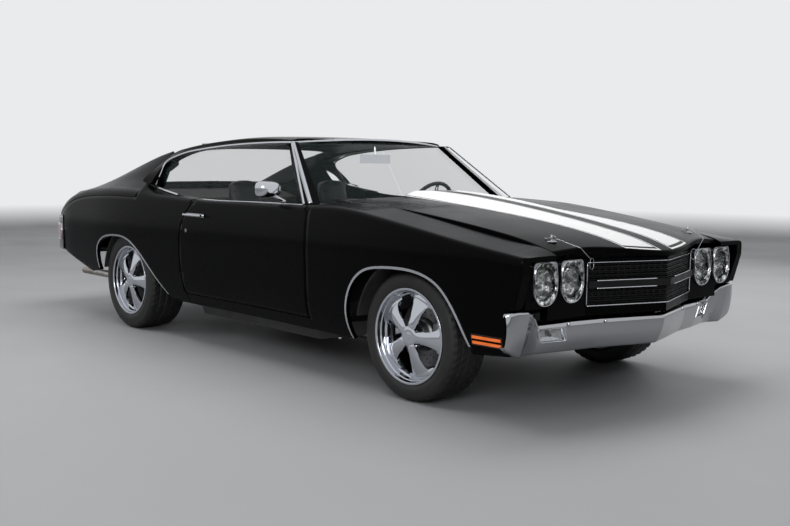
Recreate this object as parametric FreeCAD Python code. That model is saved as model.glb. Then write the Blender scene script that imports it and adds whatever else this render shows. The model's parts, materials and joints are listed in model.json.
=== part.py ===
import FreeCAD, Part
import math
import os

from FreeCAD import Vector as V

# A two-door hardtop muscle car. Millimetres, +X to the front, +Y to the car's left, +Z up,
# with the origin on the ground at the middle of the length.

# Driving dimensions of the whole car
LENGTH = 5009.0
WIDTH = 1915.0
HEIGHT = 1338.0
HALF_LENGTH = LENGTH / 2
HALF_WIDTH = WIDTH / 2
WHEELBASE = LENGTH * 0.567978
FRONT_OVERHANG = LENGTH * 0.180675

# Wheels and tyres
FRONT_TYRE_RADIUS = 326.0
FRONT_TYRE_WIDTH = 245.0
FRONT_WHEEL_Y = HALF_WIDTH * 0.802089
REAR_TYRE_RADIUS = 338.0
REAR_TYRE_WIDTH = 275.0
REAR_WHEEL_Y = HALF_WIDTH * 0.795822
BEAD_RADIUS = 228.0
RIM_LIP_RADIUS = 240.0
RIM_WALL = 10.0
LIP_WIDTH = 16.0
TREAD_SHOULDER = 26.0
BELLY = 8.0
SPOKE_COUNT = 5
SPOKE_HUB_HALF_WIDTH = 20.0
SPOKE_RIM_HALF_WIDTH = 62.0
SPOKE_THICKNESS = 34.0
HUB_RADIUS = 66.0
HUB_CAP_RADIUS = 34.0
DISC_RADIUS = 165.0
DISC_THICKNESS = 24.0
DISC_HAT_RADIUS = 82.0

# Panels and gaps
SIDE_WALL = 22.0
PANEL = 20.0
MOVING_GAP = 5.5
REAR_DOOR_GAP = 7.6
INNER_DOOR_GAP = 12.0
SEAT_GAP = 0.3
OVERRUN = 30.0
GLASS = 6.0
FIRM_WALL = 12.0

# Doors
DOOR_FRONT_X = HALF_LENGTH * 0.339389
DOOR_BOTTOM = HEIGHT * 0.248132
DOOR_INNER_Y = HALF_WIDTH * 0.875196
DOOR_STEP_DEPTH = 45.0
BELT_Z = HEIGHT * 0.699552
BELT_Y = HALF_WIDTH * 0.900261
SHOULDER_ROUND = 26.0

# Greenhouse
GLASS_TOP_Y = HALF_WIDTH * 0.673629
GLASS_TOP_Z = HEIGHT * 0.964126
ROOF_WALL = 34.0
PILLAR_WIDTH = 52.0
WINDSHIELD_TOP_X = HALF_LENGTH * 0.11659
WINDSHIELD_TOP_CENTRE_X = HALF_LENGTH * 0.158914
WINDSHIELD_TOP_Y = HALF_WIDTH * 0.628721
WINDSHIELD_TOP_Z = HEIGHT * 0.963378
WINDSHIELD_BASE_X = HALF_LENGTH * 0.279497
WINDSHIELD_BASE_CENTRE_X = HALF_LENGTH * 0.338591
WINDSHIELD_BASE_Y = HALF_WIDTH * 0.778068
WINDSHIELD_BASE_Z = HEIGHT * 0.710015
SAIL_X = HALF_LENGTH * -0.421242

# Hood and decklid
HOOD_HALF_WIDTH = HALF_WIDTH * 0.73107
HOOD_REAR_X = HALF_LENGTH * 0.34418
HOOD_REAR_CENTRE_X = HALF_LENGTH * 0.36135
BULGE_HEIGHT = 34.0
BULGE_HALF_WIDTH = HALF_WIDTH * 0.313316
BULGE_NOSE_X = HALF_LENGTH * 0.870433
NOSE_ROUND = 60.0
HOOD_ROWS = 15
HOOD_COLUMNS = 37
DECK_FRONT_X = HALF_LENGTH * -0.628868
DECK_REAR_X = HALF_LENGTH * -0.955081
DECK_LIP_Z = HEIGHT * 0.575486

# Nose
LAMP_Z = HEIGHT * 0.48281
LAMP_INNER_Y = HALF_WIDTH * 0.584856
LAMP_OUTER_Y = HALF_WIDTH * 0.784334
LAMP_FACE_X = HALF_LENGTH * 0.930325
LAMP_RADIUS = 73.0
BEZEL_WIDTH = HALF_WIDTH * 0.171279
BEZEL_HEIGHT = HEIGHT * 0.147982
BEZEL_DEPTH = 26.0
GRILLE_HALF_WIDTH = HALF_WIDTH * 0.465796
GRILLE_TOP = HEIGHT * 0.543348
GRILLE_BOTTOM = HEIGHT * 0.38864
GRILLE_CENTRE_X = HALF_LENGTH * 0.991815
GRILLE_SIDE_X = HALF_LENGTH * 0.931523
GRILLE_BAR = 7.0
GRILLE_BAR_COUNT = 11
GRILLE_DEPTH = 40.0
BUMPER_TOP = HEIGHT * 0.343797
BUMPER_BOTTOM = HEIGHT * 0.234679
BUMPER_WALL = 14.0
BUMPER_LEDGE = 70.0
BUMPER_EDGE = 8.0
BUMPER_BAR_SHARES = (0, 0.2, 0.52, 0.765, 0.94, 1)
BUMPER_CUT_SHARE = 0.908764
CAP_TOP = HEIGHT * 0.396861

# Frame and running gear
RAIL_WIDTH = 70.0
RAIL_HEIGHT = 100.0
KINGPIN_Y = HALF_WIDTH * 0.770757
ARCH_LINER = 374.0
TUBE_RADIUS = 28.0
AXLE_TUBE_RADIUS = 38.0
DIFFERENTIAL_RADIUS = 120.0
SHAFT_RADIUS = 34.0

FRONT_AXLE_X = HALF_LENGTH - FRONT_OVERHANG
REAR_AXLE_X = FRONT_AXLE_X - WHEELBASE

# Outlines as hand-chosen shares. X is a share of half the length, Y of half the width, Z of the height.
WIDEST_SHARES = (
    (-0.9742, 0.8961), (-0.9183, 0.9326), (-0.7986, 0.9671), (-0.6389, 0.9922), (-0.4971, 0.9995),
    (-0.3194, 0.9911), (-0.1597, 0.9817), (0.0799, 0.9723), (0.3194, 0.9828), (0.4991, 0.9932),
    (0.6389, 0.9963), (0.7986, 0.9901), (0.9183, 0.9755),
)
INSET_SHARES = (
    (0.1495, 0.1003), (0.1958, 0.0668), (0.2466, 0.0334), (0.3027, 0.0136), (0.3587, 0.0063),
    (0.4484, 0.0016), (0.5717, 0), (0.6353, 0.0073), (0.6726, 0.0167), (0.7175, 0.0376),
)
SHOULDER_SHARES = (
    (-0.9742, 0.583), (-0.9423, 0.607), (-0.9183, 0.6278), (-0.8465, 0.677), (-0.7986, 0.6973),
    (-0.6988, 0.713), (-0.6389, 0.716), (-0.4971, 0.7138), (-0.3594, 0.7063), (-0.1597, 0.6981),
    (0.0799, 0.6966), (0.3194, 0.7025), (0.436, 0.704),
    (0.5255, 0.6868), (0.6716, 0.6487), (0.803, 0.6114), (0.8924, 0.5882), (0.9503, 0.5755),
)
HOOD_EDGE_SHARES = (
    (0.3394, 0.722), (0.4452, 0.7138), (0.6229, 0.6839), (0.7886, 0.6435), (0.8904, 0.6069),
    (0.9303, 0.5852),
)
HOOD_CENTRE_SHARES = (
    (0.3394, 0.7354), (0.4452, 0.7265), (0.6229, 0.6988), (0.7886, 0.6637), (0.8904, 0.6323),
    (0.9583, 0.5994), (0.9982, 0.571),
)
HOOD_NOSE_SHARES = (
    (0, 0.995), (0.1525, 0.9806), (0.3133, 0.9583), (0.471, 0.9407), (0.5849, 0.9343),
    (0.7311, 0.9295),
)
BUMPER_NOSE_SHARES = (
    (0, 0.9894), (0.1525, 0.9719), (0.3906, 0.9431), (0.5744, 0.9299), (0.7509, 0.912),
)
SILL_SHARES = (
    (-0.4212, 0.7743), (-0.3817, 0.7564), (-0.3406, 0.7369), (-0.2444, 0.7138), (-0.1517, 0.701),
    (0.0799, 0.6996), (0.2995, 0.701),
)
ROOF_SHARES = (
    (-0.4971, 0.8939), (-0.4212, 0.932), (-0.3434, 0.9596), (-0.2396, 0.9806), (-0.1198, 0.9955),
    (-0.024, 1), (0.0599, 0.997), (0.1198, 0.9903), (0.1677, 0.9813),
)
RAIL_Y_SHARES = (
    (-0.4971, 0.6977), (-0.4212, 0.6977), (-0.3434, 0.6935), (-0.1996, 0.6851), (-0.0399, 0.6809),
    (0.1677, 0.6726),
)
SAIL_CREST_Z_SHARES = (
    (-0.9663, 0.6913), (-0.9183, 0.701), (-0.7986, 0.7399), (-0.7187, 0.7818), (-0.6389, 0.8266),
    (-0.5482, 0.8744), (-0.4791, 0.9058), (-0.4212, 0.9268),
)
SAIL_CREST_Y_SHARES = (
    (-0.9663, 0.7311), (-0.7986, 0.7206), (-0.6389, 0.6893), (-0.5482, 0.6768), (-0.4212, 0.6684),
)
SAIL_INNER_Y_SHARES = (
    (-0.9663, 0.6841), (-0.7986, 0.6841), (-0.6788, 0.6684), (-0.5482, 0.6392), (-0.4212, 0.6266),
)
DECK_EDGE_SHARES = (
    (-0.9663, 0.6861), (-0.9183, 0.701), (-0.7986, 0.7294), (-0.6788, 0.7504), (-0.5989, 0.7608),
    (-0.5482, 0.7818), (-0.4212, 0.8714),
)
FRONT_ARCH_SHARES = (
    (0.4839, 0.1495), (0.4775, 0.2466), (0.4791, 0.3326), (0.5003, 0.42), (0.537, 0.4709),
    (0.5869, 0.4895), (0.6404, 0.494), (0.6947, 0.4858), (0.7427, 0.4522), (0.7786, 0.3849),
    (0.8065, 0.299), (0.8325, 0.1794),
)
REAR_ARCH_SHARES = (
    (-0.6229, 0.2466), (-0.642, 0.3288), (-0.6436, 0.4036), (-0.6129, 0.4559), (-0.559, 0.4791),
    (-0.5071, 0.4828), (-0.4592, 0.4709), (-0.3993, 0.4163), (-0.3394, 0.3333), (-0.2795, 0.2354),
    (-0.2476, 0.1644),
)
DOOR_REAR_SHARES = (
    (-0.127, 0.7474), (-0.1318, 0.6951), (-0.1485, 0.6577), (-0.1757, 0.5904), (-0.1861, 0.5232),
    (-0.1893, 0.4185), (-0.1829, 0.3288), (-0.1741, 0.2242),
)
WINDOW_SHARES = (
    (0.2987, 0.701), (-0.1517, 0.701), (-0.2444, 0.7138), (-0.3406, 0.7369), (-0.3817, 0.7564),
)
WINDOW_REAR_SHARES = (
    (-0.3817, 0.7564), (-0.3893, 0.8102), (-0.3945, 0.858), (-0.3825, 0.8834),
)
WINDOW_TOP_SHARES = (
    (-0.3825, 0.8834), (-0.3514, 0.9021), (-0.3058, 0.9215), (-0.2408, 0.9357), (-0.1757, 0.9462),
    (-0.0998, 0.9552), (-0.0188, 0.9611), (0.0599, 0.9641), (0.1374, 0.9641),
)


def smooth(knots):
    """Natural cubic spline through (x, y) pairs, straight beyond both ends."""
    points = sorted(knots)
    xs = [p[0] for p in points]
    ys = [p[1] for p in points]
    count = len(xs)
    bend = [0.0] * count
    carry = [0.0] * count
    for i in range(1, count - 1):
        before = xs[i] - xs[i - 1]
        after = xs[i + 1] - xs[i]
        weight = before / (before + after)
        pivot = weight * bend[i - 1] + 2
        bend[i] = (weight - 1) / pivot
        turn = (ys[i + 1] - ys[i]) / after - (ys[i] - ys[i - 1]) / before
        carry[i] = (6 * turn / (before + after) - weight * carry[i - 1]) / pivot
    for i in range(count - 2, 0, -1):
        bend[i] = bend[i] * bend[i + 1] + carry[i]
    bend[0] = 0.0

    def value(x):
        x0 = min(max(x, xs[0]), xs[-1])
        i = max(k for k in range(count - 1) if k == 0 or xs[k] <= x0)
        step = xs[i + 1] - xs[i]
        a = (xs[i + 1] - x0) / step
        b = (x0 - xs[i]) / step
        bow = ((a ** 3 - a) * bend[i] + (b ** 3 - b) * bend[i + 1]) * step * step / 6
        y = a * ys[i] + b * ys[i + 1] + bow
        slope = (ys[i + 1] - ys[i]) / step
        slope += ((3 * b * b - 1) * bend[i + 1] - (3 * a * a - 1) * bend[i]) * step / 6
        return y + slope * (x - x0)

    return value


def scaled(shares, first, second):
    return [(a * first, b * second) for a, b in shares]


def xz(shares):
    return scaled(shares, HALF_LENGTH, HEIGHT)


def over_length(shares, size):
    return smooth(scaled(shares, HALF_LENGTH, size))


widest = over_length(WIDEST_SHARES, HALF_WIDTH)
inset = smooth(scaled(INSET_SHARES, HEIGHT, HALF_WIDTH))
shoulder = over_length(SHOULDER_SHARES, HEIGHT)
hood_edge = over_length(HOOD_EDGE_SHARES, HEIGHT)
hood_centre = over_length(HOOD_CENTRE_SHARES, HEIGHT)
sill = over_length(SILL_SHARES, HEIGHT)
roof_top = over_length(ROOF_SHARES, HEIGHT)
rail_y = over_length(RAIL_Y_SHARES, HALF_WIDTH)
crest_z = over_length(SAIL_CREST_Z_SHARES, HEIGHT)
crest_y = over_length(SAIL_CREST_Y_SHARES, HALF_WIDTH)
sail_inner_y = over_length(SAIL_INNER_Y_SHARES, HALF_WIDTH)
deck_edge = over_length(DECK_EDGE_SHARES, HEIGHT)
hood_nose = smooth(scaled(HOOD_NOSE_SHARES, HALF_WIDTH, HALF_LENGTH))
bumper_nose = smooth(scaled(BUMPER_NOSE_SHARES, HALF_WIDTH, HALF_LENGTH))


def side_y(x, z):
    """Half-width of the outer skin at one place along the car and one height."""
    return widest(x) - inset(z)


def between(low, high, share):
    return low + (high - low) * share


def spread(low, high, count):
    return [between(low, high, i / (count - 1)) for i in range(count)]


def line(a, b):
    return Part.LineSegment(a, b).toShape()


def polyline(points):
    return [line(a, b) for a, b in zip(points, points[1:])]


def curve(points):
    spline = Part.BSplineCurve()
    spline.interpolate(points)
    return spline.toShape()


def bend_edge(a, corner, b):
    bezier = Part.BezierCurve()
    bezier.setPoles([a, corner, b])
    return bezier.toShape()


def loft(wires, ruled=False):
    return Part.makeLoft(wires, True, ruled)


def mirrored(shape):
    return shape.mirror(V(0, 0, 0), V(0, 1, 0))


def both(shape):
    return [shape, mirrored(shape)]


def joined(shapes):
    solid = shapes[0]
    if len(shapes) > 1:
        solid = solid.multiFuse(shapes[1:])
    return solid.removeSplitter()


def box(x0, x1, y0, y1, z0, z1):
    corner = V(min(x0, x1), min(y0, y1), min(z0, z1))
    return Part.makeBox(abs(x1 - x0), abs(y1 - y0), abs(z1 - z0), corner)


def rod(a, b, radius):
    return Part.makeCylinder(radius, (b - a).Length, a, b - a)


def side_prism(edges, y0, y1):
    """A closed outline in the XZ plane, carried across from y0 to y1."""
    face = Part.Face(Part.Wire(edges))
    face.translate(V(0, y0, 0))
    return face.extrude(V(0, y1 - y0, 0))


def side_polygon(points, y0, y1):
    return side_prism(polyline([V(x, 0, z) for x, z in points + points[:1]]), y0, y1)


def plan_prism(edges, z0, z1):
    """A closed outline in the XY plane, carried up from z0 to z1."""
    face = Part.Face(Part.Wire(edges))
    face.translate(V(0, 0, z0))
    return face.extrude(V(0, 0, z1 - z0))


def plan_polygon(points, z0, z1):
    return plan_prism(polyline([V(x, y, 0) for x, y in points + points[:1]]), z0, z1)


def in_side_view(points):
    return [V(x, 0, z) for x, z in points]


def skin_edge(x, z0, z1, depth):
    heights = spread(z0, z1, 9)
    return curve([V(x, side_y(x, z) - depth, z) for z in heights])


# Fenders

FENDER_REAR_X = DOOR_FRONT_X + MOVING_GAP / 2
FENDER_FRONT_X = HALF_LENGTH * 0.943102
FENDER_NOSE_WALL = 48.0
FENDER_BOTTOM = HEIGHT * 0.195815
FENDER_STATIONS = 13
FENDER_LOW_REAR_Z = HEIGHT * 0.2257
FENDER_LOW_FRONT_Z = HEIGHT * 0.2459
BUMPER_CUT_X = HALF_LENGTH * BUMPER_CUT_SHARE
BUMPER_CUT_TOP = HEIGHT * 0.407324


def fender_wire(x, wall):
    """Section of the fender: outer side, rounded peak, top strip to the hood gap, and the inner faces."""
    peak = shoulder(x)
    start = peak - SHOULDER_ROUND
    top_y = HOOD_HALF_WIDTH + MOVING_GAP
    edge_z = min(hood_edge(x), peak + SIDE_WALL)
    corner = V(x, side_y(x, peak), peak)
    inner_top = V(x, top_y, edge_z)
    reach = (inner_top - corner).normalize() * SHOULDER_ROUND
    low = V(x, side_y(x, FENDER_BOTTOM), FENDER_BOTTOM)
    low_in = V(x, low.y - wall, FENDER_BOTTOM)
    high_in = V(x, side_y(x, start) - wall, start)
    under = V(x, corner.y - wall, peak - PANEL)
    edge_under = V(x, top_y, edge_z - PANEL)
    return Part.Wire([
        skin_edge(x, FENDER_BOTTOM, start, 0),
        bend_edge(V(x, side_y(x, start), start), corner, corner + reach),
        line(corner + reach, inner_top),
        line(inner_top, edge_under),
        line(edge_under, under),
        line(under, high_in),
        curve([V(x, side_y(x, z) - wall, z) for z in spread(start, FENDER_BOTTOM, 9)]),
        line(low_in, low),
    ])


def arch_prism(shares, y0, y1):
    """Wheel opening in side view, closed below the car."""
    points = xz(shares)
    arch = curve(in_side_view(points))
    base = in_side_view([points[-1], (points[-1][0], -OVERRUN), (points[0][0], -OVERRUN), points[0]])
    return side_prism([arch] + polyline(base), y0, y1)


def fender():
    stations = spread(FENDER_REAR_X, FENDER_FRONT_X, FENDER_STATIONS)
    wires = []
    for x in stations:
        share = max(0, (x - stations[-3]) / (stations[-1] - stations[-3]))
        wires.append(fender_wire(x, between(SIDE_WALL, FENDER_NOSE_WALL, share)))
    solid = loft(wires)
    solid = solid.cut(arch_prism(FRONT_ARCH_SHARES, 0, WIDTH))
    front_low = xz(FRONT_ARCH_SHARES)[-2]
    apron = [
        (front_low[0] - OVERRUN, 0), (front_low[0] - OVERRUN, FENDER_LOW_REAR_Z),
        (BUMPER_CUT_X, FENDER_LOW_FRONT_Z),
        (BUMPER_CUT_X, BUMPER_CUT_TOP),
        (FENDER_FRONT_X - PANEL * 2, BUMPER_CUT_TOP), (FENDER_FRONT_X + PANEL, shoulder(FENDER_FRONT_X)),
        (FENDER_FRONT_X + PANEL * 2, 0),
    ]
    return solid.cut(side_polygon(apron, 0, WIDTH))


# Doors

def door_gap_curve(shift):
    return [(x + shift, z) for x, z in xz(DOOR_REAR_SHARES)]


def door_wire(x, outer):
    """Section of the door slab: outer side, rounded shoulder, belt shelf and the flat inner face."""
    peak = shoulder(x)
    start = peak - SHOULDER_ROUND
    belt = V(x, DOOR_INNER_Y, sill(x))
    corner = V(x, side_y(x, peak) - outer, peak)
    reach = (belt - corner).normalize() * SHOULDER_ROUND
    low = V(x, side_y(x, FENDER_BOTTOM) - outer, FENDER_BOTTOM)
    low_in = V(x, DOOR_INNER_Y, FENDER_BOTTOM)
    return Part.Wire([
        skin_edge(x, FENDER_BOTTOM, start, outer),
        bend_edge(V(x, side_y(x, start) - outer, start), corner, corner + reach),
        line(corner + reach, belt),
        line(belt, low_in),
        line(low_in, low),
    ])


def slab(x0, x1, count=9):
    return loft([door_wire(x, 0) for x in spread(x0, x1, count)])


def door_outline(front, rear_shift, bottom, y0, y1):
    """Everything between the front gap, the curved rear gap and the bottom gap."""
    rear = door_gap_curve(rear_shift)
    top = HEIGHT
    edges = [curve(in_side_view(rear))]
    low_z = rear[-1][1]
    edges += polyline(in_side_view([
        rear[-1], (front, low_z), (front, top), (rear[0][0], top), rear[0],
    ]))
    prism = side_prism(edges, y0, y1)
    return prism.common(box(-LENGTH, LENGTH, y0, y1, bottom, HEIGHT * 2))


def door():
    rear_x = min(p[0] for p in xz(DOOR_REAR_SHARES)) - OVERRUN
    body = slab(rear_x, DOOR_FRONT_X)
    front = DOOR_FRONT_X - MOVING_GAP / 2
    body = body.common(door_outline(front, REAR_DOOR_GAP / 2, DOOR_BOTTOM, 0, WIDTH))
    step = INNER_DOOR_GAP - REAR_DOOR_GAP
    inner_y = side_y(rear_x, DOOR_BOTTOM) - DOOR_STEP_DEPTH
    keep = door_outline(front, REAR_DOOR_GAP / 2 + step, DOOR_BOTTOM, 0, inner_y)
    outer = box(-LENGTH, LENGTH, inner_y, WIDTH, 0, HEIGHT)
    return body.common(outer).fuse(body.common(keep)).removeSplitter()


def glass_y(z):
    """The side glass leans in a plane from the belt to the roof rail."""
    lean = (GLASS_TOP_Y - BELT_Y) / (GLASS_TOP_Z - BELT_Z)
    return BELT_Y + lean * (z - BELT_Z)


def leaning_glass(edge_points):
    """A flat pane in the leaning plane of the side windows, from its outline in side view."""
    points = [V(x, glass_y(z), z) for x, z in edge_points]
    face = Part.Face(Part.Wire(polyline(points + points[:1])))
    return face.extrude(V(0, -GLASS, 0))


DOOR_GLASS_TOP_GAP = 9.0
DOOR_GLASS_REAR_X = HALF_LENGTH * -0.126971
DOOR_GLASS_BOTTOM = HEIGHT * 0.702541
GLASS_SPLIT = 12.0


def door_glass():
    top = [p for p in xz(WINDOW_TOP_SHARES) if p[0] > DOOR_GLASS_REAR_X]
    rail = smooth(xz(WINDOW_TOP_SHARES))
    points = [(DOOR_GLASS_REAR_X, DOOR_GLASS_BOTTOM),
              (DOOR_GLASS_REAR_X, rail(DOOR_GLASS_REAR_X) - DOOR_GLASS_TOP_GAP)]
    points += [(x - (DOOR_GLASS_TOP_GAP * 2 if i == len(top) - 1 else 0), z - DOOR_GLASS_TOP_GAP)
               for i, (x, z) in enumerate(top)]
    points.append((xz(WINDOW_SHARES)[0][0] - DOOR_GLASS_TOP_GAP * 2, DOOR_GLASS_BOTTOM))
    return leaning_glass(points)


def quarter_glass():
    rail = smooth(xz(WINDOW_TOP_SHARES))
    front = DOOR_GLASS_REAR_X - GLASS_SPLIT
    base = smooth(xz(WINDOW_SHARES))
    rear = xz(WINDOW_REAR_SHARES)
    top = [p for p in xz(WINDOW_TOP_SHARES) if p[0] < front]
    lift = SEAT_GAP * 3
    points = [(front, base(front) + lift)]
    points += [(x, z + lift) for x, z in xz(WINDOW_SHARES)[2:4]]
    points += [(x + lift, z) for x, z in rear[1:]]
    points += [(x, z - lift) for x, z in top[1:]]
    points.append((front, rail(front) - lift * 2))
    return leaning_glass(points)


MIRROR_X = HALF_LENGTH * 0.19365
MIRROR_Y = HALF_WIDTH * 0.981723
MIRROR_Z = HEIGHT * 0.7616
MIRROR_HALF_WIDTH = 78.0
MIRROR_HALF_HEIGHT = 46.0
MIRROR_DEPTH = 62.0
MIRROR_SHARES = ((0, 1), (0.45, 0.96), (0.8, 0.76), (1, 0.42))
MIRROR_SQUARE_SHARE = 0.55
MIRROR_POINTS = 20
MIRROR_FOOT_X = HALF_LENGTH * 0.217609
HANDLE_X = HALF_LENGTH * -0.113795
LOCK_X = HALF_LENGTH * -0.154921
LOCK_Z = HEIGHT * 0.551
HANDLE_LENGTH = 205.0
HANDLE_Z = HEIGHT * 0.626308
HANDLE_HEIGHT = 20.0
HANDLE_REACH = 26.0


def mirror_wire(x, grow):
    """A rounded rectangle across the car: a superellipse through evenly turned points."""
    points = []
    for i in range(MIRROR_POINTS):
        turn = 2 * math.pi * i / MIRROR_POINTS
        y = abs(math.cos(turn)) ** MIRROR_SQUARE_SHARE * math.copysign(1, math.cos(turn))
        z = abs(math.sin(turn)) ** MIRROR_SQUARE_SHARE * math.copysign(1, math.sin(turn))
        points.append(V(x, MIRROR_Y + MIRROR_HALF_WIDTH * grow * y, MIRROR_Z + MIRROR_HALF_HEIGHT * grow * z))
    ring = Part.BSplineCurve()
    ring.interpolate(points, PeriodicFlag=True)
    return Part.Wire([ring.toShape()])


def door_mirror():
    """Chrome mirror head on its arm, seated on the belt of the door."""
    wires = [mirror_wire(MIRROR_X + MIRROR_DEPTH * share, grow) for share, grow in MIRROR_SHARES]
    head = loft(wires)
    foot_z = sill(MIRROR_FOOT_X) + HANDLE_HEIGHT * 0.6
    foot = V(MIRROR_FOOT_X, side_y(MIRROR_FOOT_X, BELT_Z) - HANDLE_REACH * 2, foot_z)
    arm = rod(foot, V(MIRROR_X + MIRROR_DEPTH / 2, MIRROR_Y, MIRROR_Z - MIRROR_HALF_HEIGHT / 2),
              HANDLE_HEIGHT / 2)
    return joined([head, arm])


def door_handle():
    """Grip bar on two feet with its backing plate, and the round lock below it."""
    half = HANDLE_LENGTH / 2
    low = HANDLE_Z - HANDLE_HEIGHT / 2
    y = max(side_y(HANDLE_X - half, low), side_y(HANDLE_X + half, low)) + SEAT_GAP * 2
    plate = box(HANDLE_X - half, HANDLE_X + half, y, y + MOULDING_PROUD, low, HANDLE_Z + HANDLE_HEIGHT / 2)
    reach = y + HANDLE_REACH
    bar = rod(V(HANDLE_X - half, reach, HANDLE_Z), V(HANDLE_X + half, reach, HANDLE_Z),
              HANDLE_HEIGHT * 0.35)
    feet = [rod(V(HANDLE_X + place, y, HANDLE_Z), V(HANDLE_X + place, reach, HANDLE_Z),
                HANDLE_HEIGHT * 0.35)
            for place in (HANDLE_HEIGHT - half, half - HANDLE_HEIGHT)]
    lock_y = side_y(LOCK_X, LOCK_Z - HANDLE_HEIGHT / 2) + SEAT_GAP * 2
    lock = rod(V(LOCK_X, lock_y, LOCK_Z), V(LOCK_X, lock_y + MOULDING_PROUD, LOCK_Z), HANDLE_HEIGHT * 0.6)
    return [joined([plate, bar] + feet), lock]


# Quarter panels with their sails, and rockers

QUARTER_REAR_X = HALF_LENGTH * -0.956678
QUARTER_FRONT_X = HALF_LENGTH * -0.279497
DOOR_REAR_LIMIT_X = HALF_LENGTH * -0.128569
TAIL_LOW_X = HALF_LENGTH * -0.903174
TAIL_LOW_Z = HEIGHT * 0.358744
QUARTER_LOW_X = HALF_LENGTH * -0.695947
QUARTER_LOW_Z = HEIGHT * 0.269806
REAR_BUMPER_TOP = HEIGHT * 0.559791
REAR_BUMPER_BOTTOM = HEIGHT * 0.361734
ROCKER_INNER_Y = HALF_WIDTH * 0.835509
ROCKER_GAP = 3.5


def sail_under(x, crest, inner, mid, low, wall):
    """Corners of the sail's inner face, from the deck's edge outwards."""
    return [V(x, inner.y, inner.z - PANEL), V(x, crest.y + wall / 2, min(crest.z, inner.z) - PANEL),
            V(x, mid.y - wall, low)]


def sail_wire(x, wall):
    """Section of the quarter behind the side window: side, soft shoulder, sail up to its crest, inner wall."""
    peak = shoulder(x)
    soft = min(1, max(0, (SAIL_X - x) / (SAIL_X - QUARTER_REAR_X)))
    start = peak - SHOULDER_ROUND * between(1, 2.4, soft)
    top = max(crest_z(x), peak - SHOULDER_ROUND / 2)
    rise = top - peak
    deck = min(deck_edge(x), top - SEAT_GAP)
    hip = V(x, side_y(x, peak) - SHOULDER_ROUND / 2, peak)
    crest = V(x, crest_y(x), top)
    mid = V(x, between(hip.y, crest.y, 0.55), peak + rise * between(0.36, 0.6, soft))
    high = V(x, between(hip.y, crest.y, 0.82), peak + rise * between(0.72, 0.88, soft))
    join = hip + (mid - hip) * between(0.25, 0.5, soft)
    inner = V(x, sail_inner_y(x), deck)
    low = V(x, side_y(x, FENDER_BOTTOM), FENDER_BOTTOM)
    low_in = low - V(0, wall, 0)
    under = sail_under(x, crest, inner, mid, peak - wall, wall)
    outer_side = skin_edge(x, FENDER_BOTTOM, start, 0)
    return Part.Wire([
        outer_side,
        bend_edge(V(x, side_y(x, start), start), V(x, side_y(x, peak), peak + rise * 0.04), join),
        curve([join, mid, high, crest]),
        line(crest, inner),
        line(inner, under[0]),
        line(under[0], under[1]),
        line(under[1], under[2]),
        line(under[2], V(x, side_y(x, start - wall) - wall, start - wall)),
        curve([V(x, side_y(x, z) - wall, z) for z in spread(start - wall, FENDER_BOTTOM, 9)]),
        line(low_in, low),
    ])


def quarter():
    rear_stations = spread(QUARTER_REAR_X, SAIL_X, 11)
    rear = loft([sail_wire(x, SIDE_WALL) for x in rear_stations])
    front = loft([fender_like_wire(x) for x in spread(SAIL_X, QUARTER_FRONT_X + LENGTH / 10, 8)])
    gap = REAR_DOOR_GAP / 2
    body = rear.fuse(front).cut(side_prism_ahead(-gap))
    body = body.cut(box(DOOR_REAR_LIMIT_X, LENGTH, 0, WIDTH, 0, HEIGHT))
    body = body.cut(arch_prism(REAR_ARCH_SHARES, 0, WIDTH))
    arch = xz(REAR_ARCH_SHARES)
    low = [
        (arch[0][0] + OVERRUN, arch[0][1] - OVERRUN), (arch[0][0], arch[0][1] + OVERRUN * 2),
        (QUARTER_LOW_X, QUARTER_LOW_Z), (TAIL_LOW_X, TAIL_LOW_Z),
        (QUARTER_REAR_X + OVERRUN, REAR_BUMPER_TOP), (QUARTER_REAR_X - OVERRUN, REAR_BUMPER_TOP),
        (QUARTER_REAR_X - OVERRUN, 0), (arch[0][0] + OVERRUN, 0),
    ]
    bumper_room = box(-LENGTH, REAR_BUMPER_END_X + SEAT_GAP, 0, WIDTH, 0, REAR_BUMPER_TOP + SEAT_GAP)
    return body.cut(side_polygon(low, 0, WIDTH)).cut(bumper_room).removeSplitter()


def side_prism_ahead(shift):
    """Everything ahead of the curved rear gap of the door."""
    rear = door_gap_curve(shift)
    ahead = DOOR_FRONT_X
    edges = [curve(in_side_view(rear))]
    edges += polyline(in_side_view([
        rear[-1], (rear[-1][0], 0), (ahead, 0), (ahead, rear[0][1]), rear[0],
    ]))
    return side_prism(edges, 0, WIDTH)


def fender_like_wire(x):
    """Section of the quarter beside the window: side, shoulder and the shelf up to the sill."""
    peak = shoulder(x)
    start = peak - SHOULDER_ROUND
    top = V(x, BELT_Y - GLASS * 4, sill(x))
    corner = V(x, side_y(x, peak), peak)
    reach = (top - corner).normalize() * SHOULDER_ROUND
    low = V(x, side_y(x, FENDER_BOTTOM), FENDER_BOTTOM)
    return Part.Wire([
        skin_edge(x, FENDER_BOTTOM, start, 0),
        bend_edge(V(x, side_y(x, start), start), corner, corner + reach),
        line(corner + reach, top),
        line(top, V(x, top.y, start - PANEL * 2)),
        line(V(x, top.y, start - PANEL * 2), V(x, side_y(x, start - PANEL * 3) - SIDE_WALL,
                                               start - PANEL * 3)),
        curve([V(x, side_y(x, z) - SIDE_WALL, z) for z in spread(start - PANEL * 3, FENDER_BOTTOM, 8)]),
        line(V(x, low.y - SIDE_WALL, low.z), low),
    ])


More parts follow.
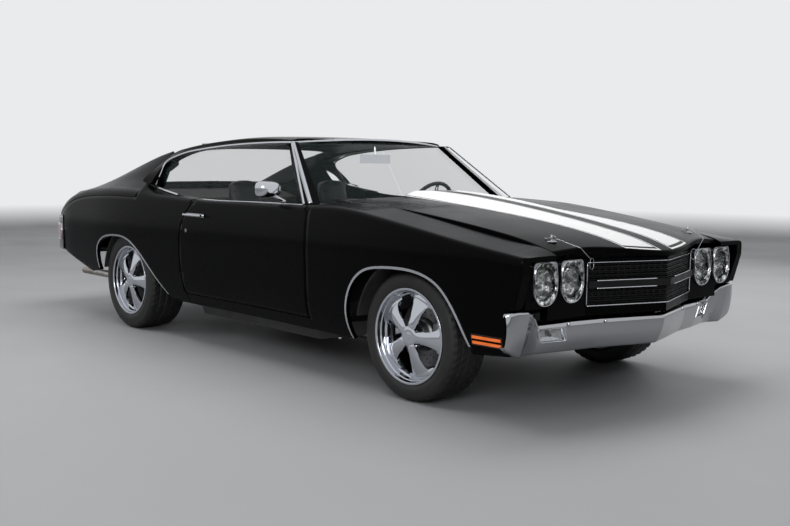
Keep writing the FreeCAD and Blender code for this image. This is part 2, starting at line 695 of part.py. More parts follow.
def rocker():
    """Sill under the door, from the fender to the quarter."""
    rear_x = xz(DOOR_REAR_SHARES)[-1][0]
    wires = []
    top = DOOR_BOTTOM - MOVING_GAP
    for x in spread(rear_x, FENDER_REAR_X - ROCKER_GAP, 5):
        outer = skin_edge(x, FENDER_BOTTOM, top, 0)
        a = V(x, side_y(x, FENDER_BOTTOM), FENDER_BOTTOM)
        b = V(x, side_y(x, top), top)
        c = V(x, ROCKER_INNER_Y, top)
        d = V(x, ROCKER_INNER_Y, FENDER_BOTTOM)
        wires.append(Part.Wire([outer, line(b, c), line(c, d), line(d, a)]))
    return loft(wires)


# Roof

ROOF_STATIONS = 9
ROOF_REAR_GLASS_X = HALF_LENGTH * -0.307447
REAR_GLASS_BASE_X = HALF_LENGTH * -0.586145
REAR_GLASS_BASE_Z = HEIGHT * 0.762332
GLASS_EDGE_GAP = 1.5


def roof_points(x, wall):
    """Half section of the roof: side wall, rail and crown."""
    top = roof_top(x) - wall
    rail = rail_y(x) - wall
    base_z = sill(x)
    rail_z = top - (HEIGHT - GLASS_TOP_Z) * 0.95
    base_y = BELT_Y + PANEL - wall
    return [
        V(x, base_y, base_z),
        V(x, between(base_y, rail, 0.5) + GLASS, between(base_z, rail_z, 0.5)),
        V(x, rail, rail_z),
        V(x, rail * 0.975, between(rail_z, top, 0.42)),
        V(x, rail * 0.9, between(rail_z, top, 0.68)),
        V(x, rail * 0.7, between(rail_z, top, 0.87)),
        V(x, rail * 0.35, between(rail_z, top, 0.97)),
        V(x, 0, top),
    ]


def ring(points):
    other = [V(p.x, -p.y, p.z) for p in reversed(points[:-1])]
    return points + other


def roof_wire(x):
    outer = ring(roof_points(x, 0))
    inner = ring(roof_points(x, ROOF_WALL))
    return Part.Wire([
        curve(outer), line(outer[-1], inner[-1]), curve(list(reversed(inner))), line(inner[0], outer[0]),
    ])


def windshield_top(y):
    share = 1 - (y / WINDSHIELD_TOP_Y) ** 2
    return between(WINDSHIELD_TOP_X, WINDSHIELD_TOP_CENTRE_X, share)


def windshield_base(y):
    share = 1 - (y / WINDSHIELD_BASE_Y) ** 2
    return between(WINDSHIELD_BASE_X, WINDSHIELD_BASE_CENTRE_X, share)


def pillar(grow):
    """A-pillar, from the cowl up to the roof rail, behind the windshield's edge and clear of the door glass."""
    def section(x, y, z, width, depth):
        return Part.Wire(polyline([
            V(x + width * 0.62 + grow, y - depth * 0.55 - grow, z),
            V(x - width * 0.2, y + depth * 0.75 + grow, z),
            V(x - width * 0.85 - grow, y + depth * 0.55 + grow, z),
            V(x - width * 0.4 - grow, y - depth * 0.6 - grow, z),
            V(x + width * 0.62 + grow, y - depth * 0.55 - grow, z),
        ]))
    low = section(WINDSHIELD_BASE_X + PILLAR_WIDTH * 0.35, WINDSHIELD_BASE_Y + PILLAR_WIDTH * 0.92,
                  COWL_TOP + SEAT_GAP, PILLAR_WIDTH * 1.25, PILLAR_WIDTH)
    high = section(WINDSHIELD_TOP_X + PILLAR_WIDTH * 0.25, WINDSHIELD_TOP_Y + PILLAR_WIDTH * 0.55,
                   WINDSHIELD_TOP_Z + PANEL * 0.2, PILLAR_WIDTH, PILLAR_WIDTH * 0.8)
    return loft([low, high], True)


def glass_room():
    """Space that the raised door glass needs beside the A-pillar."""
    edge = [
        (-LENGTH / 2, 0), (xz(WINDOW_SHARES)[0][0], BELT_Z), (xz(WINDOW_TOP_SHARES)[-1][0], GLASS_TOP_Z),
        (-LENGTH / 2, GLASS_TOP_Z),
    ]
    points = [V(x, glass_y(z) + GLASS * 2, z) for x, z in edge[1:3]]
    points += [V(edge[3][0], glass_y(edge[3][1]) + GLASS * 2, edge[3][1]),
               V(edge[0][0], glass_y(BELT_Z) + GLASS * 2, BELT_Z)]
    face = Part.Face(Part.Wire(polyline(points + points[:1])))
    return face.extrude(V(0, -GLASS * 4, 0))


def side_window(y0, y1):
    bottom = xz(WINDOW_SHARES)
    rear = xz(WINDOW_REAR_SHARES)
    top = xz(WINDOW_TOP_SHARES)
    edges = polyline(in_side_view(bottom))
    edges += [curve(in_side_view(rear)), curve(in_side_view(top)),
              line(V(top[-1][0], 0, top[-1][1]), V(bottom[0][0], 0, bottom[0][1]))]
    return side_prism(edges, y0, y1)


def below_window(y0, y1):
    bottom = xz(WINDOW_SHARES)
    top = xz(WINDOW_TOP_SHARES)
    points = bottom + [(bottom[-1][0], 0), (LENGTH / 2, 0), (LENGTH / 2, top[-1][1]), top[-1]]
    return side_polygon(points, y0, y1)


def roof():
    shell = loft([roof_wire(x) for x in spread(SAIL_X, WINDSHIELD_TOP_CENTRE_X, ROOF_STATIONS)])
    front = [V(windshield_top(y), y, 0) for y in spread(-HALF_WIDTH, HALF_WIDTH, 9)]
    ahead = plan_prism([curve(front)] + polyline([front[-1], V(LENGTH, HALF_WIDTH, 0),
                                                  V(LENGTH, -HALF_WIDTH, 0), front[0]]), 0, HEIGHT * 2)
    shell = shell.cut(ahead)
    for low, high in ((0, WIDTH), (-WIDTH, 0)):
        shell = shell.cut(side_window(low, high)).cut(below_window(low, high))
    shell = shell.cut(rear_glass_opening(0))
    return joined([shell] + both(pillar(0).cut(glass_room())))


def rear_glass_outline(inset_size):
    """Plan outline of the rear window between the sails, as half points from the roof to the deck."""
    top = ROOF_REAR_GLASS_X - inset_size
    base = REAR_GLASS_BASE_X + inset_size
    half = []
    for share in spread(0, 1, 5):
        x = between(top - PANEL * 2, base, share)
        half.append((x, sail_side(x) - inset_size))
    return top, base, half


def sail_side(x):
    return sail_inner_y(min(x, SAIL_X)) if x < SAIL_X else sail_inner_y(SAIL_X)


def rear_glass_opening(inset_size):
    top, _, half = rear_glass_outline(inset_size)
    left = [V(x, y, 0) for x, y in half]
    right = [V(x, -y, 0) for x, y in reversed(half)]
    roof_edge = curve([right[-1], V(top, right[-1].y * 0.7, 0), V(top + PANEL, 0, 0),
                       V(top, left[0].y * 0.7, 0), left[0]])
    edges = [roof_edge] + polyline(left) + [line(left[-1], right[0])] + polyline(right)
    return plan_prism(edges, 0, HEIGHT * 2)


def rear_glass():
    """Rear window: a curved pane that drops from the roof to the deck between the sails."""
    rows_x = spread(ROOF_REAR_GLASS_X + PANEL, REAR_GLASS_BASE_X, 7)
    wires = []
    for x in rows_x:
        share = (x - rows_x[0]) / (rows_x[-1] - rows_x[0])
        top = roof_top(ROOF_REAR_GLASS_X) - ROOF_WALL * 0.4
        z = between(top, REAR_GLASS_BASE_Z, share) + math.sin(math.pi * share) * PANEL
        drop = PANEL * 0.9
        half = WINDSHIELD_TOP_Y + PANEL * 3
        points = [V(x, half * s, z - drop * s * s) for s in (-1, -0.5, 0, 0.5, 1)]
        under = [p - V(0, 0, GLASS) for p in reversed(points)]
        wires.append(Part.Wire([curve(points), line(points[-1], under[0]), curve(under),
                                line(under[-1], points[0])]))
    return loft(wires).common(rear_glass_opening(GLASS_EDGE_GAP))


def windshield():
    """Curved pane between the header, the pillars and the cowl."""
    rows = []
    crown = (roof_top(WINDSHIELD_TOP_CENTRE_X) - WINDSHIELD_TOP_Z) * 0.6
    for share in spread(0, 1, 5):
        half = between(WINDSHIELD_BASE_Y, WINDSHIELD_TOP_Y, share) - PILLAR_WIDTH * 0.05
        row = []
        for s in spread(-1, 1, 9):
            base = windshield_base(WINDSHIELD_BASE_Y * s)
            top = windshield_top(WINDSHIELD_TOP_Y * s) + GLASS + SEAT_GAP * 4
            x = between(base, top, share) + math.sin(math.pi * share) * PANEL * 0.6
            z = between(WINDSHIELD_BASE_Z - PANEL * 0.5, WINDSHIELD_TOP_Z + (1 - s * s) * crown, share)
            row.append(V(x, half * s, z))
        rows.append(row)
    under = [[p - V(GLASS, 0, 0) for p in row] for row in rows]
    pane = surface_solid(rows, under)
    for post in both(pillar(SEAT_GAP * 4)):
        pane = pane.cut(post)
    return max(pane.Solids, key=lambda solid: solid.Volume)


# Cowl, hood and decklid

COWL_TOP = HEIGHT * 0.702541
POST_DEPTH = 60.0
POST_INNER_Y = HALF_WIDTH * 0.825065
DECK_WALL = 22.0
DECK_COLUMNS = 9


def hood_rear(y):
    share = 1 - (y / HOOD_HALF_WIDTH) ** 2
    return between(HOOD_REAR_X, HOOD_REAR_CENTRE_X, share)


def bulge(x, y):
    """Height of the raised centre of the hood, full at the rear and gone towards the nose."""
    along = min(1, max(0, (BULGE_NOSE_X - x) / (BULGE_NOSE_X - HOOD_REAR_CENTRE_X)))
    half = BULGE_HALF_WIDTH * between(0.55, 1, along)
    across = min(1, max(0, (half - abs(y)) / (half * 0.42)))
    rise = across * across * (3 - 2 * across)
    return BULGE_HEIGHT * rise * math.sin(along * math.pi / 2) ** 1.3


def hood_z(x, y):
    share = min(1, abs(y) / HOOD_HALF_WIDTH)
    centre = hood_centre(x)
    return centre - (centre - hood_edge(x)) * share ** 2.2 + bulge(x, y)


def surface_solid(top_rows, under_rows):
    """Solid between two grids of points, closed by ruled walls round the edge."""
    faces = []
    edges = []
    for rows in (top_rows, under_rows):
        surface = Part.BSplineSurface()
        surface.interpolate(rows)
        faces.append(surface.toShape())
        u0, u1, v0, v1 = surface.bounds()
        edges.append([surface.uIso(u0), surface.uIso(u1), surface.vIso(v0), surface.vIso(v1)])
    for a, b in zip(edges[0], edges[1]):
        faces.append(Part.makeRuledSurface(a.toShape(), b.toShape()))
    shell = Part.Shell(faces)
    shell.sewShape()
    solid = Part.Solid(shell)
    if solid.Volume < 0:
        solid.reverse()
    return solid


def rounded_v(y):
    """Distance from the centre line with the point of the V rounded off."""
    return math.hypot(y, NOSE_ROUND) - NOSE_ROUND


def hood():
    """Hood skin with its raised centre, pointed in plan at the nose."""
    rows = []
    under = []
    for share in spread(0, 1, HOOD_ROWS):
        row = []
        for s in spread(-1, 1, HOOD_COLUMNS):
            y = s * HOOD_HALF_WIDTH
            x = between(hood_rear(y), hood_nose(rounded_v(y)), share)
            row.append(V(x, y, hood_z(x, y)))
        rows.append(row)
        under.append([p - V(0, 0, PANEL) for p in row])
    return surface_solid(rows, under)


def deck_z(x, y):
    return deck_edge(x) + PANEL * 0.6 * (1 - (y / sail_inner_y(x)) ** 2)


def decklid():
    """Trunk lid with its rear face turned down to the bumper."""
    half = sail_inner_y(DECK_FRONT_X) + PANEL
    wires = []
    for y in spread(-half, half, DECK_COLUMNS):
        rear_x = DECK_REAR_X - (1 - (y / half) ** 2) * PANEL
        lip = DECK_LIP_Z
        xs = spread(DECK_FRONT_X, rear_x + PANEL, 7)
        top = [V(x, y, deck_z(x, y)) for x in xs]
        edge = top[-1]
        turned_in = V(rear_x, y, edge.z - PANEL)
        low = V(rear_x - PANEL * 0.5, y, lip)
        hollow = V(rear_x + PANEL * 0.3, y, between(turned_in.z, lip, 0.5))
        inner_low = V(low.x + DECK_WALL, y, lip)
        inner_edge = V(rear_x + DECK_WALL + PANEL * 0.4, y, edge.z - DECK_WALL)
        inner = [V(x, y, deck_z(x, y) - DECK_WALL) for x in reversed(xs[:-1])]
        wires.append(Part.Wire([
            curve(top), bend_edge(edge, V(rear_x, y, edge.z), turned_in), curve([turned_in, hollow, low]),
            line(low, inner_low), line(inner_low, inner_edge), curve([inner_edge] + inner),
            line(inner[-1], top[0]),
        ]))
    lid = loft(wires)
    xs = spread(DECK_FRONT_X + PANEL, DECK_REAR_X - PANEL * 4, 9)
    side = [V(x, sail_inner_y(max(x, DECK_REAR_X)) - MOVING_GAP, 0) for x in xs]
    other = [V(p.x, -p.y, 0) for p in reversed(side)]
    outline = [curve(side), line(side[-1], other[0]), curve(other), line(other[-1], side[0])]
    return lid.common(plan_prism(outline, 0, HEIGHT))


def cowl():
    """Cowl between hood and windshield, with the door posts that carry it."""
    rear = [V(windshield_base(y) - PANEL * 0.6, y, 0) for y in spread(-WINDSHIELD_BASE_Y, WINDSHIELD_BASE_Y,
                                                                      7)]
    front = [V(hood_rear(y) - MOVING_GAP, y, 0) for y in spread(HOOD_HALF_WIDTH, -HOOD_HALF_WIDTH, 7)]
    reach = BELT_Y - MOVING_GAP * 4.5 - PILLAR_WIDTH * 0.9
    tray_x = HOOD_REAR_X - MOVING_GAP * 2
    edge_x = DOOR_FRONT_X + MOVING_GAP
    tray = plan_prism(
        [curve(rear)] + polyline([
            rear[-1], V(rear[-1].x, reach, 0), V(tray_x, reach, 0),
            V(tray_x, HOOD_HALF_WIDTH + SEAT_GAP, 0), front[0],
        ]) + [curve(front)] + polyline([
            front[-1], V(tray_x, -HOOD_HALF_WIDTH - SEAT_GAP, 0), V(tray_x, -reach, 0),
            V(rear[0].x, -reach, 0), rear[0],
        ]), COWL_TOP - PANEL, COWL_TOP)
    post = box(edge_x, edge_x + POST_DEPTH, POST_INNER_Y, BELT_Y - PANEL * 0.6, FENDER_BOTTOM,
               COWL_TOP - PANEL * 1.5)
    bridge = box(WINDSHIELD_BASE_X + PANEL, edge_x + POST_DEPTH, POST_INNER_Y - PANEL,
                 POST_INNER_Y + SEAT_GAP, COWL_TOP - PANEL * 4, COWL_TOP - PANEL * 0.5)
    return joined([tray] + both(post) + both(bridge))


# Nose, bumpers, grille and lamps

NOSE_TOP = HEIGHT * 0.554559
NOSE_BOTTOM = HEIGHT * 0.35725
NOSE_WALL = 42.0
NOSE_SIDE_Y = HALF_WIDTH * 0.910705


def nose_line(offset):
    """Plan of the nose: a shallow V across the grille, then straight across the lamps."""
    half = [(GRILLE_CENTRE_X - offset, 0), (GRILLE_SIDE_X - offset, GRILLE_HALF_WIDTH),
            (LAMP_FACE_X - offset, NOSE_SIDE_Y)]
    return [(x, -y) for x, y in reversed(half[1:])] + half


def bezel_outline(grow):
    """Square at the top and round below, in the YZ plane about the lamp's centre."""
    half = BEZEL_WIDTH / 2 + grow
    top = BEZEL_HEIGHT / 2 + grow
    round_z = -top + half
    corner = half * 0.3
    edges = [
        line(V(0, -half + corner, top), V(0, half - corner, top)),
        bend_edge(V(0, half - corner, top), V(0, half, top), V(0, half, top - corner)),
        line(V(0, half, top - corner), V(0, half, round_z)),
        Part.Arc(V(0, half, round_z), V(0, 0, -top), V(0, -half, round_z)).toShape(),
        line(V(0, -half, round_z), V(0, -half, top - corner)),
        bend_edge(V(0, -half, top - corner), V(0, -half, top), V(0, -half + corner, top)),
    ]
    return Part.Wire(edges)


def bezel_solid(grow, x0, x1, y):
    face = Part.Face(bezel_outline(grow))
    face.translate(V(x0, y, LAMP_Z))
    return face.extrude(V(x1 - x0, 0, 0))


def lamp_places():
    return [(sign * y) for y in (LAMP_INNER_Y, LAMP_OUTER_Y) for sign in (1, -1)]


def nose():
    front = nose_line(0)
    back = nose_line(NOSE_WALL)
    outline = front + list(reversed(back))
    band = plan_polygon(outline, NOSE_BOTTOM, NOSE_TOP)
    band = band.cut(box(0, LENGTH, -GRILLE_HALF_WIDTH, GRILLE_HALF_WIDTH, GRILLE_BOTTOM, GRILLE_TOP))
    for y in lamp_places():
        band = band.cut(bezel_solid(SEAT_GAP, 0, LENGTH, y))
    for cap_room in both(box(0, LENGTH, BUMPER_KINK_Y - SEAT_GAP, WIDTH, 0, CAP_TOP + BUMPER_EDGE)):
        band = band.cut(cap_room)
    return band


def bezels():
    """Chrome lamp surrounds, dished in to the lens."""
    rings = []
    for y in lamp_places():
        body = bezel_solid(0, LAMP_FACE_X - BEZEL_DEPTH, LAMP_FACE_X + FIRM_WALL, y)
        dish = Part.makeCone(LAMP_RADIUS + SEAT_GAP, LAMP_RADIUS * 1.06, BEZEL_DEPTH + FIRM_WALL + PANEL,
                             V(LAMP_FACE_X - BEZEL_DEPTH, y, LAMP_Z), V(1, 0, 0))
        rings.append(body.cut(dish))
    return rings


LENS_BOW = 14.0
LENS_DEPTH = 22.0
PARK_Y = HALF_WIDTH * 0.670496
PARK_Z = HEIGHT * 0.300448
PARK_HALF_WIDTH = 84.0
PARK_HALF_HEIGHT = 32.0
PARK_SLANT = 22.0
PARK_ROOM = LENGTH * 0.05
PARK_DEPTH = 3.0


def lenses():
    """Four round headlamps with bowed glass, and two slanted parking lamps in the bumper."""
    solids = []
    radius = LAMP_RADIUS - SEAT_GAP
    bow = (radius ** 2 + LENS_BOW ** 2) / (2 * LENS_BOW)
    front = LAMP_FACE_X - BEZEL_DEPTH / 2 + LENS_DEPTH / 2
    for y in lamp_places():
        barrel = rod(V(LAMP_FACE_X - BEZEL_DEPTH - LENS_DEPTH, y, LAMP_Z), V(front + LENS_BOW, y, LAMP_Z),
                     radius)
        ball = Part.makeSphere(bow, V(front + LENS_BOW - bow, y, LAMP_Z))
        solids.append(barrel.common(ball))
    return solids + both(park_lamp())


BUMPER_CAP_SHARES = (
    (0.7509, 0.912, 0.3438, 0.8992, 0.2347), (0.7885, 0.9184, 0.364, 0.8968, 0.2339),
    (0.8355, 0.9264, 0.3872, 0.8968, 0.2339), (0.8877, 0.9316, 0.3961, 0.913, 0.2369),
    (0.9347, 0.9304, 0.3976, 0.914, 0.2474), (0.9713, 0.9248, 0.3969, 0.9156, 0.2616),
    (0.9922, 0.918, 0.3939, 0.9152, 0.2735), (0.9995, 0.9148, 0.3886, 0.914, 0.2818),
)
BUMPER_KINK_Y = HALF_WIDTH * 0.750914
BUMPER_LEAN = 47.0
CAP_LEDGE = 18.0


def bumper_section(y, x, top, low_x, low, ledge, wall):
    """C-shaped section of the bumper at one distance from the middle: ledge, leaning face and return."""
    kink = top - BUMPER_EDGE
    return Part.Wire(polyline([
        V(x - ledge, y, top + BUMPER_EDGE / 4), V(x - BUMPER_EDGE, y, top), V(x, y, kink), V(low_x, y, low),
        V(low_x - ledge / 2, y, low), V(low_x - ledge / 2, y, low + wall), V(low_x - wall, y, low + wall),
        V(x - wall, y, kink - wall), V(x - ledge, y, top - wall), V(x - ledge, y, top + BUMPER_EDGE / 4),
    ]))


def front_bumper():
    """Pointed bar with tall end caps that rise at the corner, bulge forward and turn up below."""
    rows = []
    for s in BUMPER_BAR_SHARES:
        y = BUMPER_KINK_Y * s
        x = bumper_nose(y)
        lean = between(BUMPER_LEAN, BUMPER_LEAN * 0.68, s)
        rows.append((y, x, BUMPER_TOP, x - lean, BUMPER_BOTTOM,
                     between(BUMPER_LEDGE, CAP_LEDGE, max(0, s * 4 - 3)), BUMPER_WALL))
    for y, x, top, low_x, low in BUMPER_CAP_SHARES[1:]:
        wall = between(BUMPER_WALL, BUMPER_WALL * 0.6,
                       (y - BUMPER_CAP_SHARES[1][0]) / (1 - BUMPER_CAP_SHARES[1][0]))
        rows.append((HALF_WIDTH * y, HALF_LENGTH * x, HEIGHT * top, HALF_LENGTH * low_x, HEIGHT * low,
                     min(CAP_LEDGE, (x - BUMPER_CUT_SHARE) * HALF_LENGTH), wall))
    wires = [bumper_section(-row[0],
                            *row[1:]) for row in reversed(rows[1:])] + [bumper_section(*row) for row in rows]
    bar = loft(wires, True)
    for room in both(park_room(SEAT_GAP)):
        bar = bar.cut(room)
    return bar


def park_outline(grow):
    """Parallelogram of a parking lamp in front view."""
    half = PARK_HALF_WIDTH + grow
    tall = PARK_HALF_HEIGHT + grow
    return [(PARK_Y - half + PARK_SLANT, PARK_Z + tall), (PARK_Y + half, PARK_Z + tall),
            (PARK_Y + half - PARK_SLANT, PARK_Z - tall), (PARK_Y - half, PARK_Z - tall)]


def park_room(grow):
    points = [V(GRILLE_SIDE_X - PARK_ROOM, y, z) for y, z in park_outline(grow)]
    return Part.Face(Part.Wire(polyline(points + points[:1]))).extrude(V(PARK_ROOM * 2, 0, 0))


def park_lamp():
    """Lens that follows the leaning face of the bumper, a little below its surface."""
    wires = []
    for y in (PARK_Y - PARK_HALF_WIDTH * 2, PARK_Y + PARK_HALF_WIDTH * 2):
        x = bumper_nose(y)
        lean = between(BUMPER_LEAN, BUMPER_LEAN * 0.68, y / BUMPER_KINK_Y)
        front, back = PARK_DEPTH, PARK_DEPTH * 4
        wires.append(Part.Wire(polyline([
            V(x - front, y, BUMPER_TOP), V(x - lean - front, y, BUMPER_BOTTOM),
            V(x - lean - back, y, BUMPER_BOTTOM),
            V(x - back, y, BUMPER_TOP), V(x - front, y, BUMPER_TOP),
        ])))
    return loft(wires, True).common(park_room(0))


def grille_x(y):
    return between(GRILLE_CENTRE_X, GRILLE_SIDE_X, abs(y) / GRILLE_HALF_WIDTH)


def v_bar(z0, z1, front, depth, gap=0):
    """Bar that follows the V of the nose from one end of the grille to the other."""
    half = GRILLE_HALF_WIDTH - SEAT_GAP - gap
    ends = grille_x(half)
    points = [(ends + front, -half), (GRILLE_CENTRE_X + front, 0), (ends + front, half),
              (ends + front - depth, half), (GRILLE_CENTRE_X + front - depth, 0),
              (ends + front - depth, -half)]
    return plan_polygon(points, z0, z1)


def grille():
    """Black louvred grille: a frame, rows of bars and uprights behind them."""
    bars = []
    height = GRILLE_TOP - GRILLE_BOTTOM - SEAT_GAP * 2
    low = GRILLE_BOTTOM + SEAT_GAP
    pitch = (height - GRILLE_BAR) / (GRILLE_BAR_COUNT - 1)
    for i in range(GRILLE_BAR_COUNT):
        z = low + pitch * i
        bars.append(v_bar(z, z + GRILLE_BAR, -FIRM_WALL / 2, GRILLE_DEPTH * 0.6))
    mid = low + height / 2
    proud = HALF_LENGTH - GRILLE_CENTRE_X
    bars.append(v_bar(mid - PANEL * 0.8, mid + PANEL * 0.8, proud, GRILLE_DEPTH + proud))
    back = v_bar(low, low + height, -FIRM_WALL / 2 - GRILLE_DEPTH * 0.5, GRILLE_DEPTH * 0.3)
    bars.append(back)
    for sign in (1, -1):
        y = sign * (GRILLE_HALF_WIDTH - SEAT_GAP - FIRM_WALL / 2)
        x = grille_x(y)
        bars.append(box(x - GRILLE_DEPTH, x - FIRM_WALL / 2, y - FIRM_WALL / 2, y + FIRM_WALL / 2, low,
                        low + height))
    return joined(bars)


MOULDING_WIDTH = 13.0
MOULDING_PROUD = 4.0


def skin_slab(x0, x1, low, high, out):
    wires = []
    for x in spread(x0, x1, 9):
        outer = [V(x, side_y(x, z) + out, z) for z in spread(low, high, 7)]
        inner = [p - V(0, out - SEAT_GAP * 5, 0) for p in reversed(outer)]
        wires.append(Part.Wire([curve(outer), line(outer[-1], inner[0]), curve(inner),
                                line(inner[-1], outer[0])]))
    return loft(wires)


def arch_band(shares, bottom, front):
    """Bright lip round one wheel arch, between the opening and a line just outside it."""
    points = xz(shares)
    centre_x = FRONT_AXLE_X if front else REAR_AXLE_X
    centre_z = FRONT_TYRE_RADIUS if front else REAR_TYRE_RADIUS
    grown = []
    for x, z in points:
        away = V(x - centre_x, 0, max(z - centre_z, 0))
        reach = away.Length
        grown.append((x + away.x / reach * MOULDING_WIDTH, z + away.z / reach * MOULDING_WIDTH))
    outer = side_prism([curve(in_side_view(grown)),
                        line(V(grown[-1][0], 0, grown[-1][1]), V(grown[0][0], 0, grown[0][1]))], 0, WIDTH)
    inner = arch_prism(shares, 0, WIDTH)
    xs = [p[0] for p in grown]
    zs = [p[1] for p in grown]
    slab_solid = skin_slab(min(xs) - PANEL, max(xs) + PANEL, bottom, max(zs) + PANEL, MOULDING_PROUD)
    return slab_solid.common(outer.cut(inner))


FRONT_LIP_BOTTOM = HEIGHT * 0.257848
REAR_LIP_BOTTOM = HEIGHT * 0.298954
REAR_LIP_FRONT_BOTTOM = HEIGHT * 0.224215


def bright_trim():
    front = arch_band(FRONT_ARCH_SHARES, FENDER_BOTTOM + SEAT_GAP, True)
    cut = box(FRONT_AXLE_X, LENGTH, 0, WIDTH, 0, FRONT_LIP_BOTTOM)
    front = front.cut(cut)
    rear = arch_band(REAR_ARCH_SHARES, REAR_LIP_FRONT_BOTTOM, False)
    rear = rear.cut(box(-LENGTH, REAR_AXLE_X, 0, WIDTH, 0, REAR_LIP_BOTTOM))
    return bezels() + both(front) + both(rear)


MARKER_X0 = HALF_LENGTH * 0.828908
MARKER_X1 = HALF_LENGTH * 0.89439
MARKER_Z = HEIGHT * 0.287743
MARKER_BAR = 14.0
MARKER_GAP = 11.0


def side_markers():
    solids = []
    for sign in (1, -1):
        low = MARKER_Z + (MARKER_GAP / 2 if sign > 0 else -MARKER_GAP / 2 - MARKER_BAR)
        wires = []
        for x in spread(MARKER_X0, MARKER_X1, 3):
            a = V(x, side_y(x, low) + SEAT_GAP, low)
            b = V(x, side_y(x, low + MARKER_BAR) + SEAT_GAP, low + MARKER_BAR)
            proud = V(0, MOULDING_PROUD * 1.5, 0)
            wires.append(Part.Wire(polyline([a, b, b + proud, a + proud, a])))
        solids += both(loft(wires, True))
    return solids


REAR_BUMPER_CORNER = 84.0
REAR_BUMPER_SIDE_X = HALF_LENGTH * -0.981833
REAR_BUMPER_END_X = HALF_LENGTH * -0.914354
REAR_BUMPER_WALL = 60.0
TAIL_LAMP_DEPTH = 22.0
TAIL_LAMP_Y0 = HALF_WIDTH * 0.584856
TAIL_LAMP_Z0 = HEIGHT * 0.418535
TAIL_LAMP_Z1 = HEIGHT * 0.508221


def rear_bumper_outline(grow):
    """Half plan of the bar: a shallow bow across the tail, then a quarter ellipse round the corner."""
    side = widest(REAR_BUMPER_END_X) + MOULDING_PROUD * 2 + grow
    turn_y = side - REAR_BUMPER_CORNER
    half = []
    for angle in spread(0, math.pi / 2, 6):
        x = REAR_BUMPER_END_X + (REAR_BUMPER_SIDE_X - grow - REAR_BUMPER_END_X) * math.sin(angle)
        half.append(V(x, turn_y + REAR_BUMPER_CORNER * math.cos(angle), 0))
    for share in spread(1, 0, 6)[1:]:
        x = between(-HALF_LENGTH - grow, REAR_BUMPER_SIDE_X - grow, share ** 2)
        half.append(V(x, turn_y * share, 0))
    return half


def rear_bumper():
    """Deep wrap-round bar with its lamps let in."""
    outer = rear_bumper_outline(0)
    ring_points = outer + [V(p.x, -p.y, 0) for p in reversed(outer[:-1])]
    inner = [V(p.x + REAR_BUMPER_WALL * (0 if i in (0, len(ring_points) - 1) else 1),
               p.y * (1 - REAR_BUMPER_WALL / HALF_WIDTH * 0.55), 0)
             for i, p in enumerate(ring_points)]
    back = list(reversed(inner))
    bar = plan_prism([curve(ring_points), line(ring_points[-1], back[0]), curve(back),
                      line(back[-1], ring_points[0])], REAR_BUMPER_BOTTOM, REAR_BUMPER_TOP)
    bar = bar.common(box(-LENGTH, REAR_BUMPER_END_X, -WIDTH, WIDTH, 0, HEIGHT))
    for lamp in tail_lamp_blocks(SEAT_GAP):
        bar = bar.cut(lamp)
    return bar


def tail_lamp_blocks(grow):
    """Room of each lamp: along the tail from its inner end and round the corner to the quarter."""
    blocks = []
    outline = rear_bumper_outline(-TAIL_LAMP_DEPTH)
    inner = plan_prism([curve(outline)] + polyline([outline[-1], V(REAR_BUMPER_END_X, 0, 0), outline[0]]),
                       0, HEIGHT)
    for y0, y1 in ((TAIL_LAMP_Y0, WIDTH), (-WIDTH, -TAIL_LAMP_Y0)):
        low, high = (y0 - grow, y1) if y0 > 0 else (y0, y1 + grow)
        block = box(-LENGTH, REAR_BUMPER_END_X - PANEL + grow, low, high, TAIL_LAMP_Z0 - grow,
                    TAIL_LAMP_Z1 + grow)
        blocks.append(block.cut(inner if y0 > 0 else mirrored(inner)))
    return blocks


def tail_lamps():
    outer = [p + V(MOULDING_PROUD, -MOULDING_PROUD / 2, 0) for p in rear_bumper_outline(0)]
    ring_points = outer + [V(p.x, -p.y, 0) for p in reversed(outer[:-1])]
    skin = plan_prism([curve(ring_points)] + polyline([ring_points[-1], ring_points[0]]),
                      REAR_BUMPER_BOTTOM, REAR_BUMPER_TOP)
    return [skin.common(block) for block in tail_lamp_blocks(0)]


TAIL_PANEL_X = HALF_LENGTH * -0.953484
TAIL_CORNER_Y = HALF_WIDTH * 0.758225
TAIL_PANEL_BOTTOM = HEIGHT * 0.328849


def tail_panel():
    """Panel between the quarters under the decklid, with an ear that closes the end of each sail."""
    top = DECK_LIP_Z - MOVING_GAP * 2
    panel = box(TAIL_PANEL_X, TAIL_PANEL_X + SIDE_WALL, -TAIL_CORNER_Y, TAIL_CORNER_Y, TAIL_PANEL_BOTTOM,
                top)
    x = TAIL_PANEL_X
    crest_top = crest_z(x)
    hip_y = side_y(x, shoulder(x)) - SHOULDER_ROUND / 2
    mid_y = between(hip_y, crest_y(x), 0.55)
    edge = sail_inner_y(x) + SEAT_GAP * 4
    roof_line = min(crest_top, deck_edge(x)) - PANEL - SEAT_GAP * 5
    corners = [V(x, edge, top - PANEL), V(x, TAIL_CORNER_Y, top - PANEL),
               V(x, mid_y - SIDE_WALL - SEAT_GAP * 8, top),
               V(x, crest_y(x), roof_line - SEAT_GAP * 5), V(x, edge, roof_line)]
    ear = Part.Face(Part.Wire(polyline(corners + corners[:1]))).extrude(V(SIDE_WALL, 0, 0))
    return joined([panel] + both(ear))


# Frame, floor and running gear

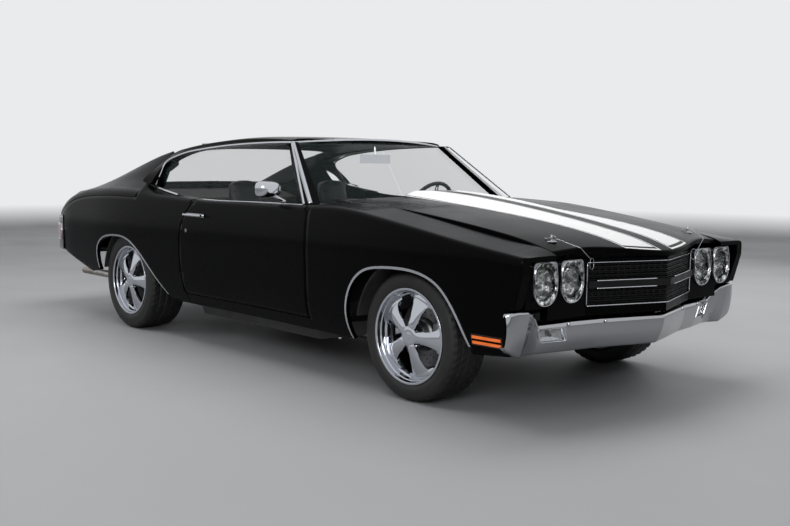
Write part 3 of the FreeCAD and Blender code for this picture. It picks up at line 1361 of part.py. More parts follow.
RAIL_PATH = (
    (0.8904, 0.4491), (0.7786, 0.4491), (0.4592, 0.4491), (0.3514, 0.5431), (0.2795, 0.7206),
    (-0.2076, 0.7206), (-0.3035, 0.5849), (-0.3913, 0.5222), (-0.5989, 0.5222), (-0.9104, 0.5222),
)
RAIL_RISE = (
    (0.8904, 0.284), (0.7786, 0.2691), (0.4592, 0.2242), (0.3514, 0.1794), (0.2795, 0.1584),
    (-0.2076, 0.1584), (-0.3035, 0.1584), (-0.3913, 0.3176), (-0.5989, 0.3176), (-0.9104, 0.3176),
)
CROSS_MEMBER_SHARES = (0.88, 0.639, 0.2, -0.7, -0.86)
FLOOR_Z = HEIGHT * 0.195815
FLOOR_WALL = 16.0
FLOOR_HALF_WIDTH = HALF_WIDTH * 0.834465
FIREWALL_X = HALF_LENGTH * 0.36135
FIREWALL_TOP = HEIGHT * 0.686099
TOE_X = HALF_LENGTH * 0.303454
TUNNEL_HALF_WIDTH = 130.0
TUNNEL_HEIGHT = HEIGHT * 0.09716
SEAT_RISER_X = HALF_LENGTH * -0.25554
REAR_SEAT_BASE_Z = HEIGHT * 0.349776
AXLE_FLOOR_Z = HEIGHT * 0.373692
REAR_SEAT_BACK_X = HALF_LENGTH * -0.471152
SHELF_Z = HEIGHT * 0.676383
TRUNK_FLOOR_Z = HEIGHT * 0.351271
TRUNK_END_X = HALF_LENGTH * -0.938311
TRUNK_HALF_WIDTH = HALF_WIDTH * 0.616188
TUB_INNER_Y = HALF_WIDTH * 0.630809
TUB_OUTER_Y = HALF_WIDTH * 0.929504
APRON_Y = HALF_WIDTH * 0.505483


def rail_box(x, y, z, width, height):
    return Part.Wire(polyline([
        V(x, y - width / 2, z - height / 2), V(x, y + width / 2, z - height / 2),
        V(x, y + width / 2, z + height / 2),
        V(x, y - width / 2, z + height / 2), V(x, y - width / 2, z - height / 2),
    ]))


def rail_points():
    plan = scaled(RAIL_PATH, HALF_LENGTH, HALF_WIDTH)
    rise = scaled(RAIL_RISE, HALF_LENGTH, HEIGHT)
    return [(x, y, z) for (x, y), (_, z) in zip(plan, rise)]


def rail_at(x):
    points = rail_points()
    for a, b in zip(points, points[1:]):
        if b[0] <= x <= a[0]:
            share = (x - a[0]) / (b[0] - a[0])
            return between(a[1], b[1], share), between(a[2], b[2], share)
    return points[-1][1], points[-1][2]


def frame():
    """Perimeter frame: two boxed rails and five cross members."""
    rail = loft([rail_box(x, y, z, RAIL_WIDTH, RAIL_HEIGHT * 0.8) for x, y, z in rail_points()], True)
    members = []
    for share in CROSS_MEMBER_SHARES:
        x = share * HALF_LENGTH
        y, z = rail_at(x)
        tall = RAIL_HEIGHT * 0.55
        members.append(box(x - RAIL_WIDTH / 2, x + RAIL_WIDTH / 2, -y, y, z - tall / 2, z + tall / 2))
    return joined(both(rail) + members)


def strip_profile(points, wall):
    """Thick line in side view: the path and the same path raised by the wall."""
    return points + [(x, z + wall) for x, z in reversed(points)]


def floor_pan():
    """Floor, firewall, rear seat riser, bulkhead with parcel shelf, trunk floor and wheelhouses."""
    main = [
        (TOE_X, FLOOR_Z), (SEAT_RISER_X, FLOOR_Z), (SEAT_RISER_X - FLOOR_WALL, REAR_SEAT_BASE_Z),
        (REAR_SEAT_BACK_X, REAR_SEAT_BASE_Z), (REAR_SEAT_BACK_X - FLOOR_WALL, AXLE_FLOOR_Z),
        (between(REAR_SEAT_BACK_X, TRUNK_END_X, 0.3), AXLE_FLOOR_Z),
        (between(REAR_SEAT_BACK_X, TRUNK_END_X, 0.4), TRUNK_FLOOR_Z), (TRUNK_END_X, TRUNK_FLOOR_Z),
    ]
    wide = side_polygon(strip_profile(main, FLOOR_WALL), -FLOOR_HALF_WIDTH, FLOOR_HALF_WIDTH)
    for sign in (1, -1):
        tub_space = box(-LENGTH, REAR_AXLE_X + ARCH_LINER + FLOOR_WALL,
                        sign * (TUB_INNER_Y + FIRM_WALL / 2), sign * WIDTH, 0, HEIGHT)
        wide = wide.cut(tub_space)
    toe = side_polygon([
        (TOE_X - FLOOR_WALL, FLOOR_Z), (TOE_X, FLOOR_Z), (FIREWALL_X, FLOOR_Z + PANEL * 7),
        (FIREWALL_X, FIREWALL_TOP),
        (FIREWALL_X - FLOOR_WALL, FIREWALL_TOP), (FIREWALL_X - FLOOR_WALL, FLOOR_Z + PANEL * 7.5),
        (TOE_X - FLOOR_WALL, FLOOR_Z + FLOOR_WALL),
    ], PANEL + SEAT_GAP - POST_INNER_Y, POST_INNER_Y - PANEL - SEAT_GAP)
    tunnel = box(SEAT_RISER_X, TOE_X, -TUNNEL_HALF_WIDTH, TUNNEL_HALF_WIDTH, FLOOR_Z,
                 FLOOR_Z + TUNNEL_HEIGHT)
    hollow = box(SEAT_RISER_X - OVERRUN, FIREWALL_X + OVERRUN, FLOOR_WALL - TUNNEL_HALF_WIDTH,
                 TUNNEL_HALF_WIDTH - FLOOR_WALL, 0, FLOOR_Z + TUNNEL_HEIGHT - FLOOR_WALL)
    bulkhead = side_polygon([
        (REAR_SEAT_BACK_X - FLOOR_WALL, AXLE_FLOOR_Z), (REAR_SEAT_BACK_X - PANEL * 5, SHELF_Z),
        (REAR_GLASS_BASE_X - PANEL * 4, SHELF_Z + PANEL * 3),
        (REAR_GLASS_BASE_X - PANEL * 4, SHELF_Z + PANEL * 3 - FLOOR_WALL),
        (REAR_SEAT_BACK_X - PANEL * 5 - FLOOR_WALL, SHELF_Z - FLOOR_WALL),
        (REAR_SEAT_BACK_X - FLOOR_WALL * 2, AXLE_FLOOR_Z),
    ], -TRUNK_HALF_WIDTH, TRUNK_HALF_WIDTH)
    tubs = both(liner(REAR_AXLE_X, REAR_TYRE_RADIUS, TUB_INNER_Y, TUB_OUTER_Y))
    body = joined([wide, toe, tunnel, bulkhead] + tubs)
    return body.cut(hollow)


def liner(axle_x, axle_z, y0, y1):
    """Half-round wheelhouse with its inner wall."""
    outer = rod(V(axle_x, y0, axle_z), V(axle_x, y1, axle_z), ARCH_LINER + FIRM_WALL)
    inner = rod(V(axle_x, y0 + FIRM_WALL, axle_z), V(axle_x, y1 + FIRM_WALL, axle_z), ARCH_LINER)
    lower = box(axle_x - LENGTH, axle_x + LENGTH, y0 - OVERRUN, y1 + OVERRUN, -HEIGHT,
                axle_z + FIRM_WALL * 5)
    return outer.cut(inner).cut(lower)


def front_liners():
    apron = liner(FRONT_AXLE_X, FRONT_TYRE_RADIUS, APRON_Y - FIRM_WALL, TUB_OUTER_Y)
    reach = ARM_PIVOT_HALF + MOVING_GAP
    low = KNUCKLE_HIGH - MOVING_GAP
    arm_room = box(FRONT_AXLE_X - reach, FRONT_AXLE_X + reach, 0, APRON_Y + PANEL, low,
                   low + ARM_THICKNESS + MOVING_GAP * 2)
    return both(apron.cut(arm_room))


HUB_FACE = 8.0


def turned(profile, axle_x, axle_z):
    """Solid of revolution about the wheel's own axle, from (y, radius) pairs."""
    points = [V(axle_x, y, axle_z + r) for y, r in profile]
    face = Part.Face(Part.Wire(polyline(points + points[:1])))
    return face.revolve(V(axle_x, 0, axle_z), V(0, 1, 0), 360)


def tyre(axle_x, radius, width, wheel_y):
    """Round-shouldered tyre, seated between the rim's flanges."""
    half = width / 2
    inner = wheel_y - half
    outer = wheel_y + half
    seat_in = inner + BELLY * 1.5 + LIP_WIDTH * 0.4 + SEAT_GAP
    seat_out = outer - BELLY * 0.5 - LIP_WIDTH * 0.4 - SEAT_GAP
    bead = BEAD_RADIUS + SEAT_GAP
    lip = RIM_LIP_RADIUS + SEAT_GAP
    shoulder_r = radius - TREAD_SHOULDER * 0.7
    mid = between(BEAD_RADIUS, radius, 0.45)
    return turned([
        (seat_in, bead), (seat_in, lip), (inner + BELLY, lip + BELLY * 0.3), (inner, mid),
        (inner + BELLY * 0.6, shoulder_r),
        (inner + TREAD_SHOULDER, radius), (outer - TREAD_SHOULDER, radius),
        (outer - BELLY * 0.6, shoulder_r),
        (outer, mid), (outer - BELLY * 0.2, lip + BELLY * 0.3), (seat_out, lip), (seat_out, bead),
    ], axle_x, radius)


def wheel(axle_x, radius, width, wheel_y):
    """Five-spoke wheel: stepped barrel, flaring spokes, hub, cap and brake disc."""
    outer = wheel_y + width / 2 - BELLY * 0.5
    inner = wheel_y - width / 2 + BELLY * 1.5
    barrel_r = BEAD_RADIUS - RIM_WALL * 2.2
    barrel = turned([
        (inner, RIM_LIP_RADIUS), (inner + LIP_WIDTH * 0.4, RIM_LIP_RADIUS),
        (inner + LIP_WIDTH * 0.4, BEAD_RADIUS), (inner + LIP_WIDTH * 2, BEAD_RADIUS),
        (inner + LIP_WIDTH * 4, barrel_r + RIM_WALL), (outer - LIP_WIDTH * 3, barrel_r + RIM_WALL),
        (outer - LIP_WIDTH * 2, BEAD_RADIUS), (outer - LIP_WIDTH * 0.4, BEAD_RADIUS),
        (outer - LIP_WIDTH * 0.4, RIM_LIP_RADIUS), (outer, RIM_LIP_RADIUS),
        (outer, BEAD_RADIUS - RIM_WALL * 0.6), (outer - LIP_WIDTH * 2.4, BEAD_RADIUS - RIM_WALL),
        (outer - LIP_WIDTH * 3, barrel_r), (inner + LIP_WIDTH * 4, barrel_r),
        (inner + LIP_WIDTH * 2, BEAD_RADIUS - RIM_WALL), (inner, BEAD_RADIUS - RIM_WALL),
    ], axle_x, radius)
    face_y = outer - LIP_WIDTH * 1.6
    back_y = face_y - SPOKE_THICKNESS
    hub_profile = turned([(back_y, 0), (back_y, HUB_RADIUS), (face_y, HUB_RADIUS * 0.86),
                          (face_y, HUB_CAP_RADIUS), (face_y + HUB_FACE, HUB_CAP_RADIUS * 0.8),
                          (face_y + HUB_FACE, 0)], axle_x, radius)
    pieces = [barrel, hub_profile]
    reach = barrel_r + RIM_WALL * 0.5
    waist = between(HUB_RADIUS, reach, 0.4)
    for i in range(SPOKE_COUNT):
        pts = [V(axle_x - SPOKE_HUB_HALF_WIDTH, 0, radius + HUB_RADIUS * 0.5),
               V(axle_x - SPOKE_HUB_HALF_WIDTH * 0.92, 0, radius + waist),
               V(axle_x - SPOKE_RIM_HALF_WIDTH * 0.52, 0, radius + between(waist, reach, 0.66)),
               V(axle_x - SPOKE_RIM_HALF_WIDTH, 0, radius + reach * 0.965)]
        other = [V(2 * axle_x - p.x, 0, p.z) for p in reversed(pts)]
        face = Part.Face(Part.Wire([curve(pts), line(pts[-1], other[0]), curve(other),
                                    line(other[-1], pts[0])]))
        face.translate(V(0, back_y, 0))
        spoke = face.extrude(V(0, SPOKE_THICKNESS, 0))
        slope = turned([(face_y + SEAT_GAP, 0), (face_y + SEAT_GAP, HUB_RADIUS),
                        (face_y - SPOKE_THICKNESS * 0.35, waist), (outer - LIP_WIDTH * 2.6, reach),
                        (back_y - SPOKE_THICKNESS * 0.2, reach), (back_y, 0)], axle_x, radius)
        spoke = spoke.common(slope)
        spoke.rotate(V(axle_x, 0, radius), V(0, 1, 0), i * 360 / SPOKE_COUNT)
        pieces.append(spoke)
    disc_y = wheel_y - PANEL * 0.2
    disc = turned([(disc_y - DISC_THICKNESS, DISC_HAT_RADIUS * 0.6), (disc_y - DISC_THICKNESS, DISC_RADIUS),
                   (disc_y, DISC_RADIUS), (disc_y, DISC_HAT_RADIUS),
                   (back_y + SEAT_GAP, DISC_HAT_RADIUS * 0.8), (back_y + SEAT_GAP, 0),
                   (disc_y - DISC_THICKNESS * 0.4, 0),
                   (disc_y - DISC_THICKNESS * 0.4, DISC_HAT_RADIUS * 0.6)], axle_x, radius)
    pieces.append(disc)
    return joined(pieces)


KNUCKLE_WALL = 22.0
KNUCKLE_LOW = 232.0
KNUCKLE_HIGH = 418.0
CALIPER_DEPTH = 62.0
ARM_THICKNESS = 26.0
ARM_PIVOT_HALF = 130.0


def knuckle():
    """Steering knuckle: upright, stub spindle and the caliper ahead of the axle."""
    y = KINGPIN_Y - DISC_THICKNESS
    upright = box(FRONT_AXLE_X - KNUCKLE_WALL * 1.4, FRONT_AXLE_X + KNUCKLE_WALL * 1.4, y - KNUCKLE_WALL,
                  y - MOVING_GAP, KNUCKLE_LOW, KNUCKLE_HIGH)
    disc_y = FRONT_WHEEL_Y - PANEL * 0.2
    spindle = rod(V(FRONT_AXLE_X, y - KNUCKLE_WALL, FRONT_TYRE_RADIUS),
                  V(FRONT_AXLE_X, disc_y - DISC_THICKNESS * 0.4 - SEAT_GAP * 2, FRONT_TYRE_RADIUS),
                  SHAFT_RADIUS)
    x0 = FRONT_AXLE_X + DISC_RADIUS * 0.5
    x1 = FRONT_AXLE_X + DISC_RADIUS + PANEL
    gap = MOVING_GAP
    claw = box(x0, x1, disc_y - DISC_THICKNESS - PANEL - gap, disc_y + PANEL + gap,
               FRONT_TYRE_RADIUS - CALIPER_DEPTH, FRONT_TYRE_RADIUS + CALIPER_DEPTH)
    slot_space = rod(V(FRONT_AXLE_X, disc_y - DISC_THICKNESS - gap, FRONT_TYRE_RADIUS),
                     V(FRONT_AXLE_X, disc_y + gap, FRONT_TYRE_RADIUS), DISC_RADIUS + gap)
    claw = claw.cut(slot_space)
    bracket = box(FRONT_AXLE_X, x0 + PANEL, y - KNUCKLE_WALL, disc_y - DISC_THICKNESS - gap,
                  FRONT_TYRE_RADIUS - PANEL, FRONT_TYRE_RADIUS + PANEL)
    return joined([upright, spindle, claw, bracket])


def suspension():
    """Lower and upper control arms with the spring towers that seat them on the frame."""
    solids = []
    pin_y = KINGPIN_Y - DISC_THICKNESS - KNUCKLE_WALL * 0.6
    rail_y = rail_at(FRONT_AXLE_X)[0]
    outer = rail_y + RAIL_WIDTH / 2 + PANEL
    low = KNUCKLE_LOW - SEAT_GAP * 3 - ARM_THICKNESS
    high = KNUCKLE_HIGH + SEAT_GAP * 3
    x0 = FRONT_AXLE_X - ARM_PIVOT_HALF
    x1 = FRONT_AXLE_X + ARM_PIVOT_HALF
    for z in (low, high):
        solids.append(plan_polygon([
            (x0, rail_y - RAIL_WIDTH / 2), (x0, outer),
            (FRONT_AXLE_X - KNUCKLE_WALL, pin_y + KNUCKLE_WALL * 0.5),
            (FRONT_AXLE_X + KNUCKLE_WALL, pin_y + KNUCKLE_WALL * 0.5), (x1, outer),
            (x1, rail_y - RAIL_WIDTH / 2),
        ], z, z + ARM_THICKNESS))
    half = RAIL_HEIGHT * 0.4 + SEAT_GAP
    ends = (FRONT_AXLE_X - RAIL_WIDTH, FRONT_AXLE_X + RAIL_WIDTH)
    on_rail = [(x, rail_at(x)[1]) for x in ends]
    above = [(x, z + half) for x, z in on_rail] + [(ends[1], high + ARM_THICKNESS / 2),
                                                   (ends[0], high + ARM_THICKNESS / 2)]
    below = [(x, z - half) for x, z in on_rail] + [(ends[1], low + ARM_THICKNESS / 2),
                                                   (ends[0], low + ARM_THICKNESS / 2)]
    for points in (above, below):
        solids.append(side_polygon(points, rail_y - RAIL_WIDTH * 0.4, rail_y + RAIL_WIDTH * 0.4))
    link = box(FRONT_AXLE_X - KNUCKLE_WALL, FRONT_AXLE_X + KNUCKLE_WALL, outer + PANEL * 0.3,
               outer + PANEL * 1.3, low, high + ARM_THICKNESS)
    return both(joined(solids + [link]))


PINION_X = HALF_LENGTH * 0.171691


def driveline():
    """Live rear axle with its differential, and the propeller shaft to the gearbox."""
    end = REAR_WHEEL_Y - PANEL * 0.2 - DISC_THICKNESS - SEAT_GAP
    tube = rod(V(REAR_AXLE_X, -end, REAR_TYRE_RADIUS), V(REAR_AXLE_X, end, REAR_TYRE_RADIUS),
               AXLE_TUBE_RADIUS)
    ball = Part.makeSphere(DIFFERENTIAL_RADIUS, V(REAR_AXLE_X, 0, REAR_TYRE_RADIUS))
    nose_end = V(REAR_AXLE_X + DIFFERENTIAL_RADIUS * 2.2, 0, REAR_TYRE_RADIUS - PANEL * 0.5)
    pinion = rod(V(REAR_AXLE_X, 0, REAR_TYRE_RADIUS), nose_end, SHAFT_RADIUS * 1.8)
    shaft = rod(nose_end - V(PANEL, 0, 0), V(PINION_X, 0, REAR_TYRE_RADIUS - PANEL * 0.5), SHAFT_RADIUS)
    return joined([tube, ball, pinion, shaft])


ENGINE_X0 = 940.0
ENGINE_X1 = 1640.0
ENGINE_HALF_WIDTH = 280.0
ENGINE_LOW = HEIGHT * 0.298954
ENGINE_HIGH = HEIGHT * 0.597907
GEARBOX_HALF = 90.0
RADIATOR_X = HALF_LENGTH * 0.838491
RADIATOR_HALF_WIDTH = 380.0
RADIATOR_LOW = HEIGHT * 0.298954
RADIATOR_HIGH = HEIGHT * 0.560538


def engine():
    """Engine as one plain block, with the gearbox behind it."""
    block = box(ENGINE_X0, ENGINE_X1, -ENGINE_HALF_WIDTH, ENGINE_HALF_WIDTH, ENGINE_LOW, ENGINE_HIGH)
    sump = box(ENGINE_X0 + PANEL * 5, ENGINE_X1 - PANEL * 5, -GEARBOX_HALF * 1.4, GEARBOX_HALF * 1.4,
               ENGINE_LOW - PANEL * 8, ENGINE_LOW)
    gearbox = box(PINION_X + SEAT_GAP, ENGINE_X0, -GEARBOX_HALF, GEARBOX_HALF,
                  REAR_TYRE_RADIUS - PANEL * 4.5, REAR_TYRE_RADIUS + PANEL * 1.8)
    bell = box(ENGINE_X0 - PANEL * 1.4, ENGINE_X0, -GEARBOX_HALF, GEARBOX_HALF, REAR_TYRE_RADIUS,
               ENGINE_LOW + PANEL)
    return joined([block, sump, gearbox, bell])


def radiator():
    plate = box(RADIATOR_X, RADIATOR_X + PANEL * 3, -RADIATOR_HALF_WIDTH, RADIATOR_HALF_WIDTH, RADIATOR_LOW,
                RADIATOR_HIGH)
    rail_y0, rail_z = rail_at(RADIATOR_X)
    feet = []
    for sign in (1, -1):
        feet.append(box(RADIATOR_X, RADIATOR_X + PANEL * 3, sign * (RADIATOR_HALF_WIDTH - PANEL),
                        sign * (rail_y0 + RAIL_WIDTH / 2),
                        rail_z + RAIL_HEIGHT * 0.45, rail_z + RAIL_HEIGHT * 0.45 + PANEL * 2))
    return joined([plate] + feet)


EXHAUST_Y = HALF_WIDTH * 0.344648
EXHAUST_Z = HEIGHT * 0.113602
MUFFLER_RADIUS = 60.0
TAIL_PIPE_Y = HALF_WIDTH * 0.710183
TAIL_PIPE_Z = HEIGHT * 0.224
EXHAUST_TIP_X = HALF_LENGTH * -0.954282
FUEL_TANK_FRONT_X = HALF_LENGTH * -0.718706
FUEL_TANK_REAR_X = HALF_LENGTH * -0.906369
FUEL_TANK_HALF_WIDTH = HALF_WIDTH * 0.402089
FUEL_TANK_HEIGHT = 155.0
EXHAUST_BEND = 90.0


def bent_tube(points, radius, bend):
    """Round tube along straight runs with tangent arcs at the corners."""
    pieces = []
    here = points[0]
    for before, corner, after in zip(points, points[1:], points[2:]):
        a = (before - corner).normalize()
        b = (after - corner).normalize()
        half = a.getAngle(b) / 2
        start = corner + a * (bend / math.tan(half))
        centre = corner + (a + b).normalize() * (bend / math.sin(half))
        pieces.append(rod(here, start, radius))
        section = Part.Face(Part.Wire([Part.Circle(start, a, radius).toShape()]))
        turn = 180 - math.degrees(half * 2)
        pieces.append(section.revolve(centre, b.cross(a), turn))
        here = corner + b * (bend / math.tan(half))
    pieces.append(rod(here, points[-1], radius))
    return joined(pieces)


def exhaust():
    """Twin pipes with mufflers, over the axle and out below the bumper."""
    high = REAR_TYRE_RADIUS + AXLE_TUBE_RADIUS + TUBE_RADIUS * 2
    points = [
        V(ENGINE_X0 + PANEL * 10, EXHAUST_Y * 0.7, EXHAUST_Z + PANEL * 6),
        V(ENGINE_X0 - PANEL * 4, EXHAUST_Y, EXHAUST_Z), V(REAR_AXLE_X + PANEL * 20, EXHAUST_Y, EXHAUST_Z),
        V(REAR_AXLE_X + PANEL * 9, EXHAUST_Y, high), V(REAR_AXLE_X - PANEL * 9, EXHAUST_Y, high),
        V(REAR_AXLE_X - PANEL * 18, between(EXHAUST_Y, TAIL_PIPE_Y, 0.3), TAIL_PIPE_Z),
        V(REAR_AXLE_X - PANEL * 25, TAIL_PIPE_Y, TAIL_PIPE_Z),
        V(EXHAUST_TIP_X, TAIL_PIPE_Y, TAIL_PIPE_Z),
    ]
    pipe = bent_tube(points, TUBE_RADIUS, EXHAUST_BEND)
    muffler_z = EXHAUST_Z + PANEL * 1.5
    muffler = rod(V(REAR_AXLE_X + PANEL * 22, EXHAUST_Y, muffler_z),
                  V(REAR_AXLE_X + PANEL * 46, EXHAUST_Y, muffler_z), MUFFLER_RADIUS)
    return both(joined([pipe, muffler]))


def fuel_tank():
    top = rail_at(FUEL_TANK_FRONT_X)[1] - RAIL_HEIGHT * 0.275 - SEAT_GAP
    return box(FUEL_TANK_REAR_X, FUEL_TANK_FRONT_X, -FUEL_TANK_HALF_WIDTH, FUEL_TANK_HALF_WIDTH,
               top - FUEL_TANK_HEIGHT, top)


# Cabin

SEAT_Y = HALF_WIDTH * 0.396867
SEAT_HALF_WIDTH = 245.0
SEAT_FRONT_X = HALF_LENGTH * 0.043921
SEAT_REAR_X = HALF_LENGTH * -0.143741
SEAT_TOP = HEIGHT * 0.373692
SEAT_BASE_Z = HEIGHT * 0.246637
SEAT_BACK_TOP = HEIGHT * 0.64275
SEAT_BACK_LEAN = 170.0
SEAT_BACK_DEPTH = 120.0
REST_HALF_WIDTH = 120.0
REST_TOP = HEIGHT * 0.78849
DASH_FRONT_X = HALF_LENGTH * 0.319425
DASH_REAR_X = HALF_LENGTH * 0.223598
DASH_TOP = HEIGHT * 0.686099
DASH_LOW = HEIGHT * 0.478326
DASH_HALF_WIDTH = HALF_WIDTH * 0.802089
WHEEL_CENTRE_X = HALF_LENGTH * 0.181673
WHEEL_CENTRE_Y = HALF_WIDTH * 0.396867
WHEEL_CENTRE_Z = HEIGHT * 0.657698
WHEEL_RIM_RADIUS = 185.0
WHEEL_RIM_TUBE = 13.0
COLUMN_TILT = 24.0
COLUMN_RADIUS = 34.0


def front_seats():
    cushion = side_polygon([
        (SEAT_FRONT_X, SEAT_BASE_Z), (SEAT_FRONT_X, SEAT_TOP - PANEL), (SEAT_FRONT_X - PANEL * 3, SEAT_TOP),
        (SEAT_REAR_X, SEAT_TOP - PANEL * 2),
        (SEAT_REAR_X - SEAT_BACK_LEAN, SEAT_BACK_TOP),
        (SEAT_REAR_X - SEAT_BACK_LEAN - SEAT_BACK_DEPTH * 0.7, SEAT_BACK_TOP - PANEL),
        (SEAT_REAR_X - SEAT_BACK_DEPTH, SEAT_BASE_Z),
    ], SEAT_Y - SEAT_HALF_WIDTH, SEAT_Y + SEAT_HALF_WIDTH)
    lean = SEAT_REAR_X - SEAT_BACK_LEAN
    rest = side_polygon([
        (lean, SEAT_BACK_TOP - PANEL * 2), (lean - PANEL, REST_TOP - PANEL), (lean - PANEL * 2.5, REST_TOP),
        (lean - SEAT_BACK_DEPTH * 0.75, REST_TOP - PANEL),
        (lean - SEAT_BACK_DEPTH * 0.6, SEAT_BACK_TOP - PANEL * 2),
    ], SEAT_Y - REST_HALF_WIDTH, SEAT_Y + REST_HALF_WIDTH)
    track = box(SEAT_REAR_X, SEAT_FRONT_X - PANEL * 4, SEAT_Y - SEAT_HALF_WIDTH * 0.8,
                SEAT_Y + SEAT_HALF_WIDTH * 0.8, FLOOR_Z + FLOOR_WALL + SEAT_GAP, SEAT_BASE_Z)
    return both(joined([cushion, rest, track]))


REAR_SEAT_HALF_WIDTH = HALF_WIDTH * 0.616188
REAR_SEAT_FRONT_X = HALF_LENGTH * -0.275504
REAR_SEAT_TOP = HEIGHT * 0.418535
REAR_SEAT_BACK_TOP = HEIGHT * 0.665172


def rear_seat():
    back_x = REAR_SEAT_BACK_X + PANEL * 0.2
    return side_polygon([
        (REAR_SEAT_FRONT_X, REAR_SEAT_BASE_Z + FLOOR_WALL + SEAT_GAP),
        (REAR_SEAT_FRONT_X, REAR_SEAT_TOP - PANEL), (REAR_SEAT_FRONT_X - PANEL * 2, REAR_SEAT_TOP),
        (back_x + PANEL * 8, REAR_SEAT_TOP - PANEL * 2),
        (back_x + PANEL * 2, REAR_SEAT_BACK_TOP), (back_x - PANEL * 4, REAR_SEAT_BACK_TOP),
        (back_x, AXLE_FLOOR_Z + PANEL * 2), (back_x, REAR_SEAT_BASE_Z + FLOOR_WALL + SEAT_GAP),
    ], -REAR_SEAT_HALF_WIDTH, REAR_SEAT_HALF_WIDTH)


def dashboard():
    """Dashboard across the cabin with the steering column and its shroud."""
    dash = side_polygon([
        (DASH_FRONT_X, DASH_TOP - PANEL * 0.5), (DASH_REAR_X + PANEL * 3, DASH_TOP),
        (DASH_REAR_X, DASH_TOP - PANEL), (DASH_REAR_X + PANEL, DASH_LOW + PANEL * 5),
        (DASH_REAR_X + PANEL * 5, DASH_LOW), (FIREWALL_X - FLOOR_WALL - SEAT_GAP, DASH_LOW),
        (FIREWALL_X - FLOOR_WALL - SEAT_GAP, DASH_TOP - PANEL * 5),
        (DASH_FRONT_X, DASH_TOP - PANEL * 5),
    ], -DASH_HALF_WIDTH, DASH_HALF_WIDTH)
    axis = column_axis()
    centre = V(WHEEL_CENTRE_X, WHEEL_CENTRE_Y, WHEEL_CENTRE_Z)
    column = rod(centre + axis * (PANEL * 1.4), centre + axis * (PANEL * 15), COLUMN_RADIUS)
    return joined([dash, column])


def column_axis():
    tilt = math.radians(COLUMN_TILT)
    return V(math.cos(tilt), 0, -math.sin(tilt))


def steering_wheel():
    """Rim, three spokes and a horn boss, square to the column."""
    centre = V(WHEEL_CENTRE_X, WHEEL_CENTRE_Y, WHEEL_CENTRE_Z)
    axis = column_axis()
    rim = Part.makeTorus(WHEEL_RIM_RADIUS, WHEEL_RIM_TUBE, centre, axis)
    boss = rod(centre - axis * PANEL * 0.5, centre + axis * (PANEL * 1.4 - SEAT_GAP), COLUMN_RADIUS * 1.3)
    pieces = [rim, boss]
    across = V(0, 1, 0)
    down = axis.cross(across)
    for turn in (90, 210, 330):
        angle = math.radians(turn)
        out = across * math.sin(angle) + down * math.cos(angle) * -1
        pieces.append(rod(centre, centre + out * WHEEL_RIM_RADIUS, WHEEL_RIM_TUBE * 0.8))
    return joined(pieces)


ROOM_MIRROR_X = HALF_LENGTH * 0.131763
ROOM_MIRROR_Z = HEIGHT * 0.896861
ROOM_MIRROR_HALF = 120.0
ROOM_MIRROR_TALL = 56.0


def room_mirror():
    glass = box(ROOM_MIRROR_X, ROOM_MIRROR_X + PANEL, -ROOM_MIRROR_HALF, ROOM_MIRROR_HALF,
                ROOM_MIRROR_Z - ROOM_MIRROR_TALL / 2, ROOM_MIRROR_Z + ROOM_MIRROR_TALL / 2)
    roof_in = roof_top(ROOM_MIRROR_X) - ROOF_WALL
    stalk = rod(V(ROOM_MIRROR_X + PANEL * 0.6, 0, ROOM_MIRROR_Z),
                V(ROOM_MIRROR_X + PANEL * 0.2, 0, roof_in - SEAT_GAP * 2), PANEL * 0.4)
    return joined([glass, stalk])


def save(name, shape):
    solids = shape if isinstance(shape, list) else [shape]
    parts = [s for item in solids for s in item.Solids]
    whole = parts[0] if len(parts) == 1 else Part.Compound(parts)
    whole.exportStep(os.path.join("parts", name + ".step"))
    print(name, len(parts), whole.isValid(), round(whole.Volume / 1e6, 2))


def main():
    os.makedirs("parts", exist_ok=True)
    save("frame", frame())
    save("floor_pan", floor_pan())
    save("wheelhouses", front_liners())
    for name, maker in (("fender", fender), ("quarter", quarter), ("door", door),
                        ("door_glass", door_glass)):
        shape = maker()
        save(name + "_left", shape)
        save(name + "_right", mirrored(shape))
    save("door_hardware_left", door_handle())
    save("door_hardware_right", [mirrored(item) for item in door_handle() + [door_mirror()]])
    save("rockers", both(rocker()))
    save("roof", roof())
    save("fixed_glass", [windshield(), rear_glass()] + both(quarter_glass()))
    save("cowl_panel", cowl())
    save("hood", hood())
    save("decklid", decklid())
    save("nose_panel", nose())
    save("tail_panel", tail_panel())
    save("front_bumper", front_bumper())
    save("rear_bumper", rear_bumper())
    save("grille", grille())
    save("lamp_lenses", lenses())
    save("tail_lamps", tail_lamps())
    save("side_markers", side_markers())
    save("bright_trim", bright_trim())
    save("front_seats", front_seats())
    save("rear_seat", rear_seat())
    save("dashboard", dashboard())
    save("steering_wheel", steering_wheel())
    save("inside_mirror", room_mirror())
    save("engine", engine())
    save("radiator", radiator())
    save("driveline", driveline())
    save("exhaust", exhaust())
    save("front_suspension", suspension())
    save("fuel_tank", fuel_tank())
    shape = knuckle()
    save("knuckle_left", shape)
    save("knuckle_right", mirrored(shape))
    sizes = (
        ("front", FRONT_AXLE_X, FRONT_TYRE_RADIUS, FRONT_TYRE_WIDTH, FRONT_WHEEL_Y),
        ("rear", REAR_AXLE_X, REAR_TYRE_RADIUS, REAR_TYRE_WIDTH, REAR_WHEEL_Y),
    )
    for end, axle_x, radius, width, wheel_y in sizes:
        for piece, maker in (("wheel", wheel), ("tyre", tyre)):
            shape = maker(axle_x, radius, width, wheel_y)
            save(piece + "_" + end + "_left", shape)
            save(piece + "_" + end + "_right", mirrored(shape))


main()
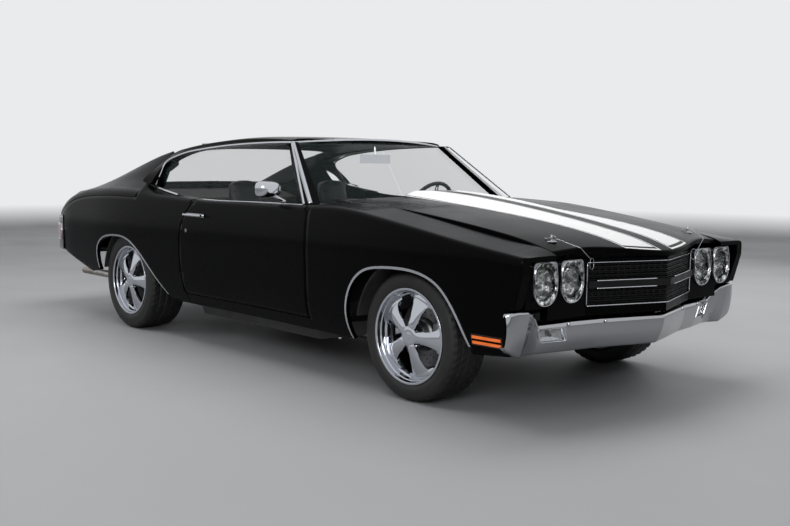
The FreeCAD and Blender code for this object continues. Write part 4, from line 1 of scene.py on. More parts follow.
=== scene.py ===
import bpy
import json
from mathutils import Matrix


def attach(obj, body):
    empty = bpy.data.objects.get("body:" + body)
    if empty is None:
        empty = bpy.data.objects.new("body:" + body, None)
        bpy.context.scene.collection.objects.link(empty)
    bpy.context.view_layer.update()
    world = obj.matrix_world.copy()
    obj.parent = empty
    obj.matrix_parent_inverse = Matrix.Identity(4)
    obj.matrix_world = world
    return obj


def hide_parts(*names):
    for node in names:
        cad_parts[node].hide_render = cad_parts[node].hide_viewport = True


bl_info = {
    "name": "Muscle Car Dresser",
    "version": (1, 0, 0),
    "blender": (4, 5, 0),
    "location": "3D View > Sidebar > Car",
    "description": "Builds the visible skins, glass, chrome, wheels and studio round the packed muscle car",
    "category": "Add Mesh",
}

import json
import math

import bmesh
import bpy
import numpy as np
from mathutils import Matrix, Vector

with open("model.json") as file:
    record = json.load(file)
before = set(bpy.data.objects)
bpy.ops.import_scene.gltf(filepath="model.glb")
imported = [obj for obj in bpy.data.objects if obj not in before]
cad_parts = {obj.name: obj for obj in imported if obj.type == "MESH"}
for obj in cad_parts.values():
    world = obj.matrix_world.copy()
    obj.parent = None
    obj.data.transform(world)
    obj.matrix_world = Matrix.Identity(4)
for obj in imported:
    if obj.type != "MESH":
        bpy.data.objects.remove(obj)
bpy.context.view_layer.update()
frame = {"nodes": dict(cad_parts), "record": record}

# Sizes of the body, in metres, the same as the solids have
HALF_LENGTH = 2.5045
HALF_WIDTH = 0.9575
HEIGHT = 1.338
FRONT_AXLE = 1.5995
REAR_AXLE = -1.2455
SHOULDER = 0.026
HOOD_HALF = 0.7
DECK_FRONT = -1.575
DECK_REAR = -2.392
DECK_LIP = 0.770
LIFT = 0.0009
LAMP_Z = 0.646
SAIL_X = -1.055
BUMPER_LEAN = 0.047
TAIL_X = -2.396
BELT_Y = 0.862
BELT_Z = 0.936
RAIL_GLASS_Y = 0.645
RAIL_Z = 1.290
HOOD_CORNER_X = 0.862
HOOD_MIDDLE_X = 0.905
BULGE_NOSE_X = 2.180
HEADER_X = 0.398
HEADER_END_X = 0.292
HEADER_HALF = 0.602
REAR_GLASS_X = -0.770
SKIRT_Z = 0.2622
GAP_HALF = 0.0038
SIDE_HEIGHT = 0.6
DECK_GAP = 0.0057
DECK_ROUND = 0.02
PARK_Y, PARK_Z = 0.642, 0.402
BOWL_RADIUS = 0.0715
OPENING_RADIUS = 0.0745
GRILLE_BAND_Z = 0.6235
SEAT_Y = 0.380
ORIGIN = (0, 0, 0)

# Rows of the trunk lid's skin, from its front, that are raised by LIFT; the last two are moved rearwards by it
LIFTED_ROWS = 90

# Shape tables in shares of the half length, the half width and the height: a place and the value there
WIDEST = (
    (-0.9742, 0.8961), (-0.9183, 0.9326), (-0.7986, 0.9671), (-0.6389, 0.9922), (-0.4971, 0.9995),
    (-0.3194, 0.9911), (-0.1597, 0.9817), (0.0799, 0.9723), (0.3194, 0.9828), (0.4991, 0.9932), (0.6389, 0.9963),
    (0.7986, 0.9901), (0.9183, 0.9755),
)
INSET = (
    (0.1495, 0.1003), (0.1958, 0.0668), (0.2466, 0.0334), (0.3027, 0.0136), (0.3587, 0.0063), (0.4484, 0.0016),
    (0.5717, 0), (0.6353, 0.0073), (0.6726, 0.0167), (0.7175, 0.0376),
)
SHOULDER_LINE = (
    (-0.9742, 0.583), (-0.9423, 0.607), (-0.9183, 0.6278), (-0.8465, 0.677), (-0.7986, 0.6973), (-0.6988, 0.713),
    (-0.6389, 0.716), (-0.4971, 0.7138), (-0.3594, 0.7063), (-0.1597, 0.6981), (0.0799, 0.6966),
    (0.3194, 0.7025), (0.436, 0.704), (0.5255, 0.6868), (0.6716, 0.6487), (0.803, 0.6114), (0.8924, 0.5882),
    (0.9503, 0.5755),
)
HOOD_EDGE = (
    (0.3394, 0.722), (0.4452, 0.7138), (0.6229, 0.6839), (0.7886, 0.6435), (0.8904, 0.6069), (0.9303, 0.5852),
)
HOOD_CENTRE = (
    (0.3394, 0.7354), (0.4452, 0.7265), (0.6229, 0.6988), (0.7886, 0.6637), (0.8904, 0.6323), (0.9583, 0.5994),
    (0.9982, 0.571),
)
HOOD_NOSE = (
    (0, 0.995), (0.1525, 0.9806), (0.3133, 0.9583), (0.471, 0.9407), (0.5849, 0.9343), (0.7311, 0.9295),
)
SILL = (
    (-0.4212, 0.7743), (-0.3817, 0.7564), (-0.3406, 0.7369), (-0.2444, 0.7138), (-0.1517, 0.701),
    (0.0799, 0.6996), (0.2995, 0.701),
)
ROOF = (
    (-0.4971, 0.8939), (-0.4212, 0.932), (-0.3434, 0.9596), (-0.2396, 0.9806), (-0.1198, 0.9955), (-0.024, 1),
    (0.0599, 0.997), (0.1198, 0.9903), (0.1677, 0.9813),
)
RAIL_Y = (
    (-0.4971, 0.6977), (-0.4212, 0.6977), (-0.3434, 0.6935), (-0.1996, 0.6851), (-0.0399, 0.6809),
    (0.1677, 0.6726),
)
CREST_Z = (
    (-0.9663, 0.6913), (-0.9183, 0.701), (-0.7986, 0.7399), (-0.7187, 0.7818), (-0.6389, 0.8266),
    (-0.5482, 0.8744), (-0.4791, 0.9058), (-0.4212, 0.9268),
)
CREST_Y = (
    (-0.9663, 0.7311), (-0.7986, 0.7206), (-0.6389, 0.6893), (-0.5482, 0.6768), (-0.4212, 0.6684),
)
SAIL_INNER = (
    (-0.9663, 0.6841), (-0.7986, 0.6841), (-0.6788, 0.6684), (-0.5482, 0.6392), (-0.4212, 0.6266),
)
DECK_EDGE = (
    (-0.9663, 0.6861), (-0.9183, 0.701), (-0.7986, 0.7294), (-0.6788, 0.7504), (-0.5989, 0.7608),
    (-0.5482, 0.7818), (-0.4212, 0.8714),
)
FRONT_ARCH = (
    (0.4839, 0.1495), (0.4775, 0.2466), (0.4791, 0.3326), (0.5003, 0.42), (0.537, 0.4709), (0.5869, 0.4895),
    (0.6404, 0.494), (0.6947, 0.4858), (0.7427, 0.4522), (0.7786, 0.3849), (0.8065, 0.299), (0.8325, 0.1794),
)
REAR_ARCH = (
    (-0.6229, 0.2466), (-0.642, 0.3288), (-0.6436, 0.4036), (-0.6129, 0.4559), (-0.559, 0.4791),
    (-0.5071, 0.4828), (-0.4592, 0.4709), (-0.3993, 0.4163), (-0.3394, 0.3333), (-0.2795, 0.2354),
    (-0.2476, 0.1644),
)
DOOR_REAR = (
    (-0.127, 0.7474), (-0.1318, 0.6951), (-0.1485, 0.6577), (-0.1757, 0.5904), (-0.1861, 0.5232),
    (-0.1893, 0.4185), (-0.1829, 0.3288), (-0.1741, 0.2242),
)
WINDOW_LOW = (
    (0.2987, 0.701), (-0.1517, 0.701), (-0.2444, 0.7138), (-0.3406, 0.7369), (-0.3817, 0.7564),
)
WINDOW_REAR = (
    (-0.3817, 0.7564), (-0.3893, 0.8102), (-0.3945, 0.858), (-0.3825, 0.8834),
)
WINDOW_TOP = (
    (-0.3825, 0.8834), (-0.3514, 0.9021), (-0.3058, 0.9215), (-0.2408, 0.9357), (-0.1757, 0.9462),
    (-0.0998, 0.9552), (-0.0188, 0.9611), (0.0599, 0.9641), (0.1374, 0.9641),
)


def spline(pairs, along=HALF_LENGTH, up=1.0):
    """Natural cubic spline through scaled pairs, as a function of whole arrays, straight beyond both ends."""
    xs, ys = (np.array(sorted(map(tuple, pairs)), float) * (along, up)).T
    step = np.diff(xs)
    count = len(xs)
    system = np.eye(count)
    right = np.zeros(count)
    inner = np.arange(1, count - 1)
    system[inner, inner - 1] = step[:-1]
    system[inner, inner] = 2 * (step[:-1] + step[1:])
    system[inner, inner + 1] = step[1:]
    right[1:-1] = 6 * np.diff(np.diff(ys) / step)
    bend = np.linalg.solve(system, right)

    def value(x):
        x = np.asarray(x, float)
        held = np.clip(x, xs[0], xs[-1])
        i = np.clip(np.searchsorted(xs, held) - 1, 0, count - 2)
        a = (xs[i + 1] - held) / step[i]
        b = 1 - a
        y = a * ys[i] + b * ys[i + 1] + ((a ** 3 - a) * bend[i] + (b ** 3 - b) * bend[i + 1]) * step[i] ** 2 / 6
        turn = (3 * b * b - 1) * bend[i + 1] - (3 * a * a - 1) * bend[i]
        slope = (ys[i + 1] - ys[i]) / step[i] + turn * step[i] / 6
        return y + slope * (x - held)

    return value


widest = spline(WIDEST, up=HALF_WIDTH)
inset = spline(INSET, HEIGHT, HALF_WIDTH)
shoulder = spline(SHOULDER_LINE, up=HEIGHT)
hood_edge = spline(HOOD_EDGE, up=HEIGHT)
hood_centre = spline(HOOD_CENTRE, up=HEIGHT)
hood_nose = spline(HOOD_NOSE, HALF_WIDTH, HALF_LENGTH)
sill = spline(SILL, up=HEIGHT)
roof_top = spline(ROOF, up=HEIGHT)
rail_y = spline(RAIL_Y, up=HALF_WIDTH)
crest_z = spline(CREST_Z, up=HEIGHT)
crest_y = spline(CREST_Y, up=HALF_WIDTH)
sail_inner = spline(SAIL_INNER, up=HALF_WIDTH)
deck_edge = spline(DECK_EDGE, up=HEIGHT)


def side_y(x, z):
    """Half-width of the outer skin: the plan curve less the tuck at that height."""
    return widest(x) - inset(z)


def run_length(path):
    """Distance along a path at each of its points."""
    return np.concatenate([[0], np.cumsum(np.linalg.norm(np.diff(path, axis=0), axis=1))])


def smooth_path(points, count):
    """Evenly spaced points along a Catmull-Rom curve through the given points."""
    p = np.array(points, float)
    p = np.vstack([2 * p[0] - p[1], p, 2 * p[-1] - p[-2]])
    t = np.linspace(0, len(p) - 3, count * 4)
    i = np.minimum(t.astype(int), len(p) - 4)
    f = (t - i)[:, None]
    a, b, c, d = p[i], p[i + 1], p[i + 2], p[i + 3]
    out = 0.5 * (2 * b + (c - a) * f + (2 * a - 5 * b + 4 * c - d) * f * f + (3 * b - a - 3 * c + d) * f ** 3)
    run = run_length(out)
    even = np.linspace(0, run[-1], count)
    return np.stack([np.interp(even, run, out[:, k]) for k in range(out.shape[1])], 1)


def quadratic(a, b, c, t):
    """Bend from a to c by the quadratic weights of t, leaving and arriving along the lines to b."""
    return (1 - t) ** 2 * a + 2 * t * (1 - t) * b + t * t * c


def filled_loop(corners, count):
    """Straight sides of a closed loop, each cut into the given count of steps."""
    share = np.linspace(0, 1, count, endpoint=False)[:, None]
    return np.vstack([a + (b - a) * share for a, b in zip(corners, np.roll(corners, -1, 0))])


def stacked(*axes):
    """Points from one array or number for each axis."""
    return np.stack(np.broadcast_arrays(*axes), -1)


# Meshes

def put_mesh(name, verts, faces, material=None):
    """Smooth-shaded mesh object in the scene."""
    mesh = bpy.data.meshes.new(name)
    mesh.from_pydata(verts.tolist(), [], faces.tolist())
    mesh.polygons.foreach_set("use_smooth", np.ones(len(mesh.polygons), bool))
    mesh.update()
    piece = bpy.data.objects.new(name, mesh)
    bpy.context.scene.collection.objects.link(piece)
    if material:
        mesh.materials.append(material)
    return piece


def grid_quads(rows, columns, close_u=False, close_v=False):
    """Quads of a rows by columns grid of vertices, wrapped round either way where asked."""
    i = np.arange(rows if close_u else rows - 1)
    j = np.arange(columns if close_v else columns - 1)
    i, j = [a.ravel() for a in np.meshgrid(i, j, indexing="ij")]
    i2 = (i + 1) % rows
    j2 = (j + 1) % columns
    return np.stack([i * columns + j, i2 * columns + j, i2 * columns + j2, i * columns + j2], 1)


def surface(grid, close_u=False, close_v=False):
    """Vertices and quads of a grid of points, wrapped round either way where asked."""
    return grid.reshape(-1, 3), grid_quads(*grid.shape[:2], close_u, close_v)


def inside(points, loop):
    """True where a 2-D point lies in the closed loop, by the even-odd rule."""
    a = loop
    b = np.roll(loop, -1, axis=0)
    y = points[:, 1:2]
    crosses = (a[:, 1] > y) != (b[:, 1] > y)
    rise = np.where(np.abs(b[:, 1] - a[:, 1]) < 1e-12, 1e-12, b[:, 1] - a[:, 1])
    at = a[:, 0] + (y - a[:, 1]) / rise * (b[:, 0] - a[:, 0])
    return (np.sum(crosses & (points[:, :1] < at), axis=1) % 2) == 1


def nearest_on(points, loop):
    """Nearest place on the closed loop to each 2-D point."""
    a = loop[None]
    d = np.roll(loop, -1, axis=0)[None] - a
    t = np.clip(np.sum((points[:, None] - a) * d, 2) / np.maximum(np.sum(d * d, 2), 1e-15), 0, 1)
    foot = a + t[..., None] * d
    best = np.argmin(np.sum((points[:, None] - foot) ** 2, 2), 1)
    return foot[np.arange(len(points)), best]


def trim(flat, quads, loops, keep_inside):
    """Cuts a grid laid out in 2-D to loops: quads wholly outside go, and loose corners slide to the loop's edge."""
    flat = flat.copy()
    for loop, keep in zip(loops, keep_inside):
        good = inside(flat, loop) == keep
        used = good[quads].any(1)
        quads = quads[used]
        moved = np.unique(quads[~good[quads]])
        if len(moved):
            flat[moved] = nearest_on(flat[moved], loop)
    area = flat[quads]
    cross = np.abs(np.cross(area[:, 2] - area[:, 0], area[:, 3] - area[:, 1]))
    quads = quads[cross > 1e-9]
    return flat, quads


def compact(verts, faces):
    """Leaves out the vertices that no face uses."""
    used = np.unique(faces)
    index = np.full(len(verts), -1)
    index[used] = np.arange(len(used))
    return verts[used], index[faces]


def faced_out(verts, faces):
    """Turns a sheet round where most of its area looks towards the middle of the car."""
    corners = verts[faces]
    normal = np.cross(corners[:, 2] - corners[:, 0], corners[:, 3] - corners[:, 1])
    away = corners.mean(1) - (0, 0, 0.5)
    return faces if np.sum(normal * away) > 0 else faces[:, ::-1]


def thicken(piece, merge, wall):
    """Merges corners closer than a distance and gives the sheet its wall on the inner side."""
    weld = piece.modifiers.new("weld", "WELD")
    weld.merge_threshold = merge
    solid = piece.modifiers.new("wall", "SOLIDIFY")
    solid.thickness = wall
    solid.offset = -1
    apply_modifiers(piece)


def finish_skin(piece, body):
    """Merges the joints of a painted skin, gives it its wall and hangs it on its body."""
    thicken(piece, 0.0002, OPTIONS["skin"])
    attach(piece, body)


def apply_modifiers(piece):
    """Turns the evaluated mesh into the piece's own."""
    bpy.context.view_layer.update()
    mesh = bpy.data.meshes.new_from_object(piece.evaluated_get(bpy.context.evaluated_depsgraph_get()))
    piece.modifiers.clear()
    old = piece.data
    piece.data = mesh
    bpy.data.meshes.remove(old)


def joined_arrays(parts):
    """Several surfaces as one pair of arrays."""
    verts, faces, base = [], [], 0
    for v, f in parts:
        verts.append(v.reshape(-1, 3))
        faces.append(f + base)
        base += len(verts[-1])
    return np.vstack(verts), np.vstack(faces)


def mirrored(verts, faces):
    """The surface on the other side of the car, its faces turned to match."""
    return verts * (1, -1, 1), faces[:, ::-1]


# Materials

def shader(name, base, rough=0.5, metal=0.0, **sockets):
    """Fresh material with one Principled shader: gives back the material, its nodes, its links and the shader."""
    mat = bpy.data.materials.new(name)
    mat.use_nodes = True
    tree = mat.node_tree
    bsdf = tree.nodes["Principled BSDF"]
    bsdf.inputs["Base Color"].default_value = (*base, 1)
    bsdf.inputs["Roughness"].default_value = rough
    bsdf.inputs["Metallic"].default_value = metal
    for key, value in sockets.items():
        bsdf.inputs[key.replace("_", " ")].default_value = value
    mat.diffuse_color = (*base, 1)
    return mat, tree.nodes, tree.links, bsdf


def object_coordinates(nodes, links, scale=(1, 1, 1)):
    """Place on the object, in metres, scaled along each axis."""
    place = nodes.new("ShaderNodeTexCoord")
    mapping = nodes.new("ShaderNodeMapping")
    mapping.inputs["Scale"].default_value = scale
    links.new(place.outputs["Object"], mapping.inputs["Vector"])
    return mapping.outputs["Vector"]


def noise(nodes, links, vector, scale, detail=3.0, rough=0.5):
    """Noise texture's value at the vector."""
    tex = nodes.new("ShaderNodeTexNoise")
    tex.inputs["Scale"].default_value = scale
    tex.inputs["Detail"].default_value = detail
    tex.inputs["Roughness"].default_value = rough
    links.new(vector, tex.inputs["Vector"])
    return tex.outputs["Fac"]


def ranged(nodes, links, value, low, high, out_low, out_high):
    """Value carried from one range to another and held at its ends."""
    node = nodes.new("ShaderNodeMapRange")
    for key, number in (("From Min", low), ("From Max", high), ("To Min", out_low), ("To Max", out_high)):
        node.inputs[key].default_value = number
    links.new(value, node.inputs["Value"])
    return node.outputs["Result"]


def maths(nodes, links, kind, a, b=0.0):
    """One operation on two sockets or numbers."""
    node = nodes.new("ShaderNodeMath")
    node.operation = kind
    for socket, value in zip(node.inputs, (a, b)):
        if isinstance(value, (int, float)):
            socket.default_value = value
        else:
            links.new(value, socket)
    return node.outputs[0]


def mixed_colour(nodes, links, factor, a, b):
    """Mix of two colours or sockets by a factor."""
    node = nodes.new("ShaderNodeMix")
    node.data_type = "RGBA"
    for socket, value in ((node.inputs["Factor"], factor), (node.inputs[6], a), (node.inputs[7], b)):
        if isinstance(value, tuple):
            socket.default_value = (*value, 1)
        else:
            links.new(value, socket)
    return node.outputs[2]


def bump(nodes, links, bsdf, height, strength, distance):
    """Joins a height to the shader's normal."""
    node = nodes.new("ShaderNodeBump")
    node.inputs["Strength"].default_value = strength
    node.inputs["Distance"].default_value = distance
    links.new(height, node.inputs["Height"])
    links.new(node.outputs["Normal"], bsdf.inputs["Normal"])


def paint_material(name, base, stripes=False):
    """Gloss enamel under clear coat with a faint orange peel. Stripes are bands by the distance from the middle of
    the car, ended by the distance behind the panel's front edge, which the mesh carries as an attribute."""
    mat, nodes, links, bsdf = shader(name, base, 0.3, Coat_Weight=OPTIONS["coat"], Coat_Roughness=0.02, Coat_IOR=1.22,
                                     Specular_IOR_Level=0.025)
    vector = object_coordinates(nodes, links)
    peel = noise(nodes, links, vector, 160.0, 2.0)
    bump(nodes, links, bsdf, peel, 0.03, 0.0004)
    dust = noise(nodes, links, vector, 3.5, 4.0)
    links.new(ranged(nodes, links, dust, 0.3, 0.7, 0.24, 0.32), bsdf.inputs["Roughness"])
    if stripes:
        parts = nodes.new("ShaderNodeSeparateXYZ")
        links.new(vector, parts.inputs["Vector"])
        across = maths(nodes, links, "ABSOLUTE", parts.outputs["Y"])
        behind = nodes.new("ShaderNodeAttribute")
        behind.attribute_name = "behind_edge"
        total = None
        for low, high, near, far in STRIPES:
            band = None
            for value, least, most in ((across, low, high), (behind.outputs["Fac"], near, far)):
                for kind, limit in (("GREATER_THAN", least), ("LESS_THAN", most)):
                    side = maths(nodes, links, kind, value, limit)
                    band = side if band is None else maths(nodes, links, "MULTIPLY", band, side)
            total = band if total is None else maths(nodes, links, "MAXIMUM", total, band)
        links.new(mixed_colour(nodes, links, total, base, OPTIONS["stripe"]), bsdf.inputs["Base Color"])
    return mat


def chrome_material(name, tint=(0.56, 0.575, 0.60), rough=0.04):
    """Bright plate with the slight haze that polish leaves."""
    mat, nodes, links, bsdf = shader(name, tint, rough, 1.0)
    haze = noise(nodes, links, object_coordinates(nodes, links), 14.0, 5.0)
    links.new(ranged(nodes, links, haze, 0.35, 0.7, rough, rough + 0.06), bsdf.inputs["Roughness"])
    return mat


def faceted_painted_reflection_material(name, dark, light):
    """Cut and polished reflector with painted reflection: small cells whose colour is painted dark or bright to stand
    for the dark room or the bright wall that they would throw back.
    """
    mat, nodes, links, bsdf = shader(name, light, 0.08, 1.0)
    vector = object_coordinates(nodes, links)
    cells = nodes.new("ShaderNodeTexVoronoi")
    cells.inputs["Scale"].default_value = 62.0
    links.new(vector, cells.inputs["Vector"])
    streaks = noise(nodes, links, vector, 34.0, 2.0)
    # painted reflection: the colour mixes dark and bright by cells and streaks, standing for the room and the wall that
    # the reflector sees
    tone = maths(nodes, links, "MULTIPLY", ranged(nodes, links, cells.outputs["Distance"], 0.1, 0.7, 0.15, 1.0),
                 ranged(nodes, links, streaks, 0.40, 0.62, 0.0, 1.0))
    links.new(mixed_colour(nodes, links, tone, dark, light), bsdf.inputs["Base Color"])
    bump(nodes, links, bsdf, cells.outputs["Distance"], 0.5, 0.002)
    return mat


def worn_material(name, base, other, rough=0.6, metal=0.0, scale=9.0, depth=0.0008, grain=220.0, level=0.5):
    """Uneven two-tone surface with a fine grain, for cast iron, undercoat, vinyl and plastic."""
    mat, nodes, links, bsdf = shader(name, base, rough, metal, Specular_IOR_Level=level)
    vector = object_coordinates(nodes, links)
    patches = noise(nodes, links, vector, scale, 5.0)
    tone = ranged(nodes, links, patches, 0.35, 0.65, 0.0, 1.0)
    links.new(mixed_colour(nodes, links, tone, base, other), bsdf.inputs["Base Color"])
    links.new(ranged(nodes, links, patches, 0.3, 0.7, rough - 0.08, rough + 0.08), bsdf.inputs["Roughness"])
    bump(nodes, links, bsdf, noise(nodes, links, vector, grain, 3.0), 0.4, depth)
    return mat


def glass_material(name, tint, alpha):
    """Thin tinted pane: mostly clear, with the pane's own gloss."""
    mat, nodes, links, bsdf = shader(name, tint, 0.02, Alpha=alpha, Coat_Weight=0.25, Coat_Roughness=0.02)
    streaks = noise(nodes, links, object_coordinates(nodes, links, (1, 1, 3)), 5.0, 3.0)
    links.new(ranged(nodes, links, streaks, 0.3, 0.7, 0.010, 0.03), bsdf.inputs["Roughness"])
    mat.surface_render_method = "BLENDED"
    return mat


def lens_material(name, tint, alpha, ribs, strength=0.0):
    """Moulded lens whose upright flutes run round the pattern in the glass."""
    mat, nodes, links, bsdf = shader(name, tint, 0.06, Alpha=alpha, Coat_Weight=0.8, Coat_Roughness=0.02)
    vector = object_coordinates(nodes, links)
    wave = nodes.new("ShaderNodeTexWave")
    wave.bands_direction = "Y"
    wave.inputs["Scale"].default_value = ribs
    wave.inputs["Distortion"].default_value = 0.6
    links.new(vector, wave.inputs["Vector"])
    bump(nodes, links, bsdf, wave.outputs["Fac"], 0.7, 0.003)
    if strength:
        bsdf.inputs["Emission Color"].default_value = (*tint, 1)
        bsdf.inputs["Emission Strength"].default_value = strength
    return mat


def rubber_material(name):
    """Dark rubber with a dusty bloom and fine moulding rings on the wall."""
    mat, nodes, links, bsdf = shader(name, (0.009, 0.009, 0.0095), 0.62)
    vector = object_coordinates(nodes, links)
    bloom = noise(nodes, links, vector, 24.0, 6.0)
    dusty = ranged(nodes, links, bloom, 0.4, 0.75, 0.0, 1.0)
    links.new(mixed_colour(nodes, links, dusty, (0.007, 0.007, 0.0075), (0.017, 0.0165, 0.016)),
              bsdf.inputs["Base Color"])
    links.new(ranged(nodes, links, bloom, 0.3, 0.7, 0.5, 0.72), bsdf.inputs["Roughness"])
    bump(nodes, links, bsdf, noise(nodes, links, vector, 500.0, 2.0), 0.25, 0.0004)
    return mat


STRIPES = (
    (0.062, 0.250, 0.046, 9.0), (0.2575, 0.2650, 0.014, 9.0), (0.0465, 0.0540, 0.014, 9.0),
    (0.0465, 0.2650, 0.014, 0.027),
)
OPTIONS = {"paint": (0.0012, 0.0012, 0.0015), "stripe": (0.80, 0.80, 0.81), "coat": 0.14, "skin": 0.0016}
CHROMES = {
    "chrome": {},
    # bumper_chrome is a darker copy of chrome: painted shade for the dark floor and room that the bumpers reflect
    "bumper_chrome": dict(tint=(0.41, 0.418, 0.432)),
    "bright_silver": dict(tint=(0.62, 0.63, 0.65), rough=0.16),
    "mirror_glass": dict(tint=(0.75, 0.77, 0.8), rough=0.02),
    "wheel_chrome": dict(tint=(0.52, 0.54, 0.58), rough=0.035),
}
WORN = {
    "chassis_black": dict(base=(0.012, 0.012, 0.012), other=(0.022, 0.021, 0.02), rough=0.55),
    "floor_black": dict(base=(0.014, 0.014, 0.014), other=(0.03, 0.028, 0.026), rough=0.85, grain=90.0, depth=0.002),
    "worn_chrome": dict(base=(0.62, 0.63, 0.65), other=(0.40, 0.40, 0.42), rough=0.30, metal=1.0, scale=60.0,
                        depth=0.0002),
    "wiper_metal": dict(base=(0.03, 0.03, 0.032), other=(0.05, 0.05, 0.052), rough=0.42, metal=0.3, scale=40.0,
                        depth=0.0002),
    "rotor_steel": dict(base=(0.20, 0.20, 0.21), other=(0.13, 0.13, 0.13), rough=0.42, metal=1.0, depth=0.0003),
    "caliper_silver": dict(base=(0.55, 0.56, 0.58), other=(0.42, 0.43, 0.45), rough=0.35, metal=0.7, scale=30.0,
                           depth=0.0003),
    "grille_black": dict(base=(0.005, 0.005, 0.0055), other=(0.009, 0.009, 0.0095), rough=0.42, level=0.18),
    "black_vinyl": dict(base=(0.013, 0.013, 0.014), other=(0.022, 0.022, 0.023), rough=0.46, grain=420.0,
                        depth=0.0007),
    "dash_black": dict(base=(0.014, 0.014, 0.015), other=(0.024, 0.024, 0.025), rough=0.6, grain=350.0,
                       depth=0.0006),
    "wheel_black": dict(base=(0.013, 0.013, 0.014), other=(0.017, 0.017, 0.018), rough=0.32),
    "engine_iron": dict(base=(0.09, 0.035, 0.02), other=(0.05, 0.03, 0.025), rough=0.55, metal=0.2),
    "radiator_metal": dict(base=(0.02, 0.02, 0.02), other=(0.05, 0.05, 0.05), rough=0.5, metal=0.4),
    "axle_iron": dict(base=(0.02, 0.02, 0.02), other=(0.045, 0.04, 0.035), rough=0.6, metal=0.4),
    "exhaust_steel": dict(base=(0.42, 0.41, 0.4), other=(0.25, 0.22, 0.19), rough=0.32, metal=1.0, depth=0.0004),
    "tank_steel": dict(base=(0.2, 0.2, 0.2), other=(0.12, 0.12, 0.12), rough=0.45, metal=0.8),
    "knuckle_iron": dict(base=(0.42, 0.42, 0.43), other=(0.3, 0.3, 0.3), rough=0.4, metal=0.8, depth=0.0005),
}
LENSES = {
    "clear_lens": dict(tint=(0.40, 0.43, 0.42), alpha=0.14, ribs=70.0),
    "red_lens": dict(tint=(0.20, 0.002, 0.003), alpha=0.96, ribs=40.0, strength=0.12),
    "amber_lens": dict(tint=(0.9, 0.16, 0.01), alpha=1.0, ribs=60.0, strength=0.25),
}
MATERIALS = {}


def make_materials():
    """Makes every finish and keeps it by its name."""
    for kind, table in ((chrome_material, CHROMES), (worn_material, WORN), (lens_material, LENSES)):
        for name, values in table.items():
            MATERIALS[name] = kind(name, **values)
    MATERIALS.update(
        body_paint=paint_material("body_paint", OPTIONS["paint"]),
        striped_paint=paint_material("striped_paint", OPTIONS["paint"], True),
        tinted_glass=glass_material("tinted_glass", (0.010, 0.030, 0.028), 0.09),
        # lamp_silver carries a painted reflection of the dark room and the bright wall
        lamp_silver=faceted_painted_reflection_material("lamp_silver", (0.035, 0.037, 0.036), (0.90, 0.92, 0.90)),
        tyre=rubber_material("tyre"),
    )


def dress_nodes():
    """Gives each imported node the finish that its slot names."""
    slots = {s["node"]: s["material_slot"] for s in frame["record"]["subparts"]}
    for name, node in frame["nodes"].items():
        mat = MATERIALS[slots[name]]
        if node.data.materials:
            for i in range(len(node.data.materials)):
                node.data.materials[i] = mat
        else:
            node.data.materials.append(mat)


# Body skins

CELL = 0.021


def steps(low, high, cell=CELL):
    """Even places from low to high, about a cell apart."""
    return np.linspace(low, high, max(2, int(round(abs(high - low) / cell)) + 1))


def arch_loop(shares):
    """Wheel arch as a closed loop that runs well below the body."""
    path = smooth_path(np.array(shares) * (HALF_LENGTH, HEIGHT), 90)
    return np.vstack([path, [path[-1, 0], -0.5], [path[0, 0], -0.5]])


def door_gap(shift):
    """Line of the gap behind the door, moved lengthwise."""
    path = smooth_path(np.array(DOOR_REAR) * (HALF_LENGTH, HEIGHT), 60)
    return path + (shift, 0)


def lower_side(xs, start, low, loops, keep):
    """Side below the shoulder: y is the plan half-width less the tuck at each height, on a grid that is sheared to the
    start of the shoulder and trimmed to the loops."""
    t = steps(0, 1, CELL / SIDE_HEIGHT)
    z = low + (start - low)[:, None] * t[None]
    flat = np.stack([np.repeat(xs[:, None], len(t), 1).ravel(), z.ravel()], 1)
    flat, quads = trim(flat, grid_quads(len(xs), len(t)), loops, keep)
    return compact(np.stack([flat[:, 0], side_y(flat[:, 0], flat[:, 1]) + LIFT, flat[:, 1]], 1), quads)


def side_skin(x0, x1, low, loops, keep, top_y, top_z):
    """Side panel skin. Above the lower side, a quadratic bend of the shoulder's radius and a straight strip run in to
    the line (top_y, top_z)."""
    xs = steps(x0, x1)
    peak = shoulder(xs)
    start = peak - SHOULDER
    lower = lower_side(xs, start, low, loops, keep)
    corner = np.stack([xs, side_y(xs, peak), peak], 1)
    edge = np.stack([xs, top_y(xs), top_z(xs)], 1)
    reach = edge - corner
    reach *= SHOULDER / np.linalg.norm(reach, axis=1, keepdims=True)
    first = np.stack([xs, side_y(xs, start), start], 1)
    s = np.linspace(0, 1, 9)[None, :, None]
    bend = quadratic(first[:, None], corner[:, None], (corner + reach)[:, None], s)
    f = np.linspace(0, 1, 12)[None, 1:, None]
    strip = (corner + reach)[:, None] * (1 - f) + edge[:, None] * f
    upper = np.concatenate([bend, strip], 1)
    push = np.linspace(0, 1, upper.shape[1])[None, :]
    upper[..., 1] += LIFT * (1 - push)
    upper[..., 2] += LIFT * push
    inside_x = np.ones(len(xs), bool)
    for loop, kept in zip(loops, keep):
        probe = np.stack([xs, start - 1e-4], 1)
        inside_x &= inside(probe, loop) == kept
    verts, quads = surface(upper)
    return joined_arrays([lower, compact(verts, quads[inside_x[quads // upper.shape[1]].all(1)])])


def both_sides(name, arrays, bodies):
    """Painted skin on the left and its mirror image on the right, each on its own body."""
    for side, (verts, faces) in (("left", arrays), ("right", mirrored(*arrays))):
        piece = put_mesh(f"{name}_{side}", verts, faced_out(verts, faces), MATERIALS["body_paint"])
        finish_skin(piece, bodies.format(side))


